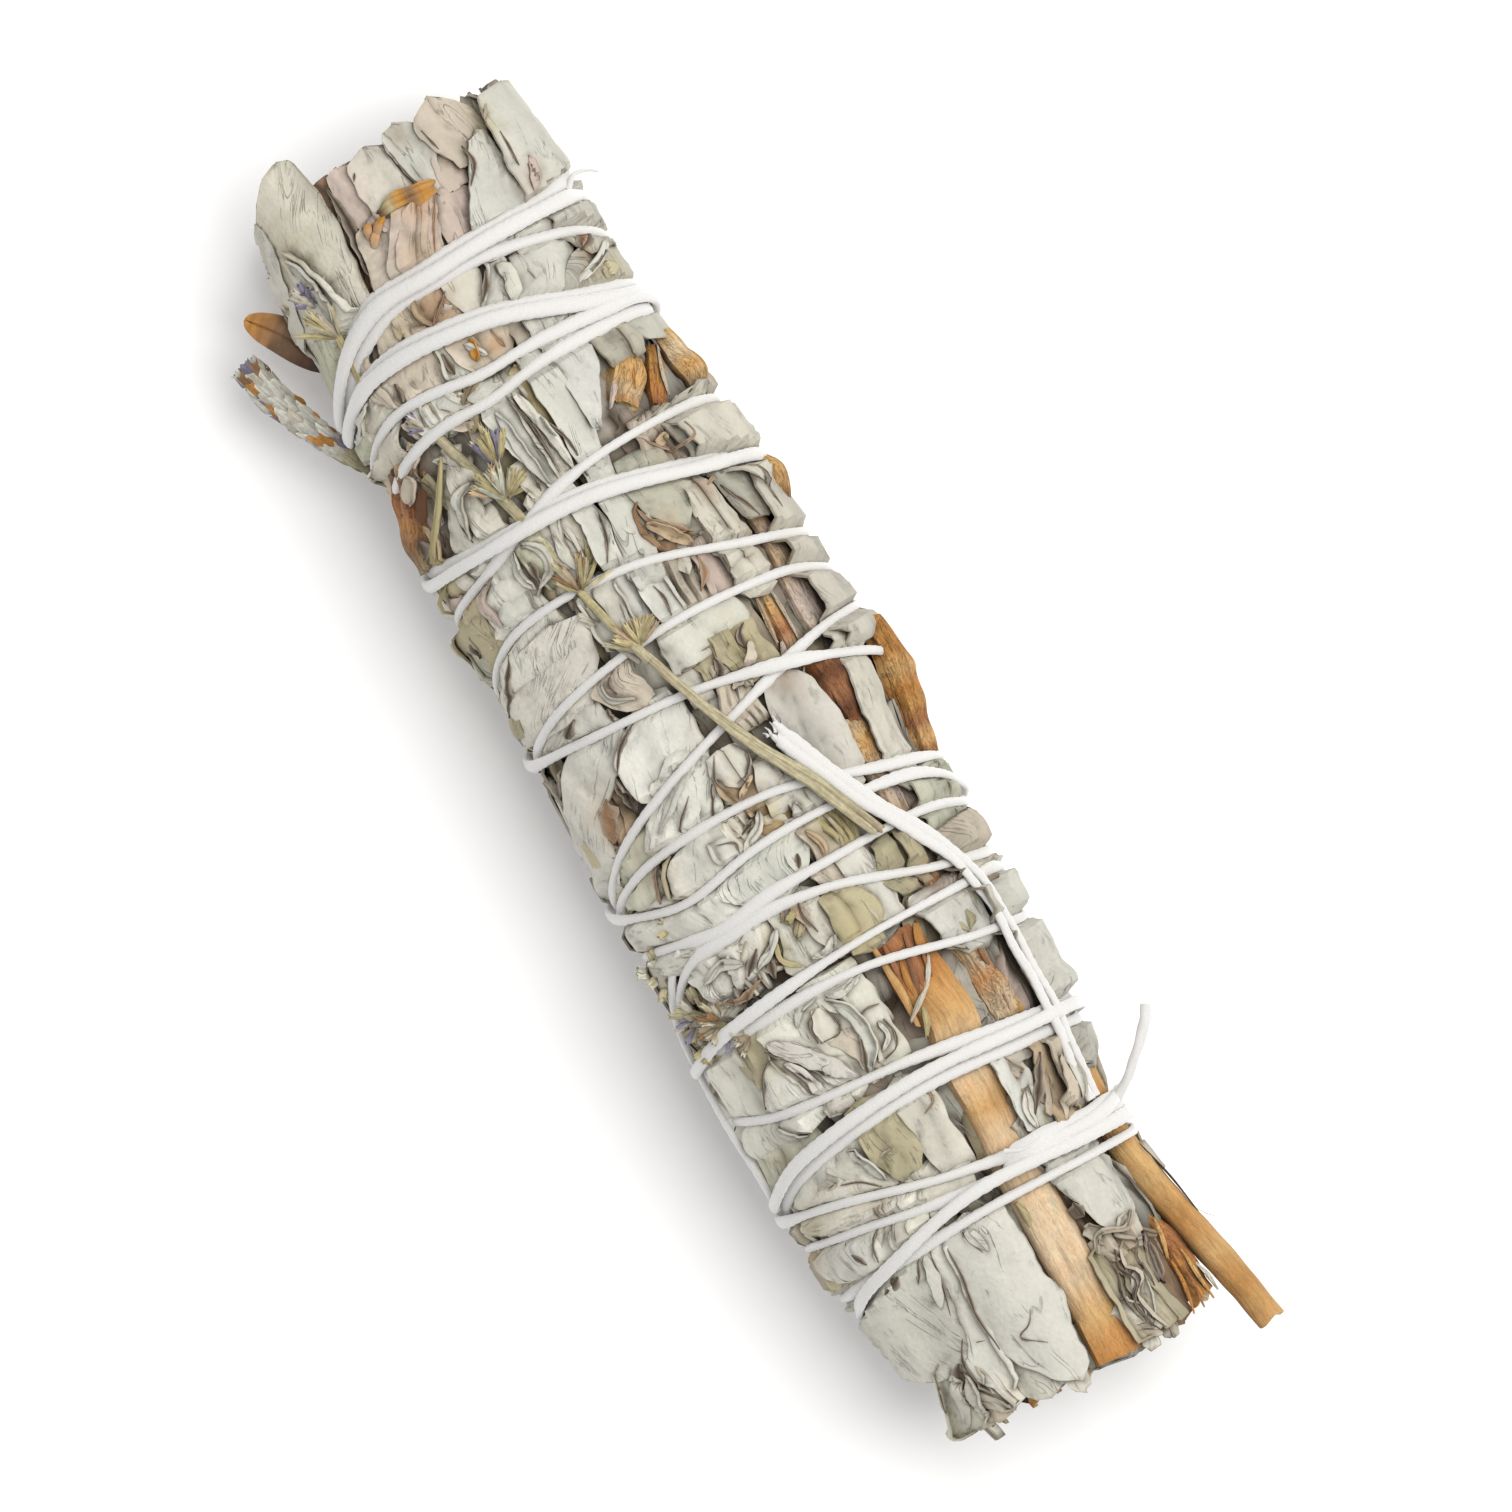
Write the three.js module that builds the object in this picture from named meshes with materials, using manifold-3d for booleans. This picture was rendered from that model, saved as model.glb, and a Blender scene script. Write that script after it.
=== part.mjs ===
// A white sage smudge stick: eight leafy sage sprigs, their brown stems and four lavender sprigs, pressed into a
// bundle about 145 mm long and 37 mm across, and wound from end to end with one cotton string.
// It lies on its side. X runs from the leaf tips to the cut stems, Y across the bundle, Z up, in millimetres.
import * as THREE from "three";
import { mergeVertices } from "three/addons/utils/BufferGeometryUtils.js";
import Module from "manifold-3d";

const wasm = await Module();
wasm.setup();

// Outline of the wound bundle seen from above: [x, y of its middle, half its width over the string].
const OUTLINE = [
  [-75, 0.9, 14.6],
  [-58, 0.9, 15.8],
  [-45, 0.1, 16.4],
  [-30, 0.4, 17.4],
  [-15, 0.6, 17.9],
  [0, 0.6, 18.8],
  [10, 0.0, 18.4],
  [22, -0.9, 18.4],
  [35, -1.4, 18.2],
  [48, -2.2, 17.6],
  [60, -1.0, 16.6],
  [76, 0.6, 15.8],
];
const HEIGHT_SHARE = 0.9; // the bundle is a little flatter than it is wide
const REST_SINK = 0.8; // how far its round underside is pressed flat by its own weight
const ORIGIN = new THREE.Vector3(0.65, -0.2, 0); // the middle of the whole part, in the frame of the numbers below

// String.
const STRING_RADIUS = 0.72; // to the corners of its four-sided section
const STRING_SIDES = 4;
const STEPS_PER_TURN = 12;
const PASSES_OUT = 17; // the rest of the passes run back to the knot
const LEAD_EIGHTHS = 5; // from the knot to the first pass it turns five eighths of the way round
const STRING_DEPTH = 0.35; // its centreline at each step, measured inwards from the outline
const LIFT_BACK = 0.4; // on its way back it lies this much higher, over its first turns
const UNDER_STRING = 1.85; // the sprigs stay this deep, just clear of the string's underside

// Sprigs.
const SPRIGS = 8;
const SPRIG_GAP = 0.36; // clear room between two sprigs
const CORE_DEPTH = 4.4;
const CORE_ARC_STEPS = 3;
const STATIONS = [-77, -63, -47, -31, -15, 1, 17, 33, 50, 66, 78]; // a sprig's core leaves out the two end ones
const FIRST_BORDER = 12; // degrees from +Y
const BORDER_TWIST = 0.05; // degrees for each mm along the bundle
const BORDER_WAVES = [
  { degrees: 4.5, length: 21, shift: 1.7 },
  { degrees: 2, length: 9, shift: 2.3 },
];

// Leaves. Lengths in mm; shares run from one of a sprig's borders to the next.
const BLADE_THICKNESS = 0.8;
const BLADE_OUTLINE = [
  [0, 0.4],
  [0.35, 1],
  [0.8, 0.85],
]; // [share of its length, share of its width]; then it ends in a point
const BLADE_RISE = 0.35; // share of its length over which it comes up out of the core
const ROOT_DEPTH = CORE_DEPTH + 1.4;
const BORDER_SHARE = 0.05; // leaves stay this far from each border
const WIDEST_HALF = 0.44;
const LEAF_SEED = 101;
const LONG_ROWS = {
  count: 6,
  tips: [-69, 40],
  lengths: [24, 34],
  halfWidths: [3.6, 5.4],
  lastRoot: 60,
  drift: 0.25,
};
const BASE_LEAVES = { tips: [64, 71], roots: [46, 50], halfWidths: [3.6, 5], drift: 0.1 };
const END_LEAVES = { depth: 8, halfWidths: [2.6, 3.6], ways: [[-50, -54, -67, -72], [54, 58, 67.5, 70.5]] };
// One leaf tip reaches out past all the others.
const LONG_LEAF = {
  sprig: 2,
  root: -50,
  tip: -74.8,
  share: 0.5,
  drift: 0,
  halfWidth: 4.4,
  rootDepth: 5.6,
  tipDepth: 1.9,
};
const CLEARANCE = 0.32; // room left round each stem and twig

// Where the string crosses the upper face on each pass: x at the -Y edge, an eighth of a turn on, at the top,
// another eighth on, and at the +Y edge. It runs from the cut stems to the leaf tips and back.
const STRING_PASSES = [
  [51.5, 50.9, 50.7, 51.6, 52.0],
  [45.4, 46.0, 48.3, 49.4, 49.3],
  [41.2, 38.1, 37.1, 38.6, 39.5],
  [30.5, 32.4, 34.0, 36.6, 37.4],
  [24.6, 23.4, 23.7, 27.0, 28.0],
  [20.5, 14.0, 14.9, 19.2, 20.6],
  [12.0, 12.4, 12.9, 13.5, 15.2],
  [7.2, 4.2, 4.2, 8.0, 10.0],
  [5.8, 0.6, -3.7, -6.9, -7.3],
  [-10.5, -13.6, -15.1, -14.0, -11.8],
  [-18.5, -22.4, -22.1, -18.0, -16.2],
  [-26.5, -28.8, -32.7, -33.1, -32.2],
  [-33.0, -31.7, -30.9, -27.4, -25.0],
  [-39.0, -43.0, -44.0, -44.0, -43.4],
  [-49.5, -51.4, -51.8, -47.6, -46.2],
  [-51.5, -53.2, -56.2, -54.2, -51.8],
  [-53.4, -54.9, -58.4, -58.6, -59.4],
  [-52.4, -54.0, -57.3, -57.4, -56.8],
  [-48.5, -50.3, -50.7, -46.5, -45.1],
  [-43.5, -47.0, -46.3, -45.4, -44.1],
  [-31.5, -30.6, -29.8, -26.2, -23.8],
  [-10.6, -9.6, -8.1, -4.3, -0.8],
  [6.6, 9.0, 8.2, 9.6, 13.2],
  [24.5, 22.4, 21.4, 21.9, 22.8],
  [40.0, 37.0, 35.9, 37.4, 38.4],
  [41.6, 42.8, 46.2, 48.6, 48.0],
  [54.2, 51.8, 48.6, 49.8, 50.4],
];
const KNOT = { x: 49.0, degrees: 22, depth: 0.1, size: 2.1, shape: [1.1, 0.7, 0.8] };
// The doubled start of the string lies along the bundle over the winding: [x, y], and its free end sticks out.
const STRING_START = [
  [-1.4, 5.2],
  [5, 7.0],
  [10, 9.1],
  [15, 11.3],
  [19, 13.1],
  [24, 14.5],
  [31, 14.7],
  [38, 14.2],
  [44, 13.8],
];
const STRING_START_RADII = [1.0, 0.8, 0.75, 0.75, 0.75, 0.75, 0.75, 0.7, 0.6];
const STRING_START_FLATNESS = 0.7;
const STRING_TAIL = [
  [48.6, 14.4, 19.6],
  [47.4, 16.6, 20.4],
  [45.6, 18.8, 20.8],
  [43.6, 21.0, 20.6],
  [41.8, 22.4, 20.0],
];
const STRING_TAIL_RADII = [0.6, 0.5, 0.5, 0.6, 0.8];

// Stems and side twigs that show on the upper face: radius, and [x, y, depth of its centreline].
const SURFACE_STEMS = {
  sage_stem_wide: { radius: 2.4, path: [[23.5, 4.5, 3.9], [31, 4.2, 3.8], [40, 3.3, 3.8], [50, 2.7, 3.8],
    [60, 2.1, 3.2], [70.6, 1.5, 3.0]] },
  sage_stem_side: { radius: 1.5, path: [[43, 13.0, 3.5], [53, 12.7, 3.4], [62, 14.1, 2.6], [70, 15.6, 1.4],
    [75.9, 16.4, 0.6]] },
  sage_stem_frayed: { radius: 1.6, path: [[57, 9.9, 3.2], [64, 11.1, 3.2], [70.8, 11.6, 3.4]] },
  sage_twig_knotted: { radius: 1.8, path: [[26.5, 10.2, 3.3], [32, 9.9, 3.3], [37.5, 9.4, 3.3]] },
  sage_twig_bark: { radius: 1.5, path: [[-4.6, 12.2, 3.0], [2.2, 12.4, 3.0]] },
  sage_twig_edge: { radius: 1.6, path: [[-5.2, 18.0, 3.1], [1, 18.0, 3.1], [9.2, 16.6, 3.1]] },
  sage_twig_flat: { radius: 1.4, path: [[-20.6, 14.2, 2.9], [-13, 14.6, 2.9], [-6.4, 14.0, 2.9]] },
  sage_twig_thin: { radius: 0.9, path: [[-14, 11.0, 2.5], [-6, 10.4, 2.5]] },
  sage_twig_pale: { radius: 1.2, path: [[3.2, 11.8, 2.8], [13.4, 11.2, 2.8]] },
  sage_twig_upper: { radius: 1.6, path: [[-40.6, 11.2, 3.1], [-35.8, 8.9, 3.1]] },
  sage_twig_split: { radius: 1.0, path: [[-38.9, 13.5, 2.5], [-33.6, 11.6, 2.5]] },
  sage_twig_corner: { radius: 1.4, path: [[-40.4, 16.4, 2.8], [-34.4, 16.6, 2.8]] },
  sage_twig_tip: { radius: 1.1, path: [[-24, 18, 2.5], [-19.6, 17.6, 2.5]] },
  sage_twig_hollow: { radius: 2.2, path: [[-43, -11.8, 3.7], [-38, -13.2, 3.7], [-32.4, -14.6, 3.7]] },
  sage_twig_curled: { radius: 1.7, path: [[15.6, 8.8, 3.2], [21.4, 9.6, 3.2]] },
};
// Each sprig's own stem, inside it: which sprig, x where it fades out among the leaves, x of its cut end, radius.
const INNER_STEMS = [
  [0, -24, 71.5, 1.5],
  [2, -38, 70.6, 1.6],
  [3, -30, 72.4, 1.8],
  [4, -42, 71.2, 1.4],
  [5, -20, 73.0, 1.9],
  [6, -34, 70.8, 1.5],
  [7, -28, 72.2, 1.7],
];
const INNER_STEM_DEPTH = 9.2;

const COLOURS = {
  leaf: { color: "#c9c7b8", roughness: 0.95, metalness: 0 },
  stem: { color: "#b98a52", roughness: 0.8, metalness: 0 },
  dryLeaf: { color: "#c08a4e", roughness: 0.85, metalness: 0 },
  lavender: { color: "#8f8b78", roughness: 0.9, metalness: 0 },
  string: { color: "#f1f0ec", roughness: 0.95, metalness: 0 },
};

const vec = (x, y, z) => new THREE.Vector3(x, y, z);
const radians = THREE.MathUtils.degToRad;
const lerp = THREE.MathUtils.lerp;

// Repeatable random numbers from 0 to 1 (mulberry32).
function seeded(seed) {
  let state = seed;
  return () => {
    state = (state + 0x6d2b79f5) | 0;
    let t = Math.imul(state ^ (state >>> 15), 1 | state);
    t = (t + Math.imul(t ^ (t >>> 7), 61 | t)) ^ t;
    return ((t ^ (t >>> 14)) >>> 0) / 4294967296;
  };
}

// The bundle's cross-section at x: the middle's y, and the half width and half height over the string.
function section(x) {
  const last = OUTLINE.length - 1;
  const row = Math.min(last - 1, Math.max(0, OUTLINE.findIndex((r) => r[0] > x) - 1));
  const [from, to] = x >= OUTLINE[last][0] ? [OUTLINE[last], OUTLINE[last]] : [OUTLINE[row], OUTLINE[row + 1]];
  const t = from === to ? 0 : THREE.MathUtils.smoothstep(x, from[0], to[0]);
  const halfWidth = lerp(from[2], to[2], t);
  return { middle: lerp(from[1], to[1], t), halfWidth, halfHeight: HEIGHT_SHARE * halfWidth };
}

// A point on the bundle at x, at an angle from +Y over the top, and a depth inwards from the outline.
function onBundle(x, degrees, depth) {
  const { middle, halfWidth, halfHeight } = section(x);
  const y = middle + (halfWidth - depth) * Math.cos(radians(degrees));
  const z = halfHeight - REST_SINK + (halfHeight - depth) * Math.sin(radians(degrees));
  return vec(x, y, Math.max(z, depth));
}

// The same, for a point of the upper face given by its y.
function onTop(x, y, depth) {
  const { middle, halfWidth } = section(x);
  const across = THREE.MathUtils.clamp((y - middle) / (halfWidth - depth), -0.995, 0.995);
  return onBundle(x, THREE.MathUtils.radToDeg(Math.acos(across)), depth);
}

// A closed solid from rings of points with flat ends. A ring of one point is a tip.
function loft(rings) {
  const positions = rings.flat().flatMap((p) => [p.x, p.y, p.z]);
  const starts = rings.map((_, i) => rings.slice(0, i).reduce((sum, r) => sum + r.length, 0));
  const triangles = [];
  const sides = Math.max(...rings.map((r) => r.length));
  for (let i = 0; i + 1 < rings.length; i++) {
    const at = (ring, k) => starts[ring] + (k % rings[ring].length);
    for (let k = 0; k < sides; k++) {
      const [a, b, c, d] = [at(i, k), at(i, k + 1), at(i + 1, k), at(i + 1, k + 1)];
      if (a !== b) triangles.push(a, b, d);
      if (c !== d) triangles.push(a, d, c);
    }
  }
  const last = rings.length - 1;
  for (let k = 1; k + 1 < rings[0].length; k++) triangles.push(starts[0], starts[0] + k + 1, starts[0] + k);
  for (let k = 1; k + 1 < rings[last].length; k++)
    triangles.push(starts[last], starts[last] + k, starts[last] + k + 1);
  return solidOf(positions, triangles);
}

function solidOf(positions, triangles) {
  const geometry = new THREE.BufferGeometry();
  geometry.setAttribute("position", new THREE.Float32BufferAttribute(positions, 3));
  geometry.setIndex(triangles);
  const merged = mergeVertices(geometry, 1e-4);
  const make = (triVerts) =>
    new wasm.Manifold(
      new wasm.Mesh({ numProp: 3, vertProperties: merged.attributes.position.array, triVerts }),
    );
  const outward = make(new Uint32Array(merged.index.array));
  return outward.volume() > 0 ? outward : make(new Uint32Array(merged.index.array).reverse());
}

// A rod along points, round or oval, with a radius for each point. Up is the way its first side faces.
// What would reach below the ground is pressed flat on it.
const STRAIGHT_UP = () => vec(0, 0, 1);

function rod(points, radii, sides, up = STRAIGHT_UP, flatness = 1) {
  const rings = points.map((p, i) => {
    const along = points[Math.min(i + 1, points.length - 1)].clone().sub(points[Math.max(i - 1, 0)]).normalize();
    const side = up(i).clone().cross(along).normalize();
    const out = along.clone().cross(side).normalize();
    return Array.from({ length: sides }, (_, k) => {
      const angle = (2 * Math.PI * (k + 0.5)) / sides;
      const corner = p
        .clone()
        .addScaledVector(side, radii[i] * Math.sin(angle))
        .addScaledVector(out, -flatness * radii[i] * Math.cos(angle));
      return corner.setZ(Math.max(corner.z, 0));
    });
  });
  return loft(rings);
}

const joined = (solids) => wasm.Manifold.union(solids);

// The largest body of a solid: what a cut leaves loose is dropped, and so is a speck shut in by a join.
function mainBody(solid) {
  return solid.decompose().sort((a, b) => b.volume() - a.volume())[0];
}

// The angle of the border between two sprigs, which wanders along the bundle.
function border(index, x) {
  const wander = BORDER_WAVES.map((w) => w.degrees * Math.sin(x / w.length + w.shift * (index % SPRIGS)));
  return (360 / SPRIGS) * index + FIRST_BORDER + wander[0] + wander[1] + BORDER_TWIST * x;
}

// A point inside a sprig, by its share of the way from one border to the next.
function inSprig(index, x, share, depth) {
  return onBundle(x, lerp(border(index, x), border(index + 1, x), share), depth);
}

const axisAt = (x) => vec(x, section(x).middle, section(x).halfHeight - REST_SINK);

// The thin sheet of free room along a border, from the bundle's middle out past its outline.
function borderRoom(index) {
  const past = -3;
  const rings = STATIONS.map((x) => {
    const inner = axisAt(x);
    const outer = onBundle(x, border(index, x), past);
    const aside = outer.clone().sub(inner).cross(vec(1, 0, 0)).setLength(SPRIG_GAP / 2);
    const moved = (p, sign) => p.clone().addScaledVector(aside, sign);
    return [moved(inner, 1), moved(outer, 1), moved(outer, -1), moved(inner, -1)];
  });
  return loft(rings);
}

// The pressed middle of a sprig, which its leaves stand out of.
function sprigCore(index) {
  const rings = STATIONS.slice(1, -1).map((x) => {
    const outer = Array.from({ length: CORE_ARC_STEPS + 1 }, (_, k) =>
      inSprig(index, x, k / CORE_ARC_STEPS, CORE_DEPTH),
    );
    return [axisAt(x), ...outer];
  });
  return loft(rings);
}

// One pressed leaf: a thin arched blade whose root is sunk in the core.
function blade(index, leaf) {
  const { root, tip, share, drift, halfWidth, rootDepth, tipDepth } = leaf;
  const half = BLADE_THICKNESS / 2;
  const rings = BLADE_OUTLINE.map(([t, width]) => {
    const x = lerp(root, tip, t);
    const depth = lerp(rootDepth, tipDepth, Math.min(1, t / BLADE_RISE));
    const arc = radians(border(index + 1, x) - border(index, x)) * (section(x).halfWidth - depth);
    const reach = Math.min(WIDEST_HALF, (halfWidth * width) / arc);
    const edge = reach + BORDER_SHARE;
    const centre = THREE.MathUtils.clamp(share + drift * t, edge, 1 - edge);
    return [
      inSprig(index, x, centre - reach, depth + half),
      inSprig(index, x, centre, depth),
      inSprig(index, x, centre + reach, depth + half),
      inSprig(index, x, centre, depth + BLADE_THICKNESS),
    ];
  });
  const end = THREE.MathUtils.clamp(share + drift, BORDER_SHARE, 1 - BORDER_SHARE);
  return loft([...rings, [inSprig(index, tip, end, tipDepth + half)]]);
}

// The leaves of one sprig: rows along its outside, those folded round its cut end, and those inside both ends.
function sprigLeaves(index) {
  const random = seeded(LEAF_SEED + index);
  const between = ([low, high]) => lerp(low, high, random());
  const drifting = (most) => between([-most, most]);
  const sides = [0.7, 0.3];
  const leaves = [];
  for (let i = 0; i < LONG_ROWS.count; i++) {
    const tip = lerp(...LONG_ROWS.tips, (i + 0.6 * random()) / LONG_ROWS.count);
    leaves.push({
      tip,
      root: Math.min(tip + between(LONG_ROWS.lengths), LONG_ROWS.lastRoot),
      share: sides[i % 2],
      drift: drifting(LONG_ROWS.drift),
      halfWidth: between(LONG_ROWS.halfWidths),
      rootDepth: ROOT_DEPTH,
      tipDepth: UNDER_STRING + 0.5 * random(),
    });
  }
  for (const share of sides) {
    leaves.push({
      tip: between(BASE_LEAVES.tips),
      root: between(BASE_LEAVES.roots),
      share,
      drift: drifting(BASE_LEAVES.drift),
      halfWidth: between(BASE_LEAVES.halfWidths),
      rootDepth: ROOT_DEPTH,
      tipDepth: UNDER_STRING + 0.4 * random(),
    });
  }
  for (const [rootLow, rootHigh, tipLow, tipHigh] of END_LEAVES.ways) {
    leaves.push({
      root: between([rootLow, rootHigh]),
      tip: between([tipLow, tipHigh]),
      share: between([0.35, 0.65]),
      drift: drifting(0.2),
      halfWidth: between(END_LEAVES.halfWidths),
      rootDepth: END_LEAVES.depth + 1,
      tipDepth: END_LEAVES.depth,
    });
  }
  if (index === LONG_LEAF.sprig) leaves.push(LONG_LEAF);
  return leaves;
}

// The string: one tube to the leaf tips and one back, which cross each other.
function stringWinding() {
  const knots = STRING_PASSES.flatMap((pass, i) => {
    const next = STRING_PASSES[i + 1];
    const under = next ? [0.25, 0.5, 0.75].map((t) => lerp(pass[4], next[0], t)) : [];
    return [...pass, ...under];
  });
  const lead = Array.from({ length: LEAD_EIGHTHS }, (_, i) => lerp(KNOT.x, knots[0], i / LEAD_EIGHTHS));
  const xs = [...lead, ...knots];
  const curve = new THREE.CatmullRomCurve3(xs.map((x, i) => vec(x, i, 0)), false, "catmullrom", 0.5);
  const eighths = xs.length - 1;
  const count = Math.round((eighths / 8) * STEPS_PER_TURN);
  const turning = Math.round(((LEAD_EIGHTHS + 8 * PASSES_OUT - 2) / 8) * STEPS_PER_TURN);
  const points = [];
  const outs = [];
  for (let i = 0; i <= count; i++) {
    const { x, y: eighth } = curve.getPoint(i / count);
    const degrees = 180 - (eighth - LEAD_EIGHTHS) * 45;
    points.push(onBundle(x, degrees, STRING_DEPTH - (i > turning ? LIFT_BACK : 0)));
    outs.push(points[i].clone().sub(axisAt(x)).normalize());
  }
  const tube = (from, to) => {
    const way = points.slice(from, to);
    return rod(way, way.map(() => STRING_RADIUS), STRING_SIDES, (k) => outs[from + k]);
  };
  return [tube(0, turning + 1), tube(turning, points.length)];
}

function cottonString() {
  const start = STRING_START.map(([x, y]) => onTop(x, y, 0));
  const tail = STRING_TAIL.map((p) => vec(...p));
  const knot = new THREE.IcosahedronGeometry(KNOT.size, 0).scale(...KNOT.shape);
  knot.translate(...onBundle(KNOT.x, KNOT.degrees, KNOT.depth).toArray());
  knot.deleteAttribute("normal").deleteAttribute("uv");
  const ball = mergeVertices(knot);
  return joined([
    ...stringWinding(),
    rod(start, STRING_START_RADII, 6, STRAIGHT_UP, STRING_START_FLATNESS),
    rod(tail, STRING_TAIL_RADII, 5),
    solidOf([...ball.attributes.position.array], [...ball.index.array]),
  ]);
}

// Lavender: a rod with whorls of calyxes, which open towards the flower end.
const CALYX_SHAPE = [0.35, 1, 0.6];
const WHORL_SPREAD = 0.34;
const WHORL_SEED = 31;

function calyx(from, way, length, radius) {
  const points = CALYX_SHAPE.map((_, i) => from.clone().addScaledVector(way, (length * i) / 2));
  return rod(points, CALYX_SHAPE.map((share) => share * radius), 3);
}

// Calyxes all round a point of a stem: along is the stem's way there.
function whorl(centre, along, count, length, radius, seed) {
  const random = seeded(seed);
  const side = vec(0, 0, 1).cross(along).normalize();
  const up = along.clone().cross(side).normalize();
  const foot = centre.clone().addScaledVector(along, -radius);
  return Array.from({ length: count }, (_, k) => {
    const angle = (2 * Math.PI * (k + 0.4 * random())) / count;
    const away = side.clone().multiplyScalar(Math.cos(angle)).addScaledVector(up, Math.sin(angle));
    const way = along.clone().addScaledVector(away, WHORL_SPREAD * (0.7 + 0.6 * random())).normalize();
    return calyx(foot, way, length * (0.85 + 0.3 * random()), radius);
  });
}

const LAVENDER = {
  // The long sprig lies over the winding, and is held under it at its flower end.
  lavender_sprig_long: {
    radius: 0.6,
    path: [[12.9, 8.0, -1.3], [0, 2.4, -1.3], [-12, -1.7, -1.3], [-23.4, -5.0, -1.2], [-26.3, -5.5, 0.6],
      [-29.0, -5.9, 2.9], [-36, -7.0, 2.9], [-41, -8.3, 2.9], [-46, -9.6, 2.9]],
    whorls: [[-15.6, -2.7, -1.8], [-35.4, -6.9, 2.9], [-44.6, -9.3, 2.9]],
    calyxes: 4,
    calyxLength: 4.2,
    calyxRadius: 0.6,
  },
  lavender_sprig_upper: {
    radius: 0.5,
    path: [[-47.6, -13.2, 2.9], [-52.5, -12.6, 2.9], [-57.2, -12.2, 2.6], [-61.0, -11.8, 1.8]],
    whorls: [[-58.4, -12.2, 2.2]],
    calyxes: 4,
    calyxLength: 3.8,
    calyxRadius: 0.7,
  },
  lavender_sprig_low: {
    radius: 0.6,
    path: [[27.5, -11.8, 3.0], [24.6, -13.2, 3.0], [21.4, -15.0, 2.8], [19.0, -16.8, 2.4]],
    whorls: [[23.2, -14.0, 3.0], [20.8, -15.5, 2.6]],
    calyxes: 4,
    calyxLength: 3.0,
    calyxRadius: 0.65,
  },
};

function lavenderSprig(sprig, grown) {
  const points = sprig.path.map(([x, y, depth]) => onTop(x, y, depth));
  const stem = rod(points, points.map(() => sprig.radius + grown), 5);
  const whorls = sprig.whorls.flatMap(([x, y, depth], i) => {
    const centre = onTop(x, y, depth);
    const away = points.map((p) => p.distanceTo(centre));
    const k = Math.max(1, away.indexOf(Math.min(...away)));
    const along = points[k].clone().sub(points[k - 1]).normalize();
    const length = sprig.calyxLength + grown;
    return whorl(centre, along, sprig.calyxes, length, sprig.calyxRadius + grown, WHORL_SEED + i);
  });
  return joined([stem, ...whorls]);
}

// The thick bud spike that sticks out beside the bundle, between two turns of the string.
const SPIKE = {
  path: [[-45.4, -13.4, 11.7], [-46.3, -16.6, 11.4], [-50.5, -19.2, 10.6], [-55.0, -20.6, 9.9],
    [-58.6, -21.6, 9.4]],
  radii: [0.7, 0.9, 1.05, 1.1, 0.95],
  buds: { rows: 4, perRow: 4, from: 0.42, to: 0.9, radius: 0.7, length: 2.6, spread: 0.3, foot: 0.62 },
};

function lavenderSpike() {
  const points = SPIKE.path.map((p) => vec(...p));
  const curve = new THREE.CatmullRomCurve3(points);
  const { rows, perRow, from, to, radius, length, spread, foot } = SPIKE.buds;
  const buds = [];
  for (let row = 0; row < rows; row++) {
    const t = lerp(from, to, row / (rows - 1));
    const along = curve.getTangent(t);
    const side = vec(0, 0, 1).cross(along).normalize();
    const up = along.clone().cross(side);
    for (let k = 0; k < perRow; k++) {
      const angle = (2 * Math.PI * (k + 0.5 * (row % 2))) / perRow;
      const away = side.clone().multiplyScalar(Math.cos(angle)).addScaledVector(up, Math.sin(angle));
      const way = along.clone().addScaledVector(away, spread).normalize();
      buds.push(calyx(curve.getPoint(t).addScaledVector(away, foot), way, length, radius));
    }
  }
  return joined([rod(points, SPIKE.radii, 5), ...buds]);
}

const spikeRoom = () => {
  const inside = SPIKE.path.slice(0, 2).map((p) => vec(...p));
  inside.unshift(inside[0].clone().lerp(inside[1], -0.2));
  return rod(inside, inside.map(() => SPIKE.radii[1] + CLEARANCE), 5);
};

// Two leaves that dried brown: a rolled one near the tips and an orange one that sticks out of the side.
// [x, y, half width], and [x, y, z, half width].
const ROLLED_LEAF = [
  [-56.8, -2.4, 2.2],
  [-60.5, -1.6, 2.9],
  [-63.5, -0.6, 3.4],
  [-66.2, 0.4, 3.6],
];
const ROLLED_LEAF_DEPTH = 2.9;
const SIDE_LEAF = [
  [-54.6, -13.6, 12.6, 1.0],
  [-57.6, -15.4, 12.4, 2.1],
  [-60.4, -17.2, 11.8, 2.2],
  [-62.8, -18.8, 11.2, 1.3],
  [-64.0, -19.6, 10.9, 0.4],
];
const LEAF_FLATNESS = 0.36;

function rolledLeaf(grown) {
  const points = ROLLED_LEAF.map(([x, y]) => onTop(x, y, ROLLED_LEAF_DEPTH));
  return rod(points, ROLLED_LEAF.map((row) => row[2] + grown), 8, STRAIGHT_UP, LEAF_FLATNESS + 0.2 * grown);
}

function sideLeaf(grown) {
  const points = SIDE_LEAF.map(([x, y, z]) => vec(x, y, z));
  return rod(points, SIDE_LEAF.map((row) => row[3] + grown), 6, STRAIGHT_UP, LEAF_FLATNESS + 0.2 * grown);
}

// A stem or twig at the surface. A grown one is the room that the leaves leave it, and is longer too.
const KNOBBLY = 0.05;

function surfaceStem(stem, grown) {
  const points = stem.path.map(([x, y, depth]) => onTop(x, y, depth));
  const last = points.length - 1;
  points[0].add(points[0].clone().sub(points[1]).setLength(1.5 * grown));
  points[last].add(points[last].clone().sub(points[last - 1]).setLength(1.5 * grown));
  const radii = points.map((_, i) => stem.radius * (1 + KNOBBLY * Math.sin(5 * i + 1)) + grown);
  return rod(points, radii, 7);
}

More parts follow.
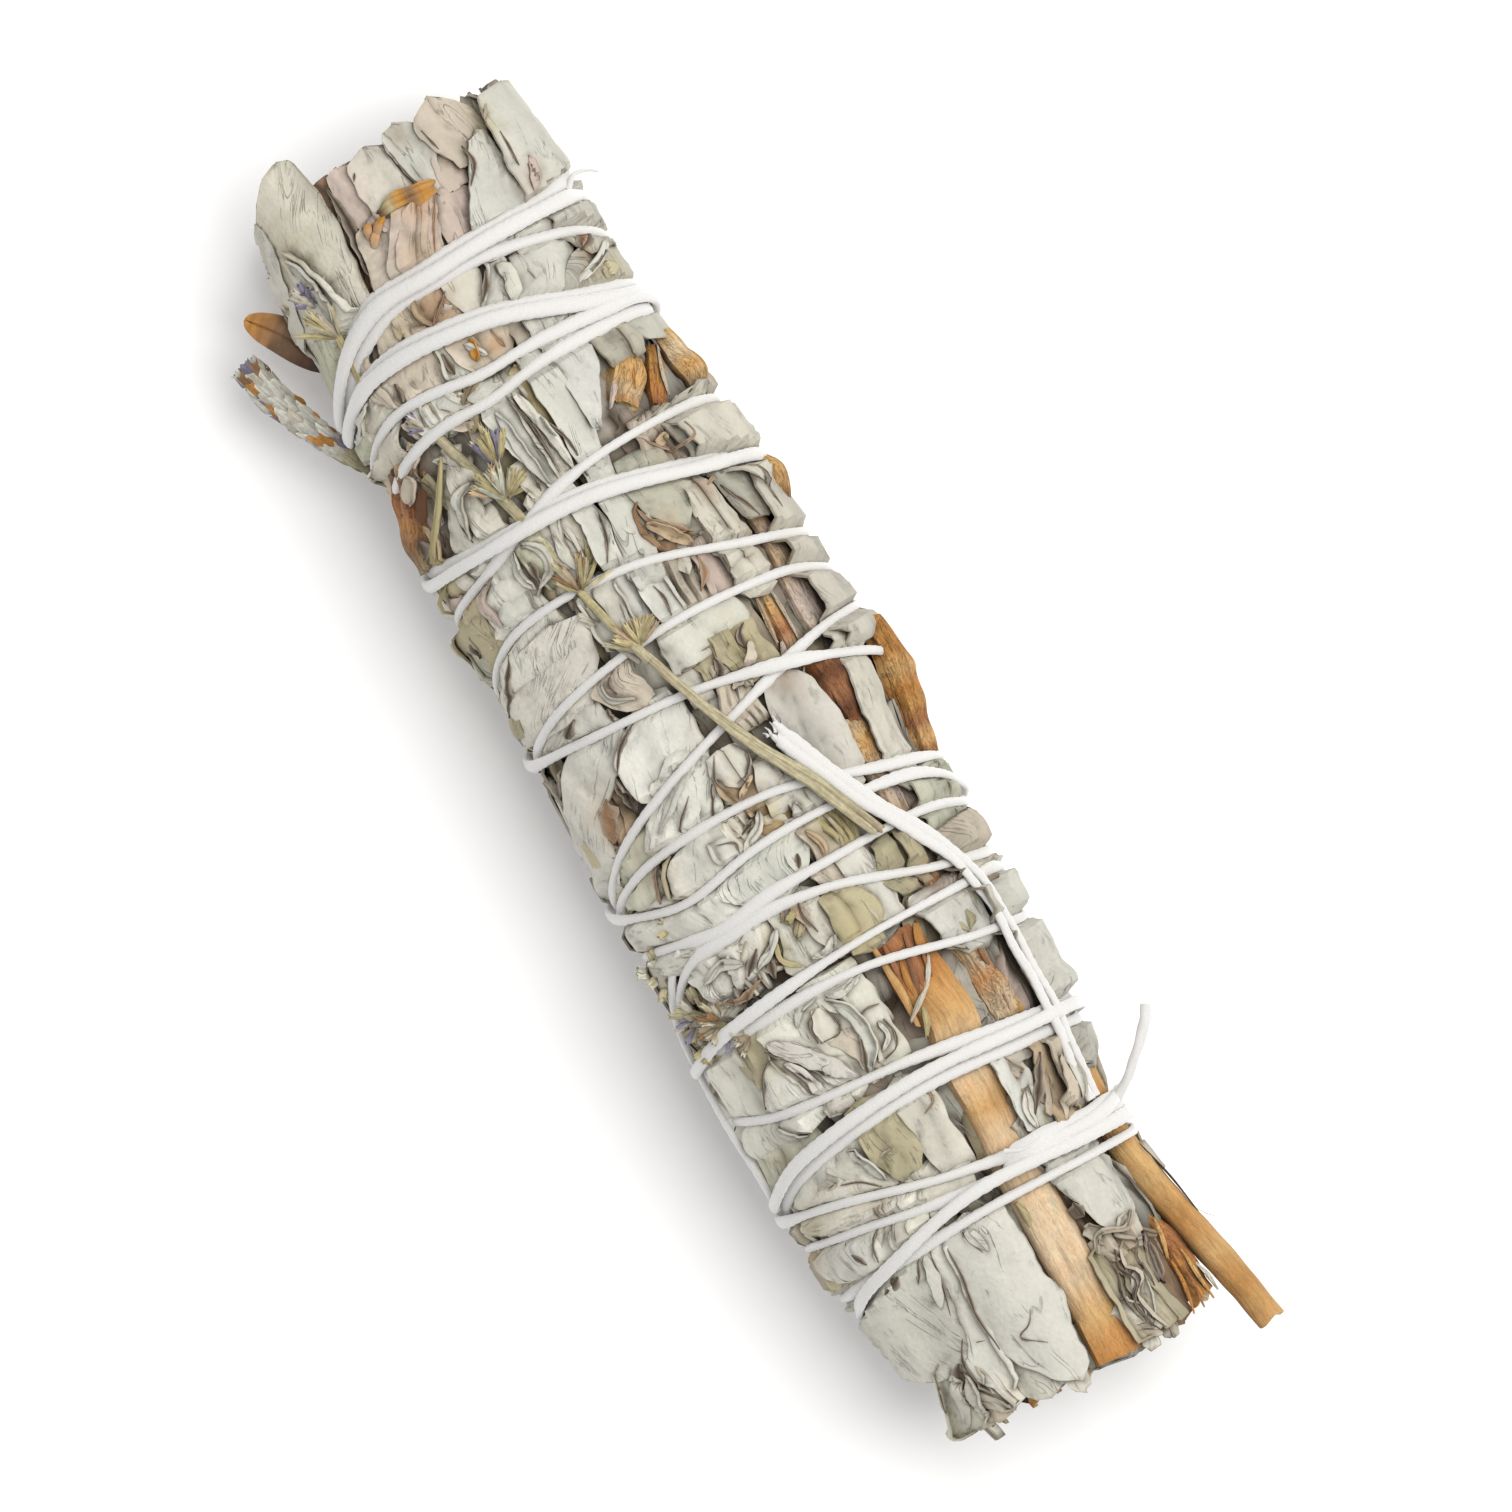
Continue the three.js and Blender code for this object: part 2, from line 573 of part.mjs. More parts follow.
function innerStem([sprig, from, to, radius], grown) {
  const spans = 3;
  const along = Array.from({ length: spans + 1 }, (_, i) => i / spans);
  const points = along.map((t) => inSprig(sprig, lerp(from - grown, to + grown, t), 0.5, INNER_STEM_DEPTH));
  return rod(points, along.map((t) => lerp(0.6, 1, t) * radius + grown), 6);
}

const part = new THREE.Group();
const taken = []; // grown copies of what lies among the leaves

function add(name, solid, colours) {
  const { vertProperties, triVerts, numProp } = mainBody(solid).getMesh();
  const geometry = new THREE.BufferGeometry();
  const positions = Array.from({ length: vertProperties.length / numProp }, (_, i) =>
    [...vertProperties.subarray(i * numProp, i * numProp + 3)]).flat();
  geometry.setAttribute("position", new THREE.Float32BufferAttribute(positions, 3));
  geometry.setIndex([...triVerts]);
  geometry.computeVertexNormals();
  const mesh = new THREE.Mesh(geometry, new THREE.MeshStandardMaterial(colours));
  mesh.name = name;
  mesh.position.copy(ORIGIN).negate();
  part.add(mesh);
}

add("cotton_string", cottonString(), COLOURS.string);
for (const [name, stem] of Object.entries(SURFACE_STEMS)) {
  add(name, surfaceStem(stem, 0), COLOURS.stem);
  taken.push(surfaceStem(stem, CLEARANCE));
}
for (const stem of INNER_STEMS) {
  add(`sage_stem_${stem[0] + 1}`, innerStem(stem, 0), COLOURS.stem);
  taken.push(innerStem(stem, CLEARANCE));
}
for (const [name, sprig] of Object.entries(LAVENDER)) {
  add(name, lavenderSprig(sprig, 0), COLOURS.lavender);
  taken.push(lavenderSprig(sprig, CLEARANCE));
}
add("lavender_spike", lavenderSpike(), COLOURS.lavender);
add("brown_leaf_rolled", rolledLeaf(0), COLOURS.dryLeaf);
add("brown_leaf_side", sideLeaf(0), COLOURS.dryLeaf);
taken.push(rolledLeaf(CLEARANCE), spikeRoom(), sideLeaf(CLEARANCE));

for (let index = 0; index < SPRIGS; index++) taken.push(borderRoom(index));
const room = joined(taken);
for (let index = 0; index < SPRIGS; index++) {
  const whole = joined([sprigCore(index), ...sprigLeaves(index).map((leaf) => blade(index, leaf))]);
  add(`sage_sprig_${index + 1}`, whole.subtract(room), COLOURS.leaf);
}

export default part;
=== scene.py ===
# %% [markdown]
# # A sage smudge stick
# White sage sprigs and a little lavender were pressed into a roll while fresh, wound with white cotton
# string and hung up to dry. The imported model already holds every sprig, stem and turn of string as a plain
# solid. This lesson loads it as a fixed frame and makes the real surfaces round it, each in the place of
# its solid.

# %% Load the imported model
import math
import bpy
import bmesh
import numpy as np
from mathutils.kdtree import KDTree
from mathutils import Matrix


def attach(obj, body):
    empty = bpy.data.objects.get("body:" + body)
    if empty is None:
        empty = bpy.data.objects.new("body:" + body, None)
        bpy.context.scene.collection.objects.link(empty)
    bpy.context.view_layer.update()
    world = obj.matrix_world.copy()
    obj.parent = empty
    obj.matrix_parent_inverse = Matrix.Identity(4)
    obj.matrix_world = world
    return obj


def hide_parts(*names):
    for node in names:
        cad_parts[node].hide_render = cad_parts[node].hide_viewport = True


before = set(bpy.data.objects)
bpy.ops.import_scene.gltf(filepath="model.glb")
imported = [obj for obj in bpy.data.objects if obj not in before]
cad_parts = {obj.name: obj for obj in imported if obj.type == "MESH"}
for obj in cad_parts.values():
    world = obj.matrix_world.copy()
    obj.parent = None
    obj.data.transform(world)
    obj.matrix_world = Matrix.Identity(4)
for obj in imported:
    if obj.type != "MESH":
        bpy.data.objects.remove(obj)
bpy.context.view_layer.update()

MM = 0.001

# %% [markdown]
# ## Camera, floor and light
# The stick is seen from straight above, turned so that it runs from the upper left to the lower right. A
# long lens far away keeps its sides from spreading. A big soft light from the side of the stick that faces
# up and to the right leaves a short soft shadow on the other side, and a bright sky fills the rest.


# %% Helpers for colours and for adding a node
def rgba(code):
    """The linear colour of an sRGB hex code."""
    parts = [int(code[i:i + 2], 16) / 255 for i in (1, 3, 5)]
    return [p / 12.92 if p <= 0.04045 else ((p + 0.055) / 1.055) ** 2.4 for p in parts] + [1.0]


def add_node(tree, kind, values=None, **settings):
    """Adds a node. values fill its inputs: another node's output is linked, anything else is set."""
    added = tree.nodes.new(kind)
    for name, setting in settings.items():
        setattr(added, name, setting)
    for name, value in (values or {}).items():
        if isinstance(value, bpy.types.NodeSocket):
            tree.links.new(value, added.inputs[name])
        else:
            added.inputs[name].default_value = value
    return added


# %% Camera
VIEW_CENTRE = (-0.18, 2.14)  # mm
VIEW_LEVEL = 18.0  # height of the plane in which the frame was measured
VIEW_DISTANCE = 1260.0
VIEW_TURN = 58.7  # degrees
LENS = 300  # mm
SENSOR_WIDTH = 36  # mm
SEEN_FROM, SEEN_TO = 0.02, 20  # m
camera_data = bpy.data.cameras.new("camera")
camera_data.lens = LENS
camera_data.sensor_width = SENSOR_WIDTH
camera_data.clip_start = SEEN_FROM
camera_data.clip_end = SEEN_TO
camera = bpy.data.objects.new("camera", camera_data)
camera.location = (VIEW_CENTRE[0] * MM, VIEW_CENTRE[1] * MM, (VIEW_LEVEL + VIEW_DISTANCE) * MM)
camera.rotation_euler = (0, 0, math.radians(VIEW_TURN))
scene = bpy.context.scene
scene.collection.objects.link(camera)
scene.camera = camera
scene.view_settings.view_transform = "Standard"
print("camera", VIEW_DISTANCE, "mm away")

# %% Light
KEY_FROM = (0.0, 0.4, 0.9)  # the way to the light, from the stick
KEY_DISTANCE = 0.9
KEY_SIZE = 0.7
KEY_POWER = 7.5
SKY_STRENGTH = 0.66
key_data = bpy.data.lights.new("key", "AREA")
key_data.size = KEY_SIZE
key_data.energy = KEY_POWER
key_data.color = rgba("#fffefb")[:3]
key = bpy.data.objects.new("key", key_data)
towards = np.array(KEY_FROM) / np.linalg.norm(KEY_FROM)
key.location = towards * KEY_DISTANCE
key.rotation_mode = "QUATERNION"
key.rotation_quaternion = key.location.to_track_quat("Z", "Y")
scene.collection.objects.link(key)

world = bpy.data.worlds.new("studio")
world.use_nodes = True
sky = world.node_tree.nodes["Background"]
sky.inputs["Color"].default_value = rgba("#fefeff")
sky.inputs["Strength"].default_value = SKY_STRENGTH
scene.world = world
print("light", KEY_POWER, "W and sky", SKY_STRENGTH)


# %% Floor
def new_material(name):
    """A material, its nodes and its main shader."""
    made = bpy.data.materials.new(name)
    made.use_nodes = True
    return made, made.node_tree, made.node_tree.nodes["Principled BSDF"]


FLOOR_SIZE = 6.0
bpy.ops.object.select_all(action="DESELECT")
bpy.ops.mesh.primitive_plane_add(size=FLOOR_SIZE)
floor = bpy.context.object
floor.name = "floor"
# White card: matte, without a pattern that the camera could see.
card, _, card_shader = new_material("white_card")
card_shader.inputs["Base Color"].default_value = rgba("#ffffff")
card_shader.inputs["Roughness"].default_value = 0.9
floor.data.materials.append(card)
print("floor", FLOOR_SIZE, "m")

# %% [markdown]
# ## The bundle's own shape
# Everything lies on one rounded roll, so every place is given as x along it, an angle round it from the +Y
# side over the top, and a depth under the string's outer side. These are the same numbers as the solids
# were made from.

# %% The roll in numbers
ORIGIN = np.array((0.65, -0.2, 0.0))  # the middle of the whole part, in the frame of the numbers below
OUTLINE = np.array((
    (-75, 0.9, 14.6), (-58, 0.9, 15.8), (-45, 0.1, 16.4), (-30, 0.4, 17.4), (-15, 0.6, 17.9), (0, 0.6, 18.8),
    (10, 0.0, 18.4), (22, -0.9, 18.4), (35, -1.4, 18.2), (48, -2.2, 17.6), (60, -1.0, 16.6), (76, 0.6, 15.8),
))  # x, y of its middle, half its width
HEIGHT_SHARE = 0.9
REST_SINK = 0.8
SIDE_LIMIT = 0.97  # past this share of the half width, a place seen from above goes on down the side


def section(x):
    """The y of the roll's middle and half its width, at x."""
    x = np.clip(np.asarray(x, float), OUTLINE[0, 0], OUTLINE[-1, 0])
    row = np.clip(np.searchsorted(OUTLINE[:, 0], x, side="right") - 1, 0, len(OUTLINE) - 2)
    start, end = OUTLINE[row], OUTLINE[row + 1]
    t = (x - start[..., 0]) / (end[..., 0] - start[..., 0])
    t = t * t * (3 - 2 * t)
    middle = start[..., 1] + (end[..., 1] - start[..., 1]) * t
    return middle, start[..., 2] + (end[..., 2] - start[..., 2]) * t


def on_bundle(x, degrees, depth):
    """Points in mm at x, an angle and a depth. What would go below the ground is pressed flat on it."""
    x, degrees, depth = np.broadcast_arrays(*(np.asarray(v, float) for v in (x, degrees, depth)))
    middle, half = section(x)
    high = HEIGHT_SHARE * half
    angle = np.radians(degrees)
    y = middle + (half - depth) * np.cos(angle)
    z = high - REST_SINK + (high - depth) * np.sin(angle)
    return np.stack((x, y, np.maximum(z, np.maximum(depth, 0))), axis=-1) - ORIGIN


def angle_at(x, y, depth):
    """The angle of a place that is seen from above at y. Past the roll's edge it goes on down the side."""
    middle, half = section(x)
    reach = half - depth
    share = (np.asarray(y, float) - middle) / reach
    inside = np.clip(share, -SIDE_LIMIT, SIDE_LIMIT)
    past = (share - inside) / math.sqrt(1 - SIDE_LIMIT ** 2)
    return np.degrees(np.arccos(inside) - past)


def smooth_through(knots, values, at):
    """A smooth line through values at rising knots."""
    knots, values = np.asarray(knots, float), np.asarray(values, float)
    if len(knots) > 2:
        slopes = np.gradient(values, knots)
    else:
        slopes = np.full(len(knots), np.diff(values)[0] / np.diff(knots)[0])
    at = np.clip(at, knots[0], knots[-1])
    i = np.clip(np.searchsorted(knots, at, side="right") - 1, 0, len(knots) - 2)
    width = knots[i + 1] - knots[i]
    t = (at - knots[i]) / width
    return ((2 * t ** 3 - 3 * t ** 2 + 1) * values[i] + (t ** 3 - 2 * t ** 2 + t) * width * slopes[i]
            + (3 * t ** 2 - 2 * t ** 3) * values[i + 1] + (t ** 3 - t ** 2) * width * slopes[i + 1])


def curve(rows, at):
    """Each column of numbers as a smooth line through its rows. at counts rows."""
    rows = np.asarray(rows, float)
    number = np.arange(len(rows))
    return np.stack([smooth_through(number, rows[:, k], at) for k in range(rows.shape[1])], axis=-1)


print("roll:", section(0.0))

# %% [markdown]
# ## The string's way
# One cotton string runs from the knot to the leaf tips in 17 passes and back in 10 more. Its way is needed
# first, because each leaf under it is pressed in. The list says where it crosses the upper face on each
# pass.

# %% The string's way in numbers
STRING_PASSES = (
    (51.5, 50.9, 50.7, 51.6, 52.0), (45.4, 46.0, 48.3, 49.4, 49.3), (41.2, 38.1, 37.1, 38.6, 39.5),
    (30.5, 32.4, 34.0, 36.6, 37.4), (24.6, 23.4, 23.7, 27.0, 28.0), (20.5, 14.0, 14.9, 19.2, 20.6),
    (12.0, 12.4, 12.9, 13.5, 15.2), (7.2, 4.2, 4.2, 8.0, 10.0), (5.8, 0.6, -3.7, -6.9, -7.3),
    (-10.5, -13.6, -15.1, -14.0, -11.8), (-18.5, -22.4, -22.1, -18.0, -16.2),
    (-26.5, -28.8, -32.7, -33.1, -32.2), (-32.2, -31.3, -30.9, -27.4, -25.0),
    (-39.0, -43.0, -44.0, -44.0, -43.4), (-48.6, -51.9, -51.3, -47.6, -46.2),
    (-48.8, -54.4, -56.3, -54.4, -51.8), (-50.0, -56.2, -57.9, -57.9, -58.9),
    (-49.4, -55.4, -57.1, -57.0, -56.5), (-47.8, -51.2, -50.5, -46.5, -45.1),
    (-43.5, -47.0, -46.3, -45.4, -44.1), (-31.2, -30.7, -30.1, -26.6, -24.4),
    (-10.6, -9.6, -8.1, -4.3, -0.8), (6.6, 9.0, 8.2, 9.6, 13.2), (24.5, 22.4, 21.4, 21.9, 22.8),
    (40.0, 37.0, 35.9, 37.4, 38.4), (41.6, 42.8, 46.2, 48.6, 48.0), (53.8, 51.2, 48.6, 49.8, 50.4),
)  # x at the -Y edge, an eighth of a turn on, at the top, another eighth on, and at the +Y edge
# Where strands run off that line: x, y, shift
PULLS = ((-57, -6.5, -0.7), (12.7, -10, 0.9), (-44.2, -2, 0.6))
PULL_REACH = 4.0
PASSES_OUT = 17
LEAD_EIGHTHS = 5
KNOT_X = 49.0
MEAN_HALF = 17.3  # half the roll's mean width
MEAN_ROUND = 0.95  # its way round, as a share of a circle's, since it is a little flat
PULLED_FROM = -0.1  # sine of the angle, above which a strand counts as one of the upper face
STRING_RADIUS = 0.475
STRING_STEP_MM = 0.42
STRING_DEPTH = 0.55  # of its centreline on the way to the tips
STRING_DEPTH_BACK = 0.42
CROSSING_LIFT = 0.98  # how far it climbs where it crosses itself
CROSSING_REACH = 1.35
CROSSING_TOUCH = 0.4  # closer than this the climb is full
CROSSING_EASE = 9  # samples over which it climbs
CROSSING_HELD = 3  # samples that the full climb is held to each side

knots = []
for number, one_pass in enumerate(STRING_PASSES):
    knots += list(one_pass)
    if number + 1 < len(STRING_PASSES):
        onward = STRING_PASSES[number + 1][0]
        knots += [one_pass[-1] + (onward - one_pass[-1]) * share for share in (0.25, 0.5, 0.75)]
lead = [KNOT_X + (knots[0] - KNOT_X) * i / LEAD_EIGHTHS for i in range(LEAD_EIGHTHS)]
knots = np.array(lead + knots)
eighth_mm = 2 * math.pi * MEAN_HALF * MEAN_ROUND / 8
string_eighths = np.linspace(0, len(knots) - 1, int((len(knots) - 1) * eighth_mm / STRING_STEP_MM))
string_x = smooth_through(np.arange(len(knots)), knots, string_eighths)
string_degrees = 180 - (string_eighths - LEAD_EIGHTHS) * 45
string_y = on_bundle(string_x, string_degrees, STRING_DEPTH)[:, 1] + ORIGIN[1]
for pull_x, pull_y, shift in PULLS:
    away = np.hypot(string_x - pull_x, string_y - pull_y) / PULL_REACH
    string_x = string_x + shift * np.exp(-away ** 2) * (np.sin(np.radians(string_degrees)) > PULLED_FROM)
back = string_eighths > LEAD_EIGHTHS + 8 * PASSES_OUT - 2
string_depth = np.where(back, STRING_DEPTH_BACK, STRING_DEPTH)
flat_way = on_bundle(string_x, string_degrees, string_depth)
outward_tree = KDTree(int((~back).sum()))
for index in np.flatnonzero(~back):
    outward_tree.insert(flat_way[index], int(index))
outward_tree.balance()
lift = np.zeros(len(string_x))
for index in np.flatnonzero(back):
    gap = outward_tree.find(flat_way[index])[2]
    lift[index] = CROSSING_LIFT * max(0.0, 1 - (max(gap - CROSSING_TOUCH, 0) / CROSSING_REACH) ** 2)
ease = np.hanning(2 * CROSSING_EASE + 1)
widest = np.array([lift[max(0, i - CROSSING_HELD):i + CROSSING_HELD + 1].max() for i in range(len(lift))])
lift = np.convolve(widest, ease / ease.sum(), mode="same")
string_depth = string_depth - lift
string_way = on_bundle(string_x, string_degrees, string_depth)
string_length = np.linalg.norm(np.diff(string_way, axis=0), axis=1).sum()
print("string:", len(string_x), "samples,", round(string_length / 1000, 2), "m")

# %% [markdown]
# The pull of the string is kept as a map of the unrolled surface: for each place, how far the nearest
# strand is. A leaf looks its own points up in it.

# %% How far the nearest strand is
TAG = ((-1.0, 4.7), (5, 7.0), (10, 9.1), (15, 11.8), (19, 13.6), (24, 14.6), (31, 14.4), (38, 14.1),
       (44, 13.2), (47, 13.0))
TAG_DEPTH = -0.35
TAG_SPREAD = 0.44  # its two strands lie this far to each side
MAP_STEP = 0.25  # mm along, and degrees round
MAP_START = -80.0
MAP_REACH = 3.0
MAP_COLUMNS = 640
MAP_ROWS = 1440
MAP_ROUND = 0.97
TAG_SAMPLES = 140
TAG_SLACK = -0.3  # mm, since its two strands lie apart
gap_map = np.full((MAP_COLUMNS, MAP_ROWS), MAP_REACH)


def mark_strand(x, degrees, slack=0.0):
    """Writes a strand's distance into the map, round each of its samples."""
    reach_x = int(MAP_REACH / MAP_STEP)
    side = np.arange(-reach_x, reach_x + 1)
    for one_x, one_angle in zip(x, degrees):
        half = float(section(one_x)[1])
        column = int(round((one_x - MAP_START) / MAP_STEP))
        row = int(round((one_angle % 360) / MAP_STEP))
        mm_per_row = math.radians(MAP_STEP) * half * MAP_ROUND
        reach_row = int(MAP_REACH / mm_per_row)
        around = np.arange(-reach_row, reach_row + 1)
        columns = np.clip(column + side, 0, MAP_COLUMNS - 1)
        rows = (row + around) % MAP_ROWS
        distance = np.hypot(side[:, None] * MAP_STEP, around[None, :] * mm_per_row) + slack
        here = np.ix_(columns, rows)
        gap_map[here] = np.minimum(gap_map[here], distance)


def string_gap(x, degrees):
    """The distance in mm from each place to the nearest strand, at most MAP_REACH."""
    column = np.clip((np.asarray(x) - MAP_START) / MAP_STEP, 0, MAP_COLUMNS - 2)
    row = (np.asarray(degrees) % 360) / MAP_STEP
    i, j = column.astype(int), row.astype(int) % MAP_ROWS
    s, t = column - i, row - row.astype(int)
    k = (j + 1) % MAP_ROWS
    return ((1 - s) * ((1 - t) * gap_map[i, j] + t * gap_map[i, k])
            + s * ((1 - t) * gap_map[i + 1, j] + t * gap_map[i + 1, k]))


mark_strand(string_x[::2], string_degrees[::2])
tag_x = np.linspace(TAG[0][0], TAG[-1][0], TAG_SAMPLES)
tag_y = smooth_through([p[0] for p in TAG], [p[1] for p in TAG], tag_x)
mark_strand(tag_x, angle_at(tag_x, tag_y, 0.5), slack=TAG_SLACK)
print("covered by strands:", round(float((gap_map < STRING_RADIUS).mean()), 3))

# %% [markdown]
# ## Leaf shapes
# A dried white sage leaf is a thick velvety blade. Pressed in a roll, most are seen as strips: some arched
# with their edges tucked in, some with one edge curled up, folded over or rolled to a tube. Each such shape
# is modelled once, from a grid whose columns are moved in edit mode, and then copied many times.


# %% Edit-mode helpers
def edit(piece):
    """Opens a mesh in edit mode with nothing selected."""
    bpy.ops.object.select_all(action="DESELECT")
    bpy.context.view_layer.objects.active = piece
    piece.select_set(True)
    bpy.ops.object.mode_set(mode="EDIT")
    bpy.ops.mesh.select_mode(type="VERT")
    bpy.ops.mesh.select_all(action="DESELECT")


def select_points(piece, wanted):
    """Selects the vertices of which the place passes a test."""
    mesh = bmesh.from_edit_mesh(piece.data)
    for vertex in mesh.verts:
        vertex.select_set(bool(wanted(vertex.co)))
    mesh.select_flush_mode()
    bmesh.update_edit_mesh(piece.data)


def leave_edit():
    """Goes back to object mode."""
    bpy.ops.object.mode_set(mode="OBJECT")


def read_mesh(piece):
    """The points in mm and the faces of a mesh."""
    points = np.empty(len(piece.data.vertices) * 3)
    piece.data.vertices.foreach_get("co", points)
    faces = [tuple(face.vertices) for face in piece.data.polygons]
    return points.reshape(-1, 3) / MM, faces


def take_away(piece):
    """Removes a shape that was only modelled to be copied."""
    mesh = piece.data
    bpy.data.objects.remove(piece)
    bpy.data.meshes.remove(mesh)


# %% Leaf sections
# Each line gives the leaf's section from one edge to the other: the share of half its width, and the height
# in mm.
LEAF_SECTIONS = {
    "arched": [(v, -0.05 * v ** 2 - 0.05 * math.exp(-(v / 0.09) ** 2))
               for v in (-1, -0.94, -0.8, -0.6, -0.38, -0.15, 0, 0.15, 0.38, 0.6, 0.8, 0.94, 1)],
    "curled": [(-1, -0.12), (-0.93, -0.08), (-0.76, -0.04), (-0.5, 0.0), (-0.2, 0.0), (0.15, 0.0),
               (0.5, 0.02), (0.74, 0.07), (0.9, 0.2), (1.0, 0.4), (1.0, 0.58), (0.93, 0.68), (0.82, 0.66)],
    "folded": [(-1, -0.12), (-0.92, -0.08), (-0.7, -0.04), (-0.3, 0.0), (0.1, 0.0), (0.5, -0.02),
               (0.88, -0.04), (1.0, 0.06), (0.99, 0.2), (0.84, 0.28), (0.6, 0.3), (0.36, 0.28),
               (0.15, 0.26)],
    "rolled": [(0.05, 0.42), (0.4, 0.52), (0.78, 0.34), (0.98, -0.1), (0.9, -0.7), (0.5, -1.15), (0, -1.3),
               (-0.5, -1.15), (-0.9, -0.7), (-1.0, -0.1), (-0.82, 0.4), (-0.45, 0.72), (-0.1, 0.7)],
    "pleated": [(-1, -0.4), (-0.92, -0.05), (-0.7, 0.04), (-0.55, -0.34), (-0.38, 0.02), (-0.16, 0.1),
                (0.0, -0.42), (0.14, 0.05), (0.36, 0.16), (0.52, -0.26), (0.66, 0.08), (0.9, 0.0),
                (1, -0.4)],
}
LEAF_LENGTH = 20.0
LEAF_HALF = 4.0
FINE_ROWS = ((7.0, 18), (12.0, 26), (99.0, 38))  # for leaves up to a length in mm, how many rows
COARSE_ROWS = 16
SMALL_ROWS = 8
PARKED = 10  # m aside, where points that were moved aren't found again
MOVED_LIFT = 1e-7  # m, by which a point shows that it was moved


def model_leaf(name, line, rows, ends):
    """Models one flat leaf. ends are the shares of its length over which its root and its tip are rounded."""
    columns = len(line)
    bpy.ops.object.select_all(action="DESELECT")
    bpy.ops.mesh.primitive_grid_add(x_subdivisions=rows, y_subdivisions=columns - 1, size=LEAF_LENGTH * MM)
    leaf = bpy.context.object
    leaf.name = name
    edit(leaf)
    spacing = LEAF_LENGTH * MM / (columns - 1)
    for number, (across, height) in enumerate(line):
        y = -LEAF_LENGTH * MM / 2 + number * spacing
        select_points(leaf, lambda place: abs(place.y - y) < spacing / 3 and abs(place.z) < MOVED_LIFT / 100)
        bpy.ops.transform.translate(value=(0, PARKED + across * LEAF_HALF * MM - y, MOVED_LIFT + height * MM))
    step = LEAF_LENGTH * MM / rows
    for number in range(rows + 1):
        along = number / rows
        root, tip = ends
        near = min(along / root if root else 1, (1 - along) / tip if tip else 1, 1)
        if near >= 1:
            continue
        width = math.sqrt(max(0.02, 1 - (1 - near) ** 2))
        x = -LEAF_LENGTH * MM / 2 + number * step
        select_points(leaf, lambda place: abs(place.x - x) < step / 3)
        bpy.ops.transform.resize(value=(1, width, 1), center_override=(x, PARKED, 0))
    leave_edit()
    points, faces = read_mesh(leaf)
    take_away(leaf)
    return {
        "along": points[:, 0] / LEAF_LENGTH + 0.5,
        "across": (points[:, 1] - PARKED / MM) / LEAF_HALF,
        "height": points[:, 2],
        "faces": np.array(faces),
        "edge": np.bincount(np.array(faces).ravel()) < 4,
    }


# %% Model the leaves
BLUNT = (0.03, 0.05)
ROUND = (0.12, 0.3)
fine_leaves = {name: [(longest, model_leaf(name, line, rows, BLUNT)) for longest, rows in FINE_ROWS]
               for name, line in LEAF_SECTIONS.items()}
coarse_leaves = {name: model_leaf(name, line[::2], COARSE_ROWS, ROUND)
                 for name, line in LEAF_SECTIONS.items()}
small_leaves = {name: model_leaf(name, line[::2], SMALL_ROWS, ROUND) for name, line in LEAF_SECTIONS.items()}


def fine_leaf(name, length):
    """The shape with as many rows as a leaf of this length needs."""
    return next(leaf for longest, leaf in fine_leaves[name] if length <= longest)


print("leaf shapes:", {name: [len(leaf["faces"]) for _, leaf in leaves]
                       for name, leaves in fine_leaves.items()})
print("and their plain copies:", {name: len(leaf["faces"]) for name, leaf in coarse_leaves.items()})

# %% [markdown]
# ## Laying a leaf on the roll
# A leaf that shows in the photograph is given by rows: x, and the y of its two edges as seen from above.
# Others are given by angles. Each copy gets folds and a wavy edge of its own, follows the round of the
# roll, and is pressed in where a strand runs over it. No modelling tool bends a mesh round such a roll, so
# its points are moved in numbers.

# %% Colours of leaves
TONES = {
    "white": "#c9c8be", "light": "#c4c2b7", "pale": "#c0bcaf", "green": "#b8b7a5", "olive": "#aaa184",
    "grey": "#b4ad9e", "beige": "#bcb1a0", "pink": "#bcaca0", "drab": "#978a72", "tan": "#b59f82",
    "orange": "#b07c42", "clay": "#b5885c", "ochre": "#bc8638", "brown": "#84664a", "red": "#805a42",
    "dark": "#42352a", "straw": "#aa9e76", "stalk": "#b0a688", "cane": "#b0834a", "purple": "#7d7787",
    "wood": "#c19b66", "pale_wood": "#d2bb9a", "rust": "#966644", "bark": "#5f3d27",
}
TONES = {name: np.array(rgba(code)[:3]) for name, code in TONES.items()}
# Painted shade: leaves deep in the roll, where shade falls, are painted darker and browner, from the first
# depth below on and fully from the second.
DEEP_SHADE_TONE = np.array(rgba("#3a2e20")[:3])
DEEP_SHADE_FROM = 1.5  # mm of depth where a leaf starts to look darker and browner
DEEP_SHADE_FULL = 3.3
SHADE_VARIETY = 0.045
# Painted shade: the leaves on the +Y side, which face the light, are painted a little darker.
PAINTED_SHADE_BY = 0.16  # the leaves on the +Y side are a little darker
# Rims are painted browner and darker: the dried margin of a leaf, and painted shade along its edge.
DRY_RIM_AND_SHADE_TONE = np.array(rgba("#6a573d")[:3])  # the dried margin of a leaf

# %% Folds, edges and pressing
PRESS_WIDTH = 0.75
PRESS_DEPTH = 0.4
PRESS_FLATTENS = 0.7  # share of a fold that is gone under a strand
STRING_FLOOR = 0.98  # no leaf rises above this depth right under a strand
FREE_RISE = 2.8  # mm that it may rise beside one
RISE_FROM, RISE_OVER = 0.5, 0.9  # mm from a strand
UPPER_FROM, UPPER_OVER = 14, 4  # mm of height, from which a place counts as one of the upper face


def zigzag(value):
    """A wave with straight sides, from -1 to 1, which gives flat facets with sharp bends between them."""
    return 2 * np.abs((value % 2) - 1) - 1


